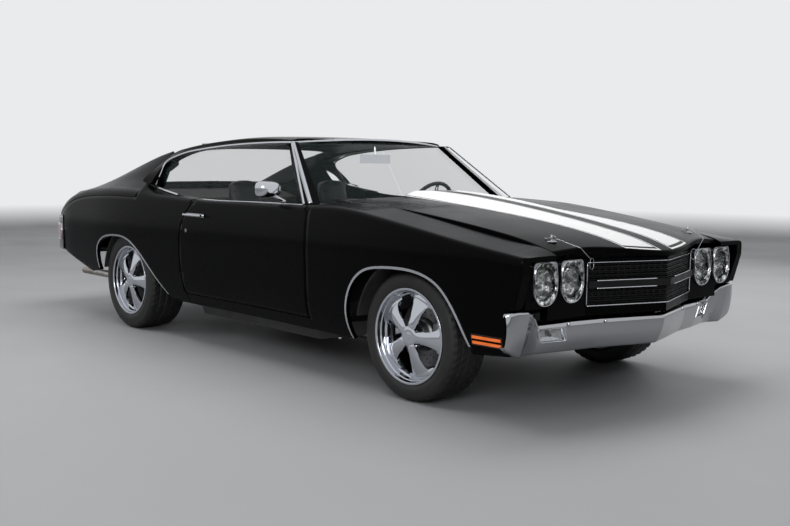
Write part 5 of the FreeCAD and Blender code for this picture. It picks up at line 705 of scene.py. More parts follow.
def fender_skins():
    """Front fenders: side skin from the door to the nose, less the wheel arch and the bumper's corner, up to the
    hood's edge."""
    front_x = 2.362
    nose = np.array([
        (1.990, 0.0), (1.990, 0.302), (2.276, 0.329), (2.276, 0.545), (2.322, 0.545),
        (2.382, float(shoulder(front_x))), (2.402, 0.0),
    ])
    arrays = side_skin(0.85285, front_x, SKIRT_Z, [arch_loop(FRONT_ARCH), nose], [False, False],
                       lambda x: np.full_like(x, HOOD_HALF + 0.0055),
                       lambda x: np.minimum(hood_edge(x), shoulder(x) + 0.022))
    both_sides("fender_skin", arrays, "car_body")


def door_skins():
    """Doors: side skin between the fender and the slanting gap, down to the rocker and up to the window sill."""
    gap = door_gap(GAP_HALF)
    front = 0.84725
    low_z, high_z = 0.332, 1.3
    low_trim = np.vstack([
        gap[gap[:, 1] > low_z], [np.interp(-low_z, -gap[:, 1], gap[:, 0]), low_z],
        [front, low_z], [front, high_z], [gap[0, 0], high_z],
    ])
    arrays = side_skin(-0.52, front, 0.331, [low_trim], [True], lambda x: np.full_like(x, 0.838), sill)
    both_sides("door_skin", arrays, "door_{}")


def sail_section(x):
    """Points of the sail at stations x: shoulder bend, then a curve through hip, middle and crest, then the inner
    lip. The bend and the curve soften towards the tail."""
    peak = shoulder(x)
    soft = np.clip((SAIL_X - x) / (SAIL_X - TAIL_X), 0, 1)
    start = peak - SHOULDER * (1 + 1.4 * soft)
    top = np.maximum(crest_z(x), peak - SHOULDER / 2)
    rise = top - peak
    deck = np.minimum(deck_edge(x), top - 0.0003)
    hip = stacked(x, side_y(x, peak) - SHOULDER / 2, peak)
    crest = stacked(x, crest_y(x), top)
    span = crest[:, 1] - hip[:, 1]
    mid = stacked(x, hip[:, 1] + span * 0.55, peak + rise * (0.36 + 0.24 * soft))
    high = stacked(x, hip[:, 1] + span * 0.82, peak + rise * (0.72 + 0.16 * soft))
    inner = stacked(x, sail_inner(x), deck)
    first = stacked(x, side_y(x, start), start)
    corner = stacked(x, side_y(x, peak), peak + rise * 0.04)
    join = hip + (mid - hip) * (0.25 + 0.25 * soft)[:, None]
    s = np.linspace(0, 1, 12)[None, :, None]
    bend = quadratic(first[:, None], corner[:, None], join[:, None], s)
    rows = np.stack([join, mid, high, crest], 1)
    out = np.empty((len(x), 25, 3))
    out[..., 0] = x[:, None]
    for k in range(len(x)):
        run = run_length(rows[k])
        for axis in (1, 2):
            out[k, :, axis] = spline(np.stack([run, rows[k, :, axis]], 1), 1.0)(np.linspace(0, run[-1], 25))
    f = np.linspace(0, 1, 5)[None, 1:, None]
    lip = crest[:, None] * (1 - f) + inner[:, None] * f
    return start, np.concatenate([bend, out[:, 1:], lip], 1)


def quarter_skins():
    """Rear quarters: a side skin ahead of the sail, then the lower side and the sail's own sections to the tail, less
    the wheel arch, the door's gap and the rear bumper."""
    arch = arch_loop(REAR_ARCH)
    gap = door_gap(-GAP_HALF)
    ahead = np.vstack([gap, [gap[-1, 0], -0.3], [1.2, -0.3], [1.2, 1.4], [gap[0, 0], 1.4]])
    tail = np.array([
        (-1.53, 0.30), (-1.56, 0.39), (-1.743, 0.361), (-2.262, 0.480), (-2.2897, 0.480), (-2.2897, 0.7493),
        (-2.5, 0.7493), (-2.5, 0.0), (-1.53, 0.0),
    ])
    front = side_skin(SAIL_X, -0.322, SKIRT_Z, [arch, ahead], [False, False],
                      lambda x: np.full_like(x, BELT_Y - 0.024), sill)
    xs = steps(TAIL_X, SAIL_X)
    start, section = sail_section(xs)
    lower = lower_side(xs, start, SKIRT_Z, [arch, tail], [False, False])
    arrays = joined_arrays([front, lower, surface(section + (0, LIFT * 0.6, LIFT))])
    both_sides("quarter_skin", arrays, "car_body")


def hood_rear(y):
    """Plan of the hood's rear edge: bowed back to the cowl by the square of the distance out."""
    return HOOD_CORNER_X + (HOOD_MIDDLE_X - HOOD_CORNER_X) * (1 - (y / HOOD_HALF) ** 2)


def bulge(x, y):
    """Raised middle of the hood: a smooth step across its narrowing sides, growing as a power of a sine to the rear."""
    along = np.clip((BULGE_NOSE_X - x) / (BULGE_NOSE_X - HOOD_MIDDLE_X), 0, 1)
    half = 0.3 * (0.55 + 0.45 * along)
    across = np.clip((half - np.abs(y)) / (half * 0.42), 0, 1)
    return 0.034 * across ** 2 * (3 - 2 * across) * np.sin(along * math.pi / 2) ** 1.3


def hood_z(x, y):
    """Height of the hood: centre line less a power of the distance out, plus the bulge that fades to the nose."""
    share = np.clip(np.abs(y) / HOOD_HALF, 0, 1)
    centre = hood_centre(x)
    return centre - (centre - hood_edge(x)) * share ** 2.2 + bulge(x, y)


def nose_x(y):
    """Plan of the hood's front edge, rounded off at the middle."""
    return hood_nose(np.hypot(y, 0.06) - 0.06)


def behind_edge(piece, distance):
    """Stores at each point how far it lies behind the panel's front edge."""
    store = piece.data.attributes.new("behind_edge", "FLOAT", "POINT")
    store.data.foreach_set("value", np.ascontiguousarray(distance, np.float32).ravel())


def hood_skin():
    """Hood: straight rows of points from the rear edge's plan to the nose's, each at the hood's height there."""
    y = np.linspace(-1, 1, 85) * HOOD_HALF
    front, rear = nose_x(y)[:, None], hood_rear(y)[:, None]
    x = rear + (front - rear) * np.linspace(0, 1, 84)[None]
    top, quads = surface(stacked(x, y[:, None], hood_z(x, y[:, None]) + LIFT))
    piece = put_mesh("hood_skin", top, faced_out(top, quads), MATERIALS["striped_paint"])
    behind_edge(piece, front - x)
    finish_skin(piece, "hood")


def roof_section(x):
    """Ring points of the roof at stations x: leaning side, rail, then a crown that flattens to the centre."""
    top = roof_top(x)
    rail = rail_y(x)
    base_z = sill(x)
    rail_z = top - (HEIGHT - RAIL_Z) * 0.95
    base_y = BELT_Y + 0.020
    mix = lambda a, b, f: a + (b - a) * f
    rows = [(base_y, base_z), (mix(base_y, rail, 0.5) + 0.006, mix(base_z, rail_z, 0.5)), (rail, rail_z)]
    rows += [(rail * out, mix(rail_z, top, up)) for out, up in ((0.975, 0.42), (0.9, 0.68), (0.7, 0.87), (0.35, 0.97))]
    half = np.stack([stacked(x, y, z) for y, z in rows + [(0.0, top)]], 1)
    return np.concatenate([half, half[:, -2::-1] * (1, -1, 1)], 1)


def roof_rings(xs, shares):
    """Splines through the ring points at each station, read at shares of the way round."""
    ring = roof_section(xs)
    run = np.linspace(0, 1, ring.shape[1])
    dense = np.empty((len(xs), len(shares), 3))
    dense[..., 0] = xs[:, None]
    for k in range(len(xs)):
        for axis in (1, 2):
            dense[k, :, axis] = spline(np.stack([run, ring[k, :, axis]], 1), 1.0)(shares)
    return dense


def roof_skin():
    """Roof: the crown between the windshield's and the rear glass's edges, and the pillar behind each side window."""
    xs = steps(SAIL_X, HEADER_X, 0.017)
    dense = roof_rings(xs, np.linspace(0, 1, 141))
    top_edge = HEADER_X - (HEADER_X - HEADER_END_X) * (dense[..., 1] / HEADER_HALF) ** 2
    rear_half = sail_inner(np.full_like(xs, SAIL_X))[:, None]
    rear_edge = REAR_GLASS_X + 0.020 * (1 - (dense[..., 1] / rear_half) ** 2)
    high = dense[..., 2] > roof_top(xs)[:, None] - 0.043
    over_glass = (dense[..., 0] < rear_edge) & (np.abs(dense[..., 1]) < rear_half)
    mask = (high & (dense[..., 0] < top_edge + 0.006) & ~over_glass).ravel()
    crown, quads = surface(dense + (0, 0, LIFT))
    crown[:, 2] = np.minimum(crown[:, 2], HEIGHT - 0.0001)
    crown = compact(crown, quads[mask[quads].all(1)])
    side, quads = surface(roof_rings(steps(SAIL_X, -0.86, 0.008), np.linspace(0, 3.0 / 14, 44)))
    window = np.vstack([
        np.array(WINDOW_REAR), np.array(WINDOW_TOP)[1:3], [(0.2, 0.9), (0.2, 0.60), (-0.37, 0.7564)],
    ]) * (HALF_LENGTH, HEIGHT)
    flat, quads = trim(side[:, [0, 2]], quads, [window], [False])
    pillar = compact(np.stack([flat[:, 0], side[:, 1] + LIFT, flat[:, 1]], 1), quads)
    arrays = joined_arrays([crown, pillar, mirrored(*pillar)])
    piece = put_mesh("roof_skin", arrays[0], faced_out(*arrays), MATERIALS["body_paint"])
    finish_skin(piece, "car_body")


def deck_skin():
    """Trunk lid: height is the deck edge line plus a small crown, then a quarter-round edge and a hollow rear face."""
    front_half = float(sail_inner(DECK_FRONT))
    t = np.linspace(0, 1, 60)
    f = np.linspace(0, 1, 10)[1:]
    g = np.linspace(0, 1, 24)[1:]
    rows = []
    for share in np.linspace(-1, 1, 85):
        y0 = share * (front_half - DECK_GAP)
        rear = DECK_REAR - (1 - (y0 / (front_half + 0.02)) ** 2) * 0.02
        brink = rear + DECK_ROUND
        x = DECK_FRONT + (brink - DECK_FRONT) * t
        y = share * (sail_inner(np.maximum(x, DECK_REAR)) - DECK_GAP)
        z = deck_edge(x) + 0.012 * (1 - (y / sail_inner(x)) ** 2)
        edge = z[-1]
        bend = stacked(quadratic(brink, rear, rear, f), y[-1], quadratic(edge, edge, edge - DECK_ROUND, f))
        face_z = edge - DECK_ROUND + (DECK_LIP - edge + DECK_ROUND) * g
        face_x = rear + 4 * g * (1 - g) * 0.006 * (1 - g) - 0.01 * g * g
        rows.append(np.vstack([stacked(x, y, z), bend, stacked(face_x, y[-1], face_z)]))
    grid = np.array(rows)
    grid[:, :LIFTED_ROWS, 2] += LIFT
    grid[:, LIFTED_ROWS:, 0] -= LIFT
    verts, quads = surface(grid)
    piece = put_mesh("deck_skin", verts, faced_out(verts, quads), MATERIALS["striped_paint"])
    behind_edge(piece, np.full(grid.shape[:2], 1.0))
    finish_skin(piece, "decklid")


# Body details

def glass_plane_y(z):
    """Side glass leans in a plane: half-width falls in a straight line from the belt to the roof rail."""
    return BELT_Y + (np.asarray(z) - BELT_Z) * (RAIL_GLASS_Y - BELT_Y) / (RAIL_Z - BELT_Z)


PANE_OUT = np.array((0.0, 1.0, 0.613)) / math.hypot(1.0, 0.613)


def half_round(width, height, count=9):
    """Section of a moulding: an elliptical crown on a flat foot."""
    turn = np.linspace(0, math.pi, count)
    crown = np.stack([np.cos(turn) * width / 2, np.sin(turn) * height], 1)
    return np.vstack([crown, [(-width / 2, -height * 0.3), (width / 2, -height * 0.3)]])


def ring_section(radius, count=8):
    """Round section of a wire."""
    turn = np.linspace(0, 2 * math.pi, count, endpoint=False)
    return np.stack([np.cos(turn), np.sin(turn)], 1) * radius


def capped(grid):
    """Grid closed at both ends by a row drawn in to its middle."""
    ends = [np.broadcast_to(grid[k].mean(0), grid[k].shape)[None] for k in (0, -1)]
    return np.concatenate([ends[0], grid, ends[1]])


def swept(path, outward, section, closed=False):
    """Section carried along a path: its first axis lies across the path, its second along the outward direction."""
    path = np.asarray(path, float)
    if closed:
        along = np.roll(path, -1, 0) - np.roll(path, 1, 0)
    else:
        along = np.gradient(path, axis=0)
    along /= np.linalg.norm(along, axis=1, keepdims=True)
    out = np.broadcast_to(np.asarray(outward, float), path.shape)
    out = out - np.sum(out * along, 1, keepdims=True) * along
    out = out / np.linalg.norm(out, axis=1, keepdims=True)
    across = np.cross(along, out)
    grid = path[:, None] + section[None, :, 0:1] * across[:, None] + section[None, :, 1:2] * out[:, None]
    return surface(grid if closed else capped(grid), closed, True)


def tidy_mesh(piece):
    """Merges doubled corners and turns every face outwards."""
    work = bmesh.new()
    work.from_mesh(piece.data)
    bmesh.ops.remove_doubles(work, verts=work.verts, dist=0.00002)
    bmesh.ops.dissolve_degenerate(work, edges=work.edges, dist=0.00001)
    bmesh.ops.recalc_face_normals(work, faces=work.faces)
    work.to_mesh(piece.data)
    work.free()
    piece.data.polygons.foreach_set("use_smooth", np.ones(len(piece.data.polygons), bool))
    piece.data.update()


def add_piece(name, arrays, material, body, wall=0.0, sharp=None, flip=False, replaces=()):
    """Puts a mesh in the scene, gives an open sheet its wall, turns its faces out and hangs it on its body."""
    verts, faces = compact(*arrays)
    if wall:
        faces = faced_out(verts, faces)
    piece = put_mesh(name, verts, faces[:, ::-1] if flip else faces, MATERIALS[material])
    if wall:
        thicken(piece, 0.00005, wall)
    tidy_mesh(piece)
    if sharp:
        piece.data.set_sharp_from_angle(angle=math.radians(sharp))
    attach(piece, body)
    for node in replaces:
        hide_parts(node)


def pair(arrays):
    """The same surface on both sides of the car."""
    return joined_arrays([arrays, mirrored(*arrays)])


def window_trim():
    """Bright mouldings: round the side windows, on the belt, up both pillars, across the header and round the rear
    glass."""
    top = np.array(WINDOW_TOP) * (HALF_LENGTH, HEIGHT)
    rear = np.array(WINDOW_REAR) * (HALF_LENGTH, HEIGHT)
    low = np.array(WINDOW_LOW) * (HALF_LENGTH, HEIGHT)
    outline = smooth_path(np.vstack([low[2:], rear[1:], top[1:]]), 150)
    path = np.stack([outline[:, 0], glass_plane_y(outline[:, 1]) + 0.019, outline[:, 1]], 1)
    add_piece("window_moulding", pair(swept(path, PANE_OUT, half_round(0.013, 0.0045))), "chrome", "car_body")
    x = np.linspace(0.351, 0.745, 40)
    z = np.interp(x, (0.351, 0.745), (1.287, 0.945))
    path = np.stack([x, glass_plane_y(z) + 0.0185, z], 1)
    add_piece("pillar_moulding", pair(swept(path, PANE_OUT, half_round(0.013, 0.0045))), "chrome", "car_body")
    x = np.linspace(-0.30, 0.735, 60)
    arrays = swept(stacked(x, 0.874, sill(x) + 0.0022), (0, 0.25, 1), half_round(0.010, 0.0030, 7))
    add_piece("belt_moulding_left", arrays, "chrome", "door_left")
    add_piece("belt_moulding_right", mirrored(*arrays), "chrome", "door_right")
    foot, head = np.array((0.7256, 0.8140, 0.946)), np.array((0.3238, 0.6380, 1.2925))
    path = foot + (head - foot) * np.linspace(0, 1, 50)[:, None]
    strip = swept(path, (0.72, 0.56, 0.42), half_round(0.024, 0.006, 11))
    add_piece("windshield_pillar_moulding", pair(strip), "chrome", "car_body")
    y = np.linspace(-0.612, 0.612, 90)
    share = (y / HEADER_HALF) ** 2
    path = np.stack([0.4005 - 0.108 * share, y, 1.3185 - 0.0262 * share], 1)
    strip = swept(path, (0.62, 0, 0.78), half_round(0.020, 0.006, 9))
    add_piece("windshield_header_moulding", strip, "chrome", "car_body")
    y = np.linspace(-0.585, 0.585, 70)
    x = REAR_GLASS_X + 0.020 * (1 - (y / 0.600) ** 2) - 0.001
    path = np.stack([x, y, np.interp(np.abs(y), (0, 0.35, 0.6), (1.3125, 1.306, 1.288))], 1)
    add_piece("rear_glass_moulding", swept(path, (-0.35, 0, 0.94), half_round(0.012, 0.004)), "chrome", "car_body")


# Front end

BAR_SHARES = (0, 0.2, 0.52, 0.765, 0.94, 1)
BUMPER_NOSE = ((0, 0.9894), (0.1525, 0.9719), (0.3906, 0.9431), (0.5744, 0.9299), (0.7509, 0.912))
CAP_SHARES = ((0.7885, 0.9184, 0.364, 0.8968, 0.2339), (0.8355, 0.9264, 0.3872, 0.8968, 0.2339),
              (0.8877, 0.9316, 0.3961, 0.913, 0.2369), (0.9347, 0.9304, 0.3976, 0.914, 0.2474),
              (0.9713, 0.9248, 0.3969, 0.9156, 0.2616), (0.9922, 0.918, 0.3939, 0.9152, 0.2735),
              (0.9995, 0.9148, 0.3886, 0.914, 0.2818))
KINK_Y = HALF_WIDTH * 0.750914
PARK_LOOP = np.array(((PARK_Y - 0.084 + 0.022, PARK_Z + 0.032), (PARK_Y + 0.084, PARK_Z + 0.032),
                      (PARK_Y + 0.084 - 0.022, PARK_Z - 0.032), (PARK_Y - 0.084, PARK_Z - 0.032)))


def bumper_rows(y):
    """Top x, top z, low x and low z of the bumper at each distance out, straight between the bar's stations."""
    nose = spline(BUMPER_NOSE, HALF_WIDTH, HALF_LENGTH)
    share = np.array(BAR_SHARES)
    bar_y = KINK_Y * share
    lean = BUMPER_LEAN + (BUMPER_LEAN * 0.68 - BUMPER_LEAN) * share
    rows = np.stack([bar_y, nose(bar_y), np.full(6, 0.46), nose(bar_y) - lean, np.full(6, 0.314)], 1)
    caps = np.array(CAP_SHARES) * (HALF_WIDTH, HALF_LENGTH, HEIGHT, HALF_LENGTH, HEIGHT)
    table = np.vstack([rows, caps])
    away = np.abs(y)
    return [np.interp(away, table[:, 0], table[:, k]) for k in range(1, 5)]


def bumper_face(y, z):
    """Front of the bumper at a place seen from ahead: a straight lean from top to bottom with a slight crown."""
    x_top, z_top, x_low, z_low = bumper_rows(y)
    down = np.clip((z_top - z) / (z_top - z_low), 0, 1)
    return x_top + (x_low - x_top) * down + 0.0012 + 0.009 * np.sin(down * math.pi)


def front_bumper():
    """Chrome bar: a leaning, slightly crowned face with rolled edges, cut for the parking lamps, and a ledge behind
    the top."""
    y = np.concatenate([-np.linspace(0.957, KINK_Y, 45), -np.linspace(KINK_Y, 0, 105)[1:]])
    y = np.concatenate([y, -y[-2::-1]])
    x_top, z_top, x_low, z_low = bumper_rows(y)
    roll, foot_roll = np.interp(np.abs(y), (KINK_Y, KINK_Y + 0.04), (0.026, 0.009)), 0.008
    t = np.linspace(0, 1, 26)[None]
    z = (z_top - roll)[:, None] + (z_low + foot_roll - z_top + roll)[:, None] * t
    flat = np.stack([np.repeat(y[:, None], t.shape[1], 1).ravel(), z.ravel()], 1)
    loops = [PARK_LOOP, PARK_LOOP * (-1, 1)]
    flat, quads = trim(flat, grid_quads(len(y), t.shape[1]), loops, [False, False])
    face = np.stack([bumper_face(flat[:, 0], flat[:, 1]), flat[:, 0], flat[:, 1]], 1)
    s = np.linspace(0, 1, 8)[None, :, None]
    at = lambda x, h: np.stack([x, y, h], 1)[:, None]
    first = at(bumper_face(y, z_top - roll), z_top - roll)
    corner = at(x_top, z_top + 0.0008)
    ledge = np.where(np.abs(y) < KINK_Y, 0.068, np.maximum(0.012, x_top - 2.283))
    inner = at(x_top - np.minimum(roll, 0.02), z_top + 0.0008)
    back = at(x_top - ledge, z_top + 0.001)
    upper, upper_quads = surface(np.concatenate([quadratic(first, corner, inner, s), back, back - (0, 0, 0.010)], 1))
    foot = at(bumper_face(y, z_low + foot_roll), z_low + foot_roll)
    turn = at(x_low, z_low)
    tuck = at(x_low - foot_roll, z_low)
    lower = surface(np.concatenate([quadratic(foot, turn, tuck, s), tuck - (0.022, 0, 0)], 1))
    arrays = joined_arrays([(face, quads), (upper, upper_quads[:, ::-1]), lower])
    add_piece("bumper_face", arrays, "bumper_chrome", "car_body", wall=0.0025, sharp=38,
              replaces=["front_bumper"])
    bolt = rounded([(0.0, 0.0), (0.0045, 0.0), (0.004, 0.007), (0.0, 0.0095)], 0.001)
    parts = []
    for by in (0.335, 0.555, -0.335, -0.555):
        bz = 0.4475
        parts.append(faced_ahead(lathe(bolt, ORIGIN, 20), (float(bumper_face(np.array(by), np.array(bz))), by, bz)))
    add_piece("bumper_bolts", joined_arrays(parts), "chrome", "car_body")


def parking_lamps():
    """Slanted lamps in the bumper: a bright bezel, a fluted clear glass, and behind it a silver bowl with a bulb."""
    loop = filled_loop(PARK_LOOP, 14)
    centre = loop.mean(0)
    rings = []
    for grow, push in ((1.045, -0.002), (1.04, 0.0042), (0.985, 0.0048), (0.93, 0.001), (0.91, -0.008), (0.90, -0.015)):
        p = centre + (loop - centre) * grow
        rings.append(np.stack([bumper_face(p[:, 0], p[:, 1]) + push, p[:, 0], p[:, 1]], 1))
    add_piece("parking_lamp_bezels", pair(surface(np.array(rings), close_v=True)), "chrome", "car_body")
    u, v = np.meshgrid(np.linspace(-1, 1, 61), np.linspace(-1, 1, 21), indexing="ij")
    y = PARK_Y + u * 0.073 + v * 0.011 * 0.88
    z = PARK_Z + v * 0.028
    x = bumper_face(y, z) - 0.009 + 0.004 * (1 - u ** 4) * (1 - v ** 4) + 0.0007 * np.sin(u * 60)
    add_piece("parking_lamp_glass", pair(surface(stacked(x, y, z))), "clear_lens", "car_body", wall=0.002)
    x = bumper_face(y, z) - 0.015 - 0.012 * (1 - u ** 2) * (1 - v ** 2)
    add_piece("parking_lamp_bowls", pair(surface(stacked(x, y, z))), "bright_silver", "car_body",
              wall=0.001)
    bulb = lathe([(0.0, 0.0), (0.0, 0.008), (0.010, 0.0095), (0.018, 0.007), (0.022, 0.0)], ORIGIN, 20)
    foot = float(bumper_face(np.array(PARK_Y), np.array(PARK_Z))) - 0.026
    add_piece("parking_lamp_bulbs", pair(faced_ahead(bulb, (foot, PARK_Y, PARK_Z))), "lamp_silver", "car_body")


LAMP_PLACES = (0.560, 0.751)
LAMP_RIM = ((0.0, 2.318), (0.0, 2.3445), (0.03, 2.347), (0.09, 2.348), (0.15, 2.3475), (0.19, 2.3455), (0.20, 2.3425))
LAMP_DISH = ((0.17, 2.3462), (0.35, 2.3448), (0.60, 2.3438), (0.85, 2.3430), (0.93, 2.3428), (1.0, 2.333),
             (1.0, 2.320))


def bezel_loop(count=96):
    """Lamp surround seen from ahead: a superellipse, squarer above its middle than below."""
    turn = np.linspace(0, 2 * math.pi, count, endpoint=False)
    power = np.where(np.sin(turn) > 0, 0.56, 0.86)
    y = np.abs(np.cos(turn)) ** power * np.sign(np.cos(turn)) * 0.0815
    z = np.abs(np.sin(turn)) ** power * np.sign(np.sin(turn)) * 0.0985
    return y, z


def disc_grid(inner, outer, rings, spokes):
    """Radius and angle of each point of a disc's grid."""
    return np.meshgrid(np.linspace(inner, outer, rings), np.linspace(0, 2 * math.pi, spokes, endpoint=False),
                       indexing="ij")


def headlamps():
    """Each lamp: chrome surround, faceted dish back to a round glass, bowed glass with moulded flutes, bowl and bulb
    shield. A share of 0 is the surround's outline and 1 the round opening."""
    rims, glasses, bowls, shields, dishes = [], [], [], [], []
    y0, z0 = bezel_loop()
    radius = np.hypot(y0, z0)
    for place in LAMP_PLACES:
        for kept, rings in ((rims, LAMP_RIM), (dishes, LAMP_DISH)):
            rows = [stacked(x, place + (y0 + (y0 / radius * OPENING_RADIUS - y0) * share),
                            LAMP_Z + (z0 + (z0 / radius * OPENING_RADIUS - z0) * share)) for share, x in rings]
            kept.append(surface(np.array(rows), close_v=True))
        r, a = disc_grid(0.0005, 0.072, 26, 60)
        y, z = r * np.cos(a), r * np.sin(a)
        flute = 0.0008 * np.cos(y * 620) * np.clip(1 - (r / 0.07) ** 6, 0, 1) * (0.6 + 0.4 * np.sin(z * 90))
        x = 2.3205 + 0.014 * (1 - (r / 0.072) ** 2) + flute
        glasses.append(surface(stacked(x, place + y, LAMP_Z + z), close_v=True))
        r, a = disc_grid(0.006, BOWL_RADIUS, 16, 48)
        x = 2.262 + 0.052 * (r / BOWL_RADIUS) ** 2 + 0.0016 * np.cos(a * 12) * (r / BOWL_RADIUS)
        bowls.append(surface(stacked(x, place + r * np.cos(a), LAMP_Z + r * np.sin(a)), close_v=True))
        cup = rounded([(2.262, 0.006), (2.268, 0.016), (2.292, 0.018), (2.300, 0.013), (2.303, 0.0)], 0.003)
        shields.append(faced_ahead(lathe(cup, ORIGIN, 32), (0, place, LAMP_Z)))
    add_piece("lamp_bezels", pair(joined_arrays(rims)), "chrome", "car_body", sharp=40)
    add_piece("lamp_glass", pair(joined_arrays(glasses)), "clear_lens", "car_body", wall=0.0025,
              replaces=["lamp_lenses"])
    add_piece("lamp_dishes", pair(joined_arrays(dishes)), "lamp_silver", "car_body", wall=0.0005)
    add_piece("lamp_bowls", pair(joined_arrays(bowls)), "lamp_silver", "car_body", wall=0.001)
    add_piece("lamp_bulb_shields", pair(joined_arrays(shields)), "lamp_silver", "car_body")


def grille_line(y, out=0.0):
    """Plan of the grille: a shallow V from the middle to each lamp."""
    return 2.484 + (2.333 - 2.484) * np.abs(y) / 0.446 + out


def v_moulding(z, low, high, out, width, height):
    """Strip that follows the V between two distances from the middle, level all along."""
    y = np.linspace(low, high, 40)
    path = np.stack([grille_line(y, out), y, np.full_like(y, z)], 1)
    return swept(path, (0.95, 0.32, 0), half_round(width, height, 7))


def grille_bars():
    """Fine level bars and uprights that follow the V, with thin silver mouldings at the top, the middle and the
    bottom."""
    parts = []
    y = np.concatenate([np.linspace(-0.444, 0, 24), np.linspace(0, 0.444, 24)[1:]])
    level = np.array(((-0.0012, -0.016), (0.0012, -0.016), (0.0020, 0.0), (0.0012, 0.0026), (-0.0012, 0.0026),
                      (-0.0020, 0.0)))
    upright = np.array(((-0.0014, -0.010), (0.0014, -0.010), (0.0014, 0.004), (-0.0014, 0.004)))
    for z in np.linspace(0.5335, 0.7155, 19):
        if abs(z - GRILLE_BAND_Z) >= 0.018:
            parts.append(swept(stacked(grille_line(y, -0.004), y, z), (1, 0, 0), level))
    for place in np.linspace(0.0300, 0.434, 13):
        for low, high in ((0.5240, 0.6050), (0.6420, 0.7235)):
            path = stacked(float(grille_line(np.array(place), -0.012)), place, np.linspace(low, high, 3))
            parts.append(pair(swept(path, (1, 0, 0), upright)))
    add_piece("grille_bars", joined_arrays(parts), "grille_black", "car_body")
    strips = [pair(v_moulding(z, low, high, out, width, 0.004)) for z, low, high, out, width in (
        (0.7255, 0.004, 0.441, 0.004, 0.0055), (0.5225, 0.004, 0.441, 0.004, 0.0060),
        (0.6415, 0.078, 0.404, 0.019, 0.0060), (0.6055, 0.078, 0.404, 0.019, 0.0060))]
    add_piece("grille_mouldings", joined_arrays(strips), "bright_silver", "car_body")
    corner = swept(stacked(2.3385, 0.4445, np.linspace(0.524, 0.726, 12)), (1, 0.2, 0), half_round(0.005, 0.003, 7))
    add_piece("grille_end_mouldings", pair(corner), "bright_silver", "car_body")


def hood_pins():
    """At each front corner of the hood: a scuffed plate, a pin with its spring clip, and a thin cable drawn tight to
    the grille's end."""
    pins, cables = [], []
    px, py = 2.233, 0.582
    root = np.array((px, py, float(hood_z(np.array(px), np.array(py))) + LIFT))
    plate = lathe(rounded([(0.0, 0.0), (0.0032, 0.0), (0.0030, 0.019), (0.0, 0.0265)], 0.0012), ORIGIN, 40)
    pin = rounded([(0.0, 0.0), (0.0, 0.0055), (0.024, 0.0055), (0.029, 0.0035), (0.031, 0.0)], 0.001)
    pins.append(stood_up(lathe(pin, ORIGIN, 20), root))
    turn = np.linspace(0, 2 * math.pi, 40, endpoint=False)
    eye = np.stack([0.013 * np.cos(turn) + 0.013, 0.004 * np.sin(turn), 0.011 * np.sin(turn) + 0.016], 1) + root
    pins.append(swept(eye, (0, 1, 0), ring_section(0.0014), closed=True))
    for sign in (1, -1):
        leg = np.array(((0.0, 0.005, 0.016), (-0.012, 0.007, 0.014), (-0.026, 0.005, 0.011), (-0.036, 0.004, 0.014)))
        pins.append(swept(smooth_path(root + leg * (1, sign, 1), 24), (0, 0, 1), ring_section(0.0014)))
    share = np.linspace(0, 1, 24)[:, None]
    start, end = root + (0.026, -0.002, 0.014), np.array((2.368, 0.4600, 0.7440))
    brink = np.array((float(nose_x(np.array(0.530))) + 0.008, 0.530, 0.0))
    brink[2] = float(hood_z(brink[0:1], brink[1:2])[0]) + 0.007
    first, second = start + (brink - start) * share, brink + (end - brink) * share[1:]
    cables.append(swept(np.vstack([first, second]), (0.3, 0, 1), ring_section(0.0012, 6)))
    loop = np.stack([2.3585 + 0.0035 * np.cos(turn), 0.4385 + 0.020 * np.cos(turn), 0.7215 + 0.027 * np.sin(turn)], 1)
    cables.append(swept(loop, (1, 0, 0), ring_section(0.0011, 6), closed=True))
    verts, faces = stood_up(plate, root)
    add_piece("hood_pin_plates", pair((verts - (0, 0, 0.0012), faces)), "worn_chrome", "hood")
    add_piece("hood_pin_clips", pair(joined_arrays(pins)), "chrome", "hood")
    add_piece("hood_pin_cables", pair(joined_arrays(cables)), "bright_silver", "hood")


def hood_flap():
    """Dark flap in the back of the bulge, with its bright frame, on the driver's side of the middle."""
    u, v = np.meshgrid(np.linspace(-1, 1, 13), np.linspace(-1, 1, 9), indexing="ij")
    x = 0.944 + v * 0.016
    y = 0.062 + u * 0.050
    opening = surface(stacked(x, y, hood_z(x, y) + LIFT + 0.0006))
    add_piece("hood_flap_opening", opening, "grille_black", "hood", wall=0.0004, flip=True)
    x, y = filled_loop(np.array(((0.960, 0.012), (0.960, 0.112), (0.928, 0.112), (0.928, 0.012))), 16).T
    frame_arrays = swept(stacked(x, y, hood_z(x, y) + LIFT), (0, 0, 1), half_round(0.004, 0.0016, 7), closed=True)
    add_piece("hood_flap_frame", frame_arrays, "bright_silver", "hood")


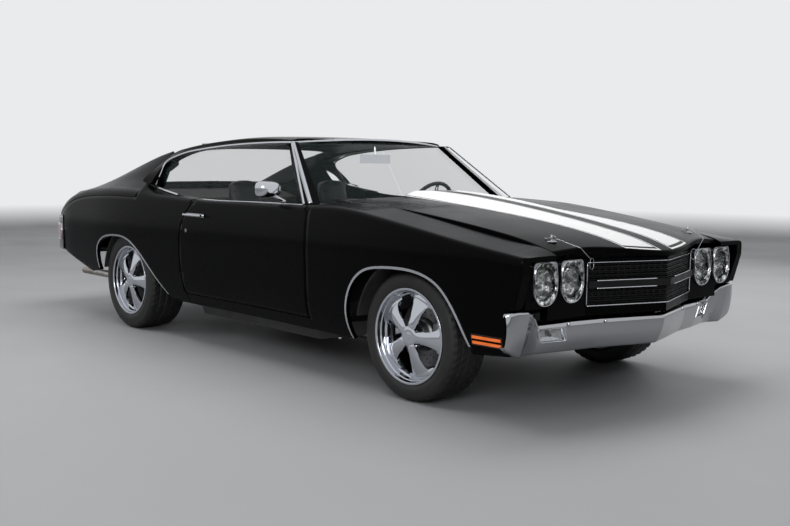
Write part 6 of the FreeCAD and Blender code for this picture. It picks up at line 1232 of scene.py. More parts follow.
def cowl_details():
    """Louvred cowl and the two wiper arms that rest in front of the windshield."""
    slots = []
    for place in np.linspace(-0.52, 0.52, 27):
        if abs(place) >= 0.03:
            x = np.linspace(0.873, 0.9, 4) - 0.055 * (place / 0.7) ** 2
            slots.append(swept(stacked(x - 0.006, place, 0.9406), (0, 0, 1), half_round(0.010, 0.0024, 7)))
    add_piece("cowl_louvres", joined_arrays(slots), "chassis_black", "car_body")
    arms, blades = [], []
    hub = rounded([(0.0, 0.0), (0.0, 0.013), (0.012, 0.012), (0.016, 0.008), (0.017, 0.0)], 0.002)
    for root, tip in (((0.842, 0.42), (0.815, -0.06)), ((0.842, -0.30), (0.800, -0.66))):
        a = np.array((*root, 0.9455))
        b = np.array((*tip, 0.9625))
        arm = smooth_path([a, a + (b - a) * 0.3 + (0, 0, 0.010), a + (b - a) * 0.7 + (0, 0, 0.009), b], 30)
        arms.append(swept(arm, (0, 0, 1), half_round(0.007, 0.003, 7)))
        c = a + (b - a) * 0.36 + (-0.014, 0, 0.004)
        d = b + (b - a) * 0.10 + (-0.016, 0, 0.004)
        blade = smooth_path([c, (c + d) / 2 + (0, 0, 0.003), d], 30)
        blades.append(swept(blade, (0, 0, 1), half_round(0.006, 0.007, 7)))
        arms.append(stood_up(lathe(hub, ORIGIN, 24), a - (0, 0, 0.007)))
    add_piece("wiper_arms", joined_arrays(arms), "wiper_metal", "car_body")
    add_piece("wiper_blades", joined_arrays(blades), "tyre", "car_body")


def marker_bezels():
    """Thin dark rim round the pair of amber bars on each fender."""
    x0, x1, z0, z1 = 2.070, 2.246, 0.3605, 0.4095
    x, z = filled_loop(np.array(((x0, z0), (x1, z0), (x1, z1), (x0, z1))), 20).T
    rim = swept(stacked(x, side_y(x, z) + LIFT, z), (0, 1, 0), half_round(0.0035, 0.003, 7), closed=True)
    add_piece("marker_bezels", pair(rim), "chassis_black", "car_body")


def side_mirror():
    """Silvered glass on the back of the mirror's head: a superellipse with a slight bow."""
    turn = np.linspace(0, 2 * math.pi, 72, endpoint=False)
    square = lambda v: np.abs(v) ** 0.55 * np.sign(v)
    r = np.linspace(0.002, 1, 10)[:, None]
    y = -0.940 + r * 0.070 * square(np.cos(turn))[None]
    z = 1.019 + r * 0.0395 * square(np.sin(turn))[None]
    pane = surface(stacked(0.4838 + 0.0012 * r ** 2, y, z), close_v=True)
    add_piece("mirror_pane", pane, "mirror_glass", "door_right", wall=0.0008)


# Wheels

def lathe(profile, centre, count):
    """Surface of revolution about the axle: (axial place, radius) pairs carried round by an angle."""
    profile = np.array(profile, float)
    angle = np.linspace(0, 2 * math.pi, count, endpoint=False)
    x = centre[0] + profile[None, :, 1] * np.cos(angle)[:, None]
    z = centre[2] + profile[None, :, 1] * np.sin(angle)[:, None]
    y = centre[1] + np.broadcast_to(profile[None, :, 0], x.shape)
    grid = np.stack([x, y, z], 2)
    return grid.reshape(-1, 3), grid_quads(count, len(profile), close_u=True)


def rounded(points, radius, count=5):
    """Profile with each inner corner turned by a quadratic bend of about the given radius."""
    p = np.array(points, float)
    out = [p[0]]
    for a, b, c in zip(p, p[1:], p[2:]):
        r = min(radius, 0.45 * np.linalg.norm(a - b), 0.45 * np.linalg.norm(c - b))
        s = b + (a - b) / max(np.linalg.norm(a - b), 1e-9) * r
        e = b + (c - b) / max(np.linalg.norm(c - b), 1e-9) * r
        f = np.linspace(0, 1, count)[:, None]
        out.extend((1 - f) ** 2 * s + 2 * f * (1 - f) * b + f * f * e)
    out.append(p[-1])
    return np.array(out)


def faced_ahead(arrays, place):
    """Turned part with its axle laid along the car and moved to a place."""
    return arrays[0][:, [1, 0, 2]] + place, arrays[1]


def stood_up(arrays, place):
    """Turned part with its axle upright, moved to a place."""
    return arrays[0][:, [0, 2, 1]] + place, arrays[1]


WINDOW = ((0.047, 0), (0.049, 9), (0.054, 15), (0.062, 18.2), (0.080, 21.5), (0.120, 23.4), (0.150, 22.8),
          (0.175, 21.2), (0.190, 17.5), (0.199, 11), (0.203, 4), (0.2035, 0))


def window_loop(turn):
    """Opening between two spokes, turned to its place: a smooth loop through the table's places and their mirror
    images."""
    r, a = np.array(WINDOW).T
    r = np.concatenate([r, r[-2:0:-1]])
    a = np.radians(np.concatenate([a, -a[-2:0:-1]]))
    corners = np.stack([r * np.cos(a), r * np.sin(a)], 1)
    path = smooth_path(np.vstack([corners, corners[:1]]), 90)[:-1]
    c, s = math.cos(math.radians(turn)), math.sin(math.radians(turn))
    return path @ np.array([[c, s], [-s, c]])


def wheel_face(outer):
    """Five-spoke face: a shallow dish over the wheel's plane, raised along each spoke and trimmed to five windows."""
    radii = np.linspace(0.0, 0.2135, 38)
    radii[0] = 0.004
    angle = np.linspace(0, 2 * math.pi, 130, endpoint=False)
    flat = np.stack([(radii[None] * np.cos(angle)[:, None]).ravel(), (radii[None] * np.sin(angle)[:, None]).ravel()], 1)
    loops = [window_loop(36 + 72 * k) for k in range(5)]
    flat, quads = trim(flat, grid_quads(len(angle), len(radii), close_u=True), loops, [False] * 5)
    r = np.linalg.norm(flat, axis=1)
    turn = np.arctan2(flat[:, 1], flat[:, 0])
    spoke = np.cos(turn * 5) * 0.5 + 0.5
    reach = np.clip((r - 0.05) / 0.16, 0, 1)
    depth = 0.026 + 0.030 * reach ** 1.5 + 0.024 * (1 - spoke) ** 1.3 * np.clip((r - 0.042) / 0.05, 0, 1)
    depth += 0.006 * np.exp(-((r - 0.045) / 0.004) ** 2) - 0.004 * np.exp(-((r - 0.20) / 0.006) ** 2)
    return compact(np.stack([flat[:, 0], outer - depth, flat[:, 1]], 1), quads)


def wheel_part(name, arrays, place, material, finish=None):
    """Part of a wheel worked out for the left side: carried to its wheel, finished and hung on it."""
    end, side, sign, centre = place
    verts, faces = arrays
    piece = put_mesh(f"{name}_{end}_{side}", verts * (1, sign, 1) + centre, faces[:, ::-1] if sign > 0 else faces,
                     MATERIALS[material])
    if finish:
        finish(piece)
    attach(piece, f"wheel_{end}_{side}")
    return piece


def wall_spokes(piece):
    """Gives the wheel's face its thickness and rounds the edges of its windows."""
    solid = piece.modifiers.new("wall", "SOLIDIFY")
    solid.thickness = 0.020
    solid.offset = -1
    bevel = piece.modifiers.new("edge", "BEVEL")
    bevel.width = 0.003
    bevel.segments = 3
    bevel.limit_method = "ANGLE"
    bevel.angle_limit = math.radians(50)
    apply_modifiers(piece)


def wheels():
    """Each wheel from its inner and outer rim planes: turned rim, spoked face, hub cap and disc, then nuts, caliper
    and tyre."""
    for end, axle, radius, width, wheel_y in (("front", FRONT_AXLE, 0.326, 0.245, 0.768),
                                              ("rear", REAR_AXLE, 0.338, 0.275, 0.762)):
        outer = wheel_y + width / 2 - 0.004
        inner = wheel_y - width / 2 + 0.012
        hub_out = outer - 0.020
        rim = rounded([
            (inner, 0.222), (inner, 0.240), (inner + 0.0064, 0.2405), (inner + 0.007, 0.228), (inner + 0.03, 0.2275),
            (inner + 0.06, 0.214), (outer - 0.05, 0.214), (outer - 0.03, 0.2275), (outer - 0.0075, 0.228),
            (outer - 0.0066, 0.2405), (outer, 0.2400), (outer, 0.2290), (outer - 0.004, 0.2265),
            (outer - 0.022, 0.2245), (outer - 0.026, 0.2190), (outer - 0.047, 0.2165), (outer - 0.053, 0.2060),
            (outer - 0.075, 0.2040), (inner + 0.06, 0.2040), (inner + 0.03, 0.2175), (inner + 0.004, 0.2185),
            (inner, 0.222),
        ], 0.0025)
        cap = rounded([
            (hub_out - 0.03, 0.0), (hub_out - 0.03, 0.040), (hub_out + 0.004, 0.0395), (hub_out + 0.006, 0.034),
            (hub_out + 0.003, 0.031), (hub_out + 0.012, 0.0285), (hub_out + 0.015, 0.015), (hub_out + 0.0155, 0.0),
        ], 0.003)
        disc = rounded([
            (wheel_y - 0.028, 0.05), (wheel_y - 0.028, 0.165), (wheel_y - 0.004, 0.165), (wheel_y - 0.004, 0.084),
            (wheel_y + 0.02, 0.080), (wheel_y + 0.03, 0.07), (outer - 0.06, 0.06), (outer - 0.06, 0.01),
        ], 0.002)
        for side, sign in (("left", 1), ("right", -1)):
            place = (end, side, sign, np.array((axle, 0, radius)))
            wheel_part("rim", lathe(rim, ORIGIN, 72), place, "wheel_chrome")
            wheel_part("spokes", wheel_face(outer), place, "wheel_chrome", wall_spokes)
            hub = wheel_part("hub", lathe(cap, ORIGIN, 64), place, "wheel_chrome")
            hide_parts(f"wheel_{end}_{side}")
            wheel_part("rotor", lathe(disc, ORIGIN, 96), place, "rotor_steel")
            wheel_details(place, outer, wheel_y)
            caliper(place, wheel_y)
            tyre(place, radius, width, wheel_y, outer, inner)


def studs(profile, places, count):
    """Small turned parts round the axle, each at an angle in degrees and a distance from it."""
    parts = []
    for turn, reach in places:
        angle = math.radians(turn)
        parts.append(lathe(profile, (reach * math.cos(angle), 0, reach * math.sin(angle)), count))
    return parts


def wheel_details(place, outer, wheel_y):
    """Lug nuts round the cap, the ring of small bolts on it, and short black plugs on the disc's face that are painted
    shade where its drilled holes would be.
    """
    end, side, sign, centre = place
    nut = rounded([(outer - 0.050, 0.0), (outer - 0.050, 0.0098), (outer - 0.026, 0.0092), (outer - 0.0225, 0.006),
                   (outer - 0.0215, 0.0)], 0.001)
    bolt = [(outer - 0.020, 0.0), (outer - 0.020, 0.0024), (outer - 0.0155, 0.0022), (outer - 0.015, 0.0)]
    hole_shade = [(wheel_y - 0.0045, 0.0), (wheel_y - 0.0045, 0.0042), (wheel_y - 0.0034, 0.0040), (wheel_y - 0.0034, 0.0)]
    nuts = studs(nut, [(90 + 72 * k, 0.0560) for k in range(5)], 16)
    nuts += studs(bolt, [(36 * k, 0.0345) for k in range(10)], 8)
    # painted shade: black plugs stand for the shade inside the disc's drilled holes
    hole_shades = studs(hole_shade, [(7.5 * k, (0.108, 0.126, 0.144)[k % 3]) for k in range(48)], 8)
    for name, parts, material in (("lug_nuts", nuts, "wheel_chrome"), ("disc_hole_shades", hole_shades, "grille_black")):
        verts, faces = joined_arrays(parts)
        add_piece(f"{name}_{end}_{side}", (verts * (1, sign, 1) + centre, faces), material, f"wheel_{end}_{side}")


def caliper(place, wheel_y):
    """Finned brake caliper that bridges the disc ahead of the axle: a superellipse carried along an arc, its width cut
    by the fins."""
    end, side, sign, centre = place
    turn, w = np.meshgrid(np.linspace(-0.55, 0.55, 40), np.linspace(0, 2 * math.pi, 32, endpoint=False), indexing="ij")
    radial = 0.146 + 0.026 * np.abs(np.cos(w)) ** 0.5 * np.sign(np.cos(w)) * (1 - (turn / 0.60) ** 8)
    fins = 1 - 0.08 * (np.cos(turn * 44) > 0.2)
    out = 0.020 * np.abs(np.sin(w)) ** 0.4 * np.sign(np.sin(w)) * fins + wheel_y + 0.016
    verts, faces = surface(capped(np.stack([radial * np.cos(turn), out, radial * np.sin(turn)], 2)), close_v=True)
    body = f"knuckle_{side}" if end == "front" else "car_body"
    add_piece(f"caliper_{end}_{side}", (verts * (1, sign, 1) + centre, faces), "caliper_silver", body)


def tyre(place, radius, width, wheel_y, outer, inner):
    """Tyre: a closed profile carried round the axle, its radius cut by four straight grooves and slanting sipes."""
    end, side = place[:2]
    half = width / 2
    lo, hi = wheel_y - half, wheel_y + half
    seat_in, seat_out = inner + 0.0067, outer - 0.0067
    side_in = smooth_path([
        (seat_in, 0.2283), (seat_in, 0.2408), (lo + 0.004, 0.250), (lo, 0.272), (lo + 0.003, 0.295),
        (lo + 0.0075, radius - 0.019), (lo + 0.026, radius - 0.0025),
    ], 16)
    side_out = smooth_path([
        (hi - 0.026, radius - 0.0025), (hi - 0.0075, radius - 0.019), (hi - 0.003, 0.295), (hi, 0.272),
        (hi - 0.004, 0.250), (seat_out, 0.2408), (seat_out, 0.2283),
    ], 16)
    across = np.linspace(lo + 0.026, hi - 0.026, 48)[1:-1]
    crown = radius - 0.0025 * (2 * (across - wheel_y) / (width - 0.052)) ** 2
    profile = np.vstack([side_in, np.stack([across, crown], 1), side_out])
    count = 240
    angle = np.linspace(0, 2 * math.pi, count, endpoint=False)
    y = np.broadcast_to(profile[None, :, 0], (count, len(profile)))
    r = np.broadcast_to(profile[None, :, 1], y.shape).copy()
    u = (y - wheel_y) / (half - 0.02)
    on_tread = np.clip((r - (radius - 0.014)) / 0.006, 0, 1)
    ring = np.zeros_like(r)
    for groove in (-0.62, -0.21, 0.21, 0.62):
        ring = np.maximum(ring, 1 - np.clip((np.abs(u - groove) - 0.028) / 0.02, 0, 1))
    pitch = angle[:, None] / (2 * math.pi) * 48 + np.abs(u) * 1.6
    sipe = 1 - np.clip((np.abs(pitch % 1 - 0.5) - 0.10) / 0.06, 0, 1)
    sipe = sipe * (np.abs(u) > 0.24)
    r -= on_tread * np.maximum(ring * 0.007, sipe * 0.005)
    wall_line = 0.0007 * (np.abs(r - 0.262) < 0.0022) * (np.abs(u) > 0.95)
    y = y + np.sign(y - wheel_y) * wall_line
    x = r * np.cos(angle)[:, None]
    z = np.maximum(r * np.sin(angle)[:, None], 0.0004 - radius)
    piece = wheel_part("tread", surface(np.stack([x, y, z], 2), True, True), place, "tyre")
    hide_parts(f"tyre_{end}_{side}")


# Rear end

REAR_END_X = -2.290
REAR_SIDE_X = -2.459
REAR_LIMIT_X = -2.5043
CORNER_DEPTH = 0.084
BAR_LOW, BAR_HIGH = 0.484, 0.749


def bar_outline(count, grow=0.0):
    """Plan of the rear bar from one end to the other: a bow as the square of the place, and a quarter ellipse at each
    corner."""
    turn_y = float(widest(np.array(REAR_END_X))) + 0.008 - CORNER_DEPTH
    angle = np.linspace(0, math.pi / 2, 40)
    corner = np.stack([REAR_END_X + (REAR_SIDE_X - REAR_END_X) * np.sin(angle),
                       turn_y + CORNER_DEPTH * np.cos(angle)], 1)
    share = np.linspace(1, 0, 60)[1:]
    bow = np.stack([-HALF_LENGTH + (REAR_SIDE_X + HALF_LENGTH) * share ** 2, turn_y * share], 1)
    half = np.vstack([corner, bow])
    whole = np.vstack([half, half[-2::-1] * (1, -1)])
    run = run_length(whole)
    even = np.linspace(0, run[-1], count)
    path = np.stack([np.interp(even, run, whole[:, 0]), np.interp(even, run, whole[:, 1])], 1)
    along = np.gradient(path, axis=0)
    along /= np.linalg.norm(along, axis=1, keepdims=True)
    out = np.stack([-along[:, 1], along[:, 0]], 1)
    out *= np.sign(np.sum(out * (path - (REAR_END_X + 0.5, 0)), 1, keepdims=True))
    return path + out * grow, out


def pushed_out(path, out, depth, z):
    """Grid of points at heights z along a plan, each moved outwards by its depth."""
    return stacked(path[:, 0:1] + out[:, 0:1] * depth, path[:, 1:2] + out[:, 1:2] * depth, z[None])


def rear_bumper():
    """Chrome bar round the tail: an upright face with rolled edges, carried along the bar's plan."""
    path, out = bar_outline(300)
    roll = 0.012
    turn = np.linspace(0, math.pi / 2, 7)
    upper = np.stack([-roll + roll * np.sin(turn), BAR_HIGH - roll + roll * np.cos(turn)], 1)
    z = np.linspace(BAR_HIGH - roll, BAR_LOW + roll, 24)[1:-1]
    face = np.stack([np.zeros_like(z), z], 1)
    lower = np.stack([-roll + roll * np.cos(turn), BAR_LOW + roll - roll * np.sin(turn)], 1)
    profile = np.vstack([[(-0.028, BAR_HIGH)], upper, face, lower, [(-0.024, BAR_LOW)]])
    grid = pushed_out(path, out, profile[None, :, 0], profile[:, 1])
    grid[..., 0] = np.maximum(grid[..., 0], REAR_LIMIT_X)
    verts, quads = surface(grid)
    mid = verts[quads].mean(1)
    lamp = (np.abs(mid[:, 1]) > 0.562) & (mid[:, 2] > 0.562) & (mid[:, 2] < 0.678) & (mid[:, 0] < REAR_END_X - 0.014)
    add_piece("rear_bumper_face", (verts, quads[~lamp]), "bumper_chrome", "car_body", wall=0.002,
              sharp=35)


def tail_lamps():
    """Ribbed red lamps let into the bar, each with a bright rim."""
    path, out = bar_outline(450, 0.0035)
    keep = (path[:, 1] > 0.566) & (path[:, 0] < REAR_END_X - 0.018)
    path, out = path[keep], out[keep]
    z = np.linspace(0.5635, 0.6765, 44)
    edge = np.clip((0.0565 - np.abs(z - 0.62)) / 0.006, 0, 1)
    push = 0.0022 * np.sin(edge * math.pi / 2) + 0.0010 * np.cos((z - 0.5635) * 2 * math.pi / 0.0113) * edge
    run = run_length(path)
    ends = np.clip(np.minimum(run, run[-1] - run) / 0.006, 0, 1)[:, None]
    amount = push[None] * ends - 0.002 * (1 - ends)
    glass = surface(pushed_out(path, out, amount, z))
    add_piece("tail_lamp_glass", pair(glass), "red_lens", "car_body", wall=0.002, replaces=["tail_lamps"])
    there, back = slice(None, None, 5), slice(None, None, -5)
    around = lambda rows: np.concatenate([rows[there], rows[-1:], rows[back], rows[:1]])
    height = np.concatenate([np.full(len(path[there]), 0.6785), [0.62], np.full(len(path[back]), 0.5615), [0.62]])
    cut = stacked(*around(path).T, height)
    outward = stacked(*around(out).T, 0.0)
    rim = swept(cut + outward * -0.001, outward, half_round(0.007, 0.006, 7), closed=True)
    add_piece("tail_lamp_rims", pair(rim), "chrome", "car_body")


# Cabin

def pillow(half, power, centre, count=33):
    """Superellipsoid: each half-size times signed powers of the cosines and sines of two angles."""
    bend = lambda v: np.abs(v) ** power * np.sign(v)
    u, v = np.meshgrid(np.linspace(-math.pi, math.pi, count * 2, endpoint=False),
                       np.linspace(-math.pi / 2, math.pi / 2, count), indexing="ij")
    grid = np.stack([half[0] * bend(np.cos(v)) * bend(np.cos(u)), half[1] * bend(np.cos(v)) * bend(np.sin(u)),
                     half[2] * bend(np.sin(v))], 2)
    verts, quads = surface(grid, close_u=True)
    return verts + centre, quads


def leaned(arrays, foot, lean):
    """Shears a form backwards in proportion to its height over the foot."""
    verts = arrays[0].copy()
    verts[:, 0] -= (verts[:, 2] - foot) * lean
    return verts, arrays[1]


def corners_of(piece):
    """Places of the piece's vertices, one row each."""
    co = np.empty(len(piece.data.vertices) * 3)
    piece.data.vertices.foreach_get("co", co)
    return co.reshape(-1, 3)


def inflated(piece, voxel, cap):
    """Fills the cover by a short cloth run with inner pressure; no point moves more than the cap."""
    tidy_mesh(piece)
    remesh = piece.modifiers.new("remesh", "REMESH")
    remesh.mode = "VOXEL"
    remesh.voxel_size = voxel
    apply_modifiers(piece)
    before = corners_of(piece)
    cloth = piece.modifiers.new("cover", "CLOTH")
    cloth.settings.use_pressure = True
    cloth.settings.uniform_pressure_force = 4.0
    cloth.settings.quality = 5
    cloth.settings.effector_weights.gravity = 0
    cloth.point_cache.frame_start = 1
    cloth.point_cache.frame_end = 20
    scene = bpy.context.scene
    for step in range(1, 21):
        scene.frame_set(step)
    apply_modifiers(piece)
    scene.frame_set(1)
    move = corners_of(piece) - before
    far = np.linalg.norm(move, axis=1, keepdims=True)
    after = before + move * np.minimum(1, cap / np.maximum(far, 1e-9))
    piece.data.vertices.foreach_set("co", after.ravel())
    piece.data.update()


def sewn(piece, along, across, low, high, pitch, depth, span):
    """Presses channels into the cover: a narrow dip every pitch across a panel, faded out at the panel's ends."""
    co = corners_of(piece)
    normal = np.empty(co.size)
    piece.data.vertex_normals.foreach_get("vector", normal)
    place = (co[:, across] - low) / pitch
    groove = np.exp(-((place - np.round(place)) * pitch / 0.0045) ** 2)
    panel = np.clip((co[:, across] - low + 0.004) / 0.003, 0, 1) * np.clip((high + 0.004 - co[:, across]) / 0.003, 0, 1)
    panel *= np.clip((co[:, along] - span[0]) / 0.03, 0, 1) * np.clip((span[1] - co[:, along]) / 0.03, 0, 1)
    co -= normal.reshape(-1, 3) * (depth * groove * panel)[:, None]
    piece.data.vertices.foreach_set("co", co.ravel())
    piece.data.polygons.foreach_set("use_smooth", np.ones(len(piece.data.polygons), bool))
    piece.data.update()


def other_side(piece, name):
    """Mirror image of a piece across the middle of the car."""
    mesh = piece.data.copy()
    mesh.vertices.foreach_set("co", (corners_of(piece) * (1, -1, 1)).ravel())
    mesh.flip_normals()
    twin = bpy.data.objects.new(name, mesh)
    bpy.context.scene.collection.objects.link(twin)
    return twin


def pad(name, arrays, voxel, cap, channels):
    """Cover that is filled by pressure and then sewn."""
    piece = put_mesh(name, *compact(*arrays), MATERIALS["black_vinyl"])
    inflated(piece, voxel, cap)
    sewn(piece, *channels)
    return piece


def settle(piece, node):
    """Gives a pad its vinyl, its body and the seat that it stands for."""
    piece.data.materials.clear()
    piece.data.materials.append(MATERIALS["black_vinyl"])
    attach(piece, "car_body")
    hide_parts(node)


def seats():
    """Two bucket seats with head restraints and a bench behind, each pad a crowned form filled by pressure."""
    y = SEAT_Y
    low, high = y - 0.135, y + 0.135
    cushion = pad("front_cushion_left", pillow((0.232, 0.226, 0.066), 0.42, (-0.118, y, 0.418)), 0.006, 0.009,
                  (0, 1, low, high, 0.045, 0.004, (-0.30, 0.06)))
    back = pad("front_back_left", leaned(pillow((0.048, 0.226, 0.205), 0.42, (-0.412, y, 0.652)), 0.652, 0.40),
               0.006, 0.008, (2, 1, low, high, 0.045, 0.004, (0.50, 0.80)))
    rest = pad("head_restraint_left", leaned(pillow((0.041, 0.118, 0.088), 0.45, (-0.563, y, 0.953)), 0.953, 0.12),
               0.005, 0.006, (2, 1, y - 0.2, y + 0.2, 1.0, 0.0, (0.0, 0.01)))
    for piece in (cushion, back, rest):
        twin = other_side(piece, piece.name.replace("left", "right"))
        settle(piece, "front_seats")
        settle(twin, "front_seats")
    bench = pad("rear_cushion", pillow((0.195, 0.565, 0.070), 0.36, (-0.905, 0, 0.480)), 0.010, 0.009,
                (0, 1, -0.49, 0.49, 0.070, 0.005, (-1.05, -0.76)))
    settle(bench, "rear_seat")
    back = pad("rear_back", leaned(pillow((0.055, 0.565, 0.165), 0.40, (-1.068, 0, 0.700)), 0.700, 0.22), 0.010, 0.009,
               (2, 1, -0.49, 0.49, 0.070, 0.005, (0.58, 0.82)))
    settle(back, "rear_seat")
    posts, tracks = [], []
    for sign in (1, -1):
        for x in (-0.30, 0.02):
            tracks.append(pillow((0.010, 0.165, 0.018), 0.3, (x, sign * y, 0.338), 16))
        for place in (-0.16, 0.16):
            tracks.append(pillow((0.215, 0.013, 0.030), 0.25, (-0.13, sign * (y + place), 0.308), 16))
        for place in (-0.045, 0.045):
            post = np.array(((-0.556, sign * (y + place), 0.835), (-0.562, sign * (y + place), 0.92)))
            posts.append(swept(post, (1, 0, 0), ring_section(0.006)))
    add_piece("seat_tracks", joined_arrays(tracks), "axle_iron", "car_body")
    add_piece("restraint_posts", joined_arrays(posts), "chrome", "car_body")


def steering_wheel():
    """Rim and boss round the column's axis, with three slotted bright spokes."""
    tilt = math.radians(24)
    centre = np.array((0.455, SEAT_Y, 0.880))
    axis = np.array((math.cos(tilt), 0, -math.sin(tilt)))
    across = np.array((0.0, 1.0, 0.0))
    down = np.cross(axis, across)
    turn = np.linspace(0, 2 * math.pi, 144, endpoint=False)
    reach = 0.185
    ring = centre + reach * (np.cos(turn)[:, None] * across + np.sin(turn)[:, None] * down)
    around = np.linspace(0, 2 * math.pi, 16, endpoint=False)[None, :, None]
    radius = (0.0125 - 0.0008 * np.cos(turn * 36))[:, None, None]
    out = (ring - centre) / reach
    rim = surface(ring[:, None] + radius * (np.cos(around) * out[:, None] + np.sin(around) * axis), True, True)
    add_piece("steering_rim", rim, "black_vinyl", "steering_wheel", replaces=["steering_wheel"])
    parts = []
    for k in range(3):
        angle = math.radians(90 + 120 * k)
        ray = across * math.cos(angle) + down * math.sin(angle)
        side = np.cross(axis, ray)
        s, w = np.meshgrid(np.linspace(0.03, 0.176, 30), np.linspace(-1, 1, 9), indexing="ij")
        half = 0.019 - 0.006 * (s - 0.03) / 0.146
        dish = 0.014 * (1 - (s / 0.176) ** 2)
        sheet = centre + s[..., None] * ray + (w * half)[..., None] * side + dish[..., None] * axis
        verts, quads = surface(sheet)
        place = s.ravel()[quads].mean(1)
        slot = np.zeros(len(quads), bool)
        for near, far in ((0.07, 0.095), (0.105, 0.13), (0.14, 0.16)):
            slot |= (place > near) & (place < far)
        slot &= np.abs(w.ravel()[quads].mean(1)) < 0.45
        parts.append(compact(verts, quads[~slot]))
    add_piece("steering_spokes", joined_arrays(parts), "bright_silver", "steering_wheel", wall=0.004)
    profile = rounded([(-0.010, 0.0), (-0.010, 0.030), (0.0, 0.042), (0.014, 0.044), (0.026, 0.036), (0.026, 0.0)],
                      0.006)
    angle = turn[::3, None, None]
    cup = profile[None, :, 1, None] * (np.cos(angle) * across + np.sin(angle) * down)
    boss = surface(centre + cup + profile[None, :, 0, None] * axis, close_u=True)
    add_piece("steering_boss", boss, "black_vinyl", "steering_wheel")


def dash_details():
    """Padded roll over the dashboard, and three bright-ringed gauges with needles."""
    y = np.linspace(-0.755, 0.755, 60)
    roll = np.stack([np.full_like(y, 0.584), y, 0.9135 - 0.004 * (y / 0.755) ** 2], 1)
    add_piece("dash_pad", swept(roll, (0, 0, 1), half_round(0.050, 0.004, 13)), "black_vinyl", "car_body")
    rings, needles = [], []
    turn = np.linspace(0, 2 * math.pi, 40, endpoint=False)
    x = 0.5585 - 0.0035
    for place in (0.27, 0.38, 0.49):
        loop = stacked(x, place + 0.040 * np.cos(turn), 0.846 + 0.040 * np.sin(turn))
        rings.append(swept(loop, (1, 0, 0), ring_section(0.0022), closed=True))
        tip = np.array(((x, place, 0.846), (x, place - 0.02, 0.868)))
        needles.append(swept(tip, (1, 0, 0), ring_section(0.0011, 6)))
    add_piece("gauge_rings", joined_arrays(rings + needles), "bright_silver", "car_body")


# Studio

def pale_rays(nodes, links):
    """1 for what the camera, a mirror or a pane sees straight, 0 for light that falls on a surface."""
    path = nodes.new("ShaderNodeLightPath")
    seen = maths(nodes, links, "MAXIMUM", path.outputs["Is Camera Ray"], path.outputs["Is Glossy Ray"])
    return maths(nodes, links, "MAXIMUM", seen, path.outputs["Is Transmission Ray"])


def studio():
    """Plain pale floor that curves up into a white backdrop, with broad soft lamps above and beside the car."""
    scene = bpy.context.scene
    scene.view_settings.view_transform = "Standard"
    world = bpy.data.worlds.new("studio")
    scene.world = world
    world.use_nodes = True
    nodes, links = world.node_tree.nodes, world.node_tree.links
    background = nodes["Background"]
    background.inputs["Color"].default_value = (0.88, 0.89, 0.91, 1)
    raised = maths(nodes, links, "MULTIPLY", pale_rays(nodes, links), 0.55)
    links.new(maths(nodes, links, "ADD", raised, 0.42), background.inputs["Strength"])
    mat, nodes, links, bsdf = shader("studio_floor", (0.36, 0.365, 0.375), 0.6)
    vector = object_coordinates(nodes, links)
    spots = noise(nodes, links, vector, 1.2, 4.0)
    links.new(ranged(nodes, links, spots, 0.3, 0.7, 0.52, 0.66), bsdf.inputs["Roughness"])
    parts = nodes.new("ShaderNodeSeparateXYZ")
    links.new(vector, parts.inputs["Vector"])
    wall = ranged(nodes, links, parts.outputs["Z"], 0.01, 0.35, 0.0, 1.0)
    glow = nodes.new("ShaderNodeEmission")
    glow.inputs["Color"].default_value = (0.82, 0.83, 0.845, 1)
    blend = nodes.new("ShaderNodeMixShader")
    links.new(maths(nodes, links, "MULTIPLY", pale_rays(nodes, links), wall), blend.inputs[0])
    links.new(bsdf.outputs[0], blend.inputs[1])
    links.new(glow.outputs[0], blend.inputs[2])
    links.new(blend.outputs[0], nodes["Material Output"].inputs["Surface"])
    angle = np.linspace(0, 2 * math.pi, 128, endpoint=False)
    rise = np.linspace(0.1, math.pi / 2, 12)
    radius = np.concatenate([[0.01], np.linspace(2, 12, 12), 12 + 3 * np.sin(rise), [15.0]])
    height = np.concatenate([[0.0], np.zeros(12), 3 * (1 - np.cos(rise)), [9.0]])
    grid = stacked(radius * np.cos(angle)[:, None], radius * np.sin(angle)[:, None], height)
    floor = put_mesh("studio_floor", *surface(grid, close_u=True), mat)
    for name, place, target, size, power, colour in (
            ("overhead", (0.5, 0.0, 5.2), (0.2, 0, 0), (6.5, 2.6), 240, (1, 0.99, 0.97)),
            ("front_side", (5.5, -6.0, 3.2), (0.5, 0, 0.6), (3.5, 2.2), 150, (1, 1, 1)),
            ("rear_side", (-5.5, -5.0, 3.4), (-0.5, 0, 0.7), (3.5, 2.2), 110, (0.97, 0.98, 1)),
            ("far_side", (1.0, 6.5, 3.6), (0, 0, 0.8), (5.0, 2.0), 120, (1, 1, 1))):
        lamp = bpy.data.lights.new(name, "AREA")
        lamp.shape = "RECTANGLE"
        lamp.size, lamp.size_y = size
        lamp.energy = power
        lamp.color = colour
        light = bpy.data.objects.new(name, lamp)
        light.location = place
        light.visible_glossy = name == "front_side"
        light.rotation_euler = (Vector(target) - Vector(place)).to_track_quat("-Z", "Y").to_euler()
        scene.collection.objects.link(light)


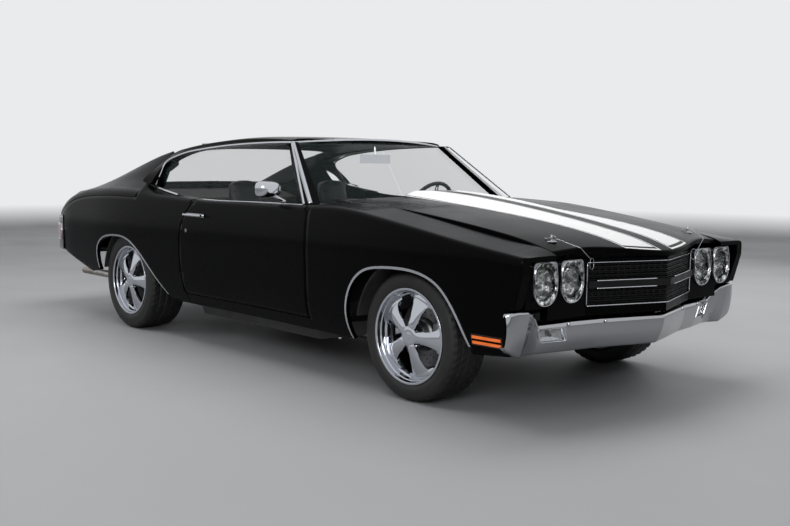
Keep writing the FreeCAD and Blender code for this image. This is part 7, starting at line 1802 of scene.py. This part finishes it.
def camera():
    """Camera at the photograph's place: azimuth, elevation and roll turn the view, and the lens is for a 36 mm
    sensor."""
    azimuth, elevation, roll = (math.radians(a) for a in (47.43, 5.667, 0.7224))
    back = Vector((math.sin(azimuth) * math.cos(elevation), -math.cos(azimuth) * math.cos(elevation),
                   math.sin(elevation)))
    right = Vector((math.cos(azimuth), math.sin(azimuth), 0))
    up = back.cross(right)
    c, s = math.cos(roll), math.sin(roll)
    turned, raised = right * c + up * s, up * c - right * s
    data = bpy.data.cameras.new("photo_camera")
    data.sensor_width = 36.0
    data.lens = 986.14 / 790 * 36
    view = bpy.data.objects.new("photo_camera", data)
    view.matrix_world = Matrix((
        (turned.x, raised.x, back.x, 5.0779), (turned.y, raised.y, back.y, -4.1694),
        (turned.z, raised.z, back.z, 1.1632), (0, 0, 0, 1),
    ))
    bpy.context.scene.collection.objects.link(view)
    bpy.context.scene.camera = view


# Add-on

class CarPaintSettings(bpy.types.PropertyGroup):
    """Colours and coat of the enamel"""
    paint: bpy.props.FloatVectorProperty(name="Paint", description="Colour of the body enamel", subtype="COLOR", size=3,
                                         default=OPTIONS["paint"], min=0, max=1)
    stripe: bpy.props.FloatVectorProperty(name="Stripe", description="Colour of the stripes", subtype="COLOR", size=3,
                                          default=OPTIONS["stripe"], min=0, max=1)
    coat: bpy.props.FloatProperty(name="Clear coat", description="Weight of the clear coat over the enamel",
                                  subtype="FACTOR", default=OPTIONS["coat"], min=0, max=1)


class CarTrimSettings(bpy.types.PropertyGroup):
    """Thickness of the added sheets"""
    skin: bpy.props.FloatProperty(name="Skin", description="Thickness of the painted skins", unit="LENGTH",
                                  default=OPTIONS["skin"], min=0.0005, max=0.004)


def paint_frame():
    """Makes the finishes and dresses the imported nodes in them."""
    make_materials()
    dress_nodes()


class CARBUILD_OT_paint(bpy.types.Operator):
    """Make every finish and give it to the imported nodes"""
    bl_idname = "carbuild.paint"
    bl_label = "Paint and Finishes"

    def execute(self, context):
        paint = context.scene.car_paint
        OPTIONS.update(paint=tuple(paint.paint), stripe=tuple(paint.stripe), coat=paint.coat,
                       skin=context.scene.car_trim.skin)
        paint_frame()
        return {"FINISHED"}


class CARBUILD_OT_stage(bpy.types.Operator):
    """Set the floor, the backdrop, the lamps and the camera"""
    bl_idname = "carbuild.stage"
    bl_label = "Stage and Camera"

    def execute(self, context):
        studio()
        camera()
        return {"FINISHED"}


class CARBUILD_OT_sides(bpy.types.Operator):
    """Lay the painted skins of the fenders, doors and quarters"""
    bl_idname = "carbuild.sides"
    bl_label = "Side Skins"

    def execute(self, context):
        fender_skins()
        door_skins()
        quarter_skins()
        return {"FINISHED"}


class CARBUILD_OT_tops(bpy.types.Operator):
    """Lay the painted skins of the hood, the roof and the trunk lid"""
    bl_idname = "carbuild.tops"
    bl_label = "Hood, Roof and Trunk Skins"

    def execute(self, context):
        hood_skin()
        roof_skin()
        deck_skin()
        return {"FINISHED"}


class CARBUILD_OT_mouldings(bpy.types.Operator):
    """Run the bright mouldings round the windows"""
    bl_idname = "carbuild.mouldings"
    bl_label = "Window Mouldings"

    def execute(self, context):
        window_trim()
        return {"FINISHED"}


class CARBUILD_OT_bumper(bpy.types.Operator):
    """Form the front bumper and its parking lamps"""
    bl_idname = "carbuild.bumper"
    bl_label = "Front Bumper"

    def execute(self, context):
        front_bumper()
        parking_lamps()
        return {"FINISHED"}


class CARBUILD_OT_lamps(bpy.types.Operator):
    """Build the four headlamps"""
    bl_idname = "carbuild.lamps"
    bl_label = "Headlamps"

    def execute(self, context):
        headlamps()
        return {"FINISHED"}


class CARBUILD_OT_grille(bpy.types.Operator):
    """Fill the grille and fit the hood pins with their cables"""
    bl_idname = "carbuild.grille"
    bl_label = "Grille and Pins"

    def execute(self, context):
        grille_bars()
        hood_pins()
        return {"FINISHED"}


class CARBUILD_OT_cowl(bpy.types.Operator):
    """Fit the cowl louvres, the wipers and the flap in the hood"""
    bl_idname = "carbuild.cowl"
    bl_label = "Cowl and Wipers"

    def execute(self, context):
        cowl_details()
        hood_flap()
        return {"FINISHED"}


class CARBUILD_OT_markers(bpy.types.Operator):
    """Rim the side markers and silver the door mirror"""
    bl_idname = "carbuild.markers"
    bl_label = "Markers and Mirror"

    def execute(self, context):
        marker_bezels()
        side_mirror()
        return {"FINISHED"}


class CARBUILD_OT_wheels(bpy.types.Operator):
    """Build the four wheels with their brakes and tyres"""
    bl_idname = "carbuild.wheels"
    bl_label = "Wheels and Tyres"

    def execute(self, context):
        wheels()
        return {"FINISHED"}


class CARBUILD_OT_tail(bpy.types.Operator):
    """Form the rear bumper and its lamps"""
    bl_idname = "carbuild.tail"
    bl_label = "Tail"

    def execute(self, context):
        rear_bumper()
        tail_lamps()
        return {"FINISHED"}


class CARBUILD_OT_cabin(bpy.types.Operator):
    """Pad the seats and fit the steering wheel and the gauges"""
    bl_idname = "carbuild.cabin"
    bl_label = "Cabin"

    def execute(self, context):
        seats()
        steering_wheel()
        dash_details()
        return {"FINISHED"}


STEPS = ("paint", "stage", "sides", "tops", "mouldings", "bumper", "lamps", "grille", "cowl", "markers", "wheels",
         "tail", "cabin")


class CARBUILD_PT_panel(bpy.types.Panel):
    """Steps that build the car, in order"""
    bl_idname = "CARBUILD_PT_panel"
    bl_label = "Muscle Car"
    bl_space_type = "VIEW_3D"
    bl_region_type = "UI"
    bl_category = "Car"

    def draw(self, context):
        column = self.layout.column(align=True)
        for group in (context.scene.car_paint, context.scene.car_trim):
            for field in group.bl_rna.properties:
                if field.identifier not in ("rna_type", "name"):
                    column.prop(group, field.identifier)
        for step in STEPS:
            column.operator("carbuild." + step)


CLASSES = (
    CarPaintSettings, CarTrimSettings, CARBUILD_OT_paint, CARBUILD_OT_stage, CARBUILD_OT_sides, CARBUILD_OT_tops,
    CARBUILD_OT_mouldings, CARBUILD_OT_bumper, CARBUILD_OT_lamps, CARBUILD_OT_grille, CARBUILD_OT_cowl,
    CARBUILD_OT_markers, CARBUILD_OT_wheels, CARBUILD_OT_tail, CARBUILD_OT_cabin, CARBUILD_PT_panel,
)


def register():
    """Registers the classes and hangs the settings on the scene."""
    for cls in CLASSES:
        bpy.utils.register_class(cls)
    bpy.types.Scene.car_paint = bpy.props.PointerProperty(type=CarPaintSettings)
    bpy.types.Scene.car_trim = bpy.props.PointerProperty(type=CarTrimSettings)


def unregister():
    """Takes the settings and the classes away again."""
    del bpy.types.Scene.car_trim
    del bpy.types.Scene.car_paint
    for cls in reversed(CLASSES):
        bpy.utils.unregister_class(cls)


def main():
    register()
    for step in STEPS:
        getattr(bpy.ops.carbuild, step)()


if __name__ == "__main__":
    main()
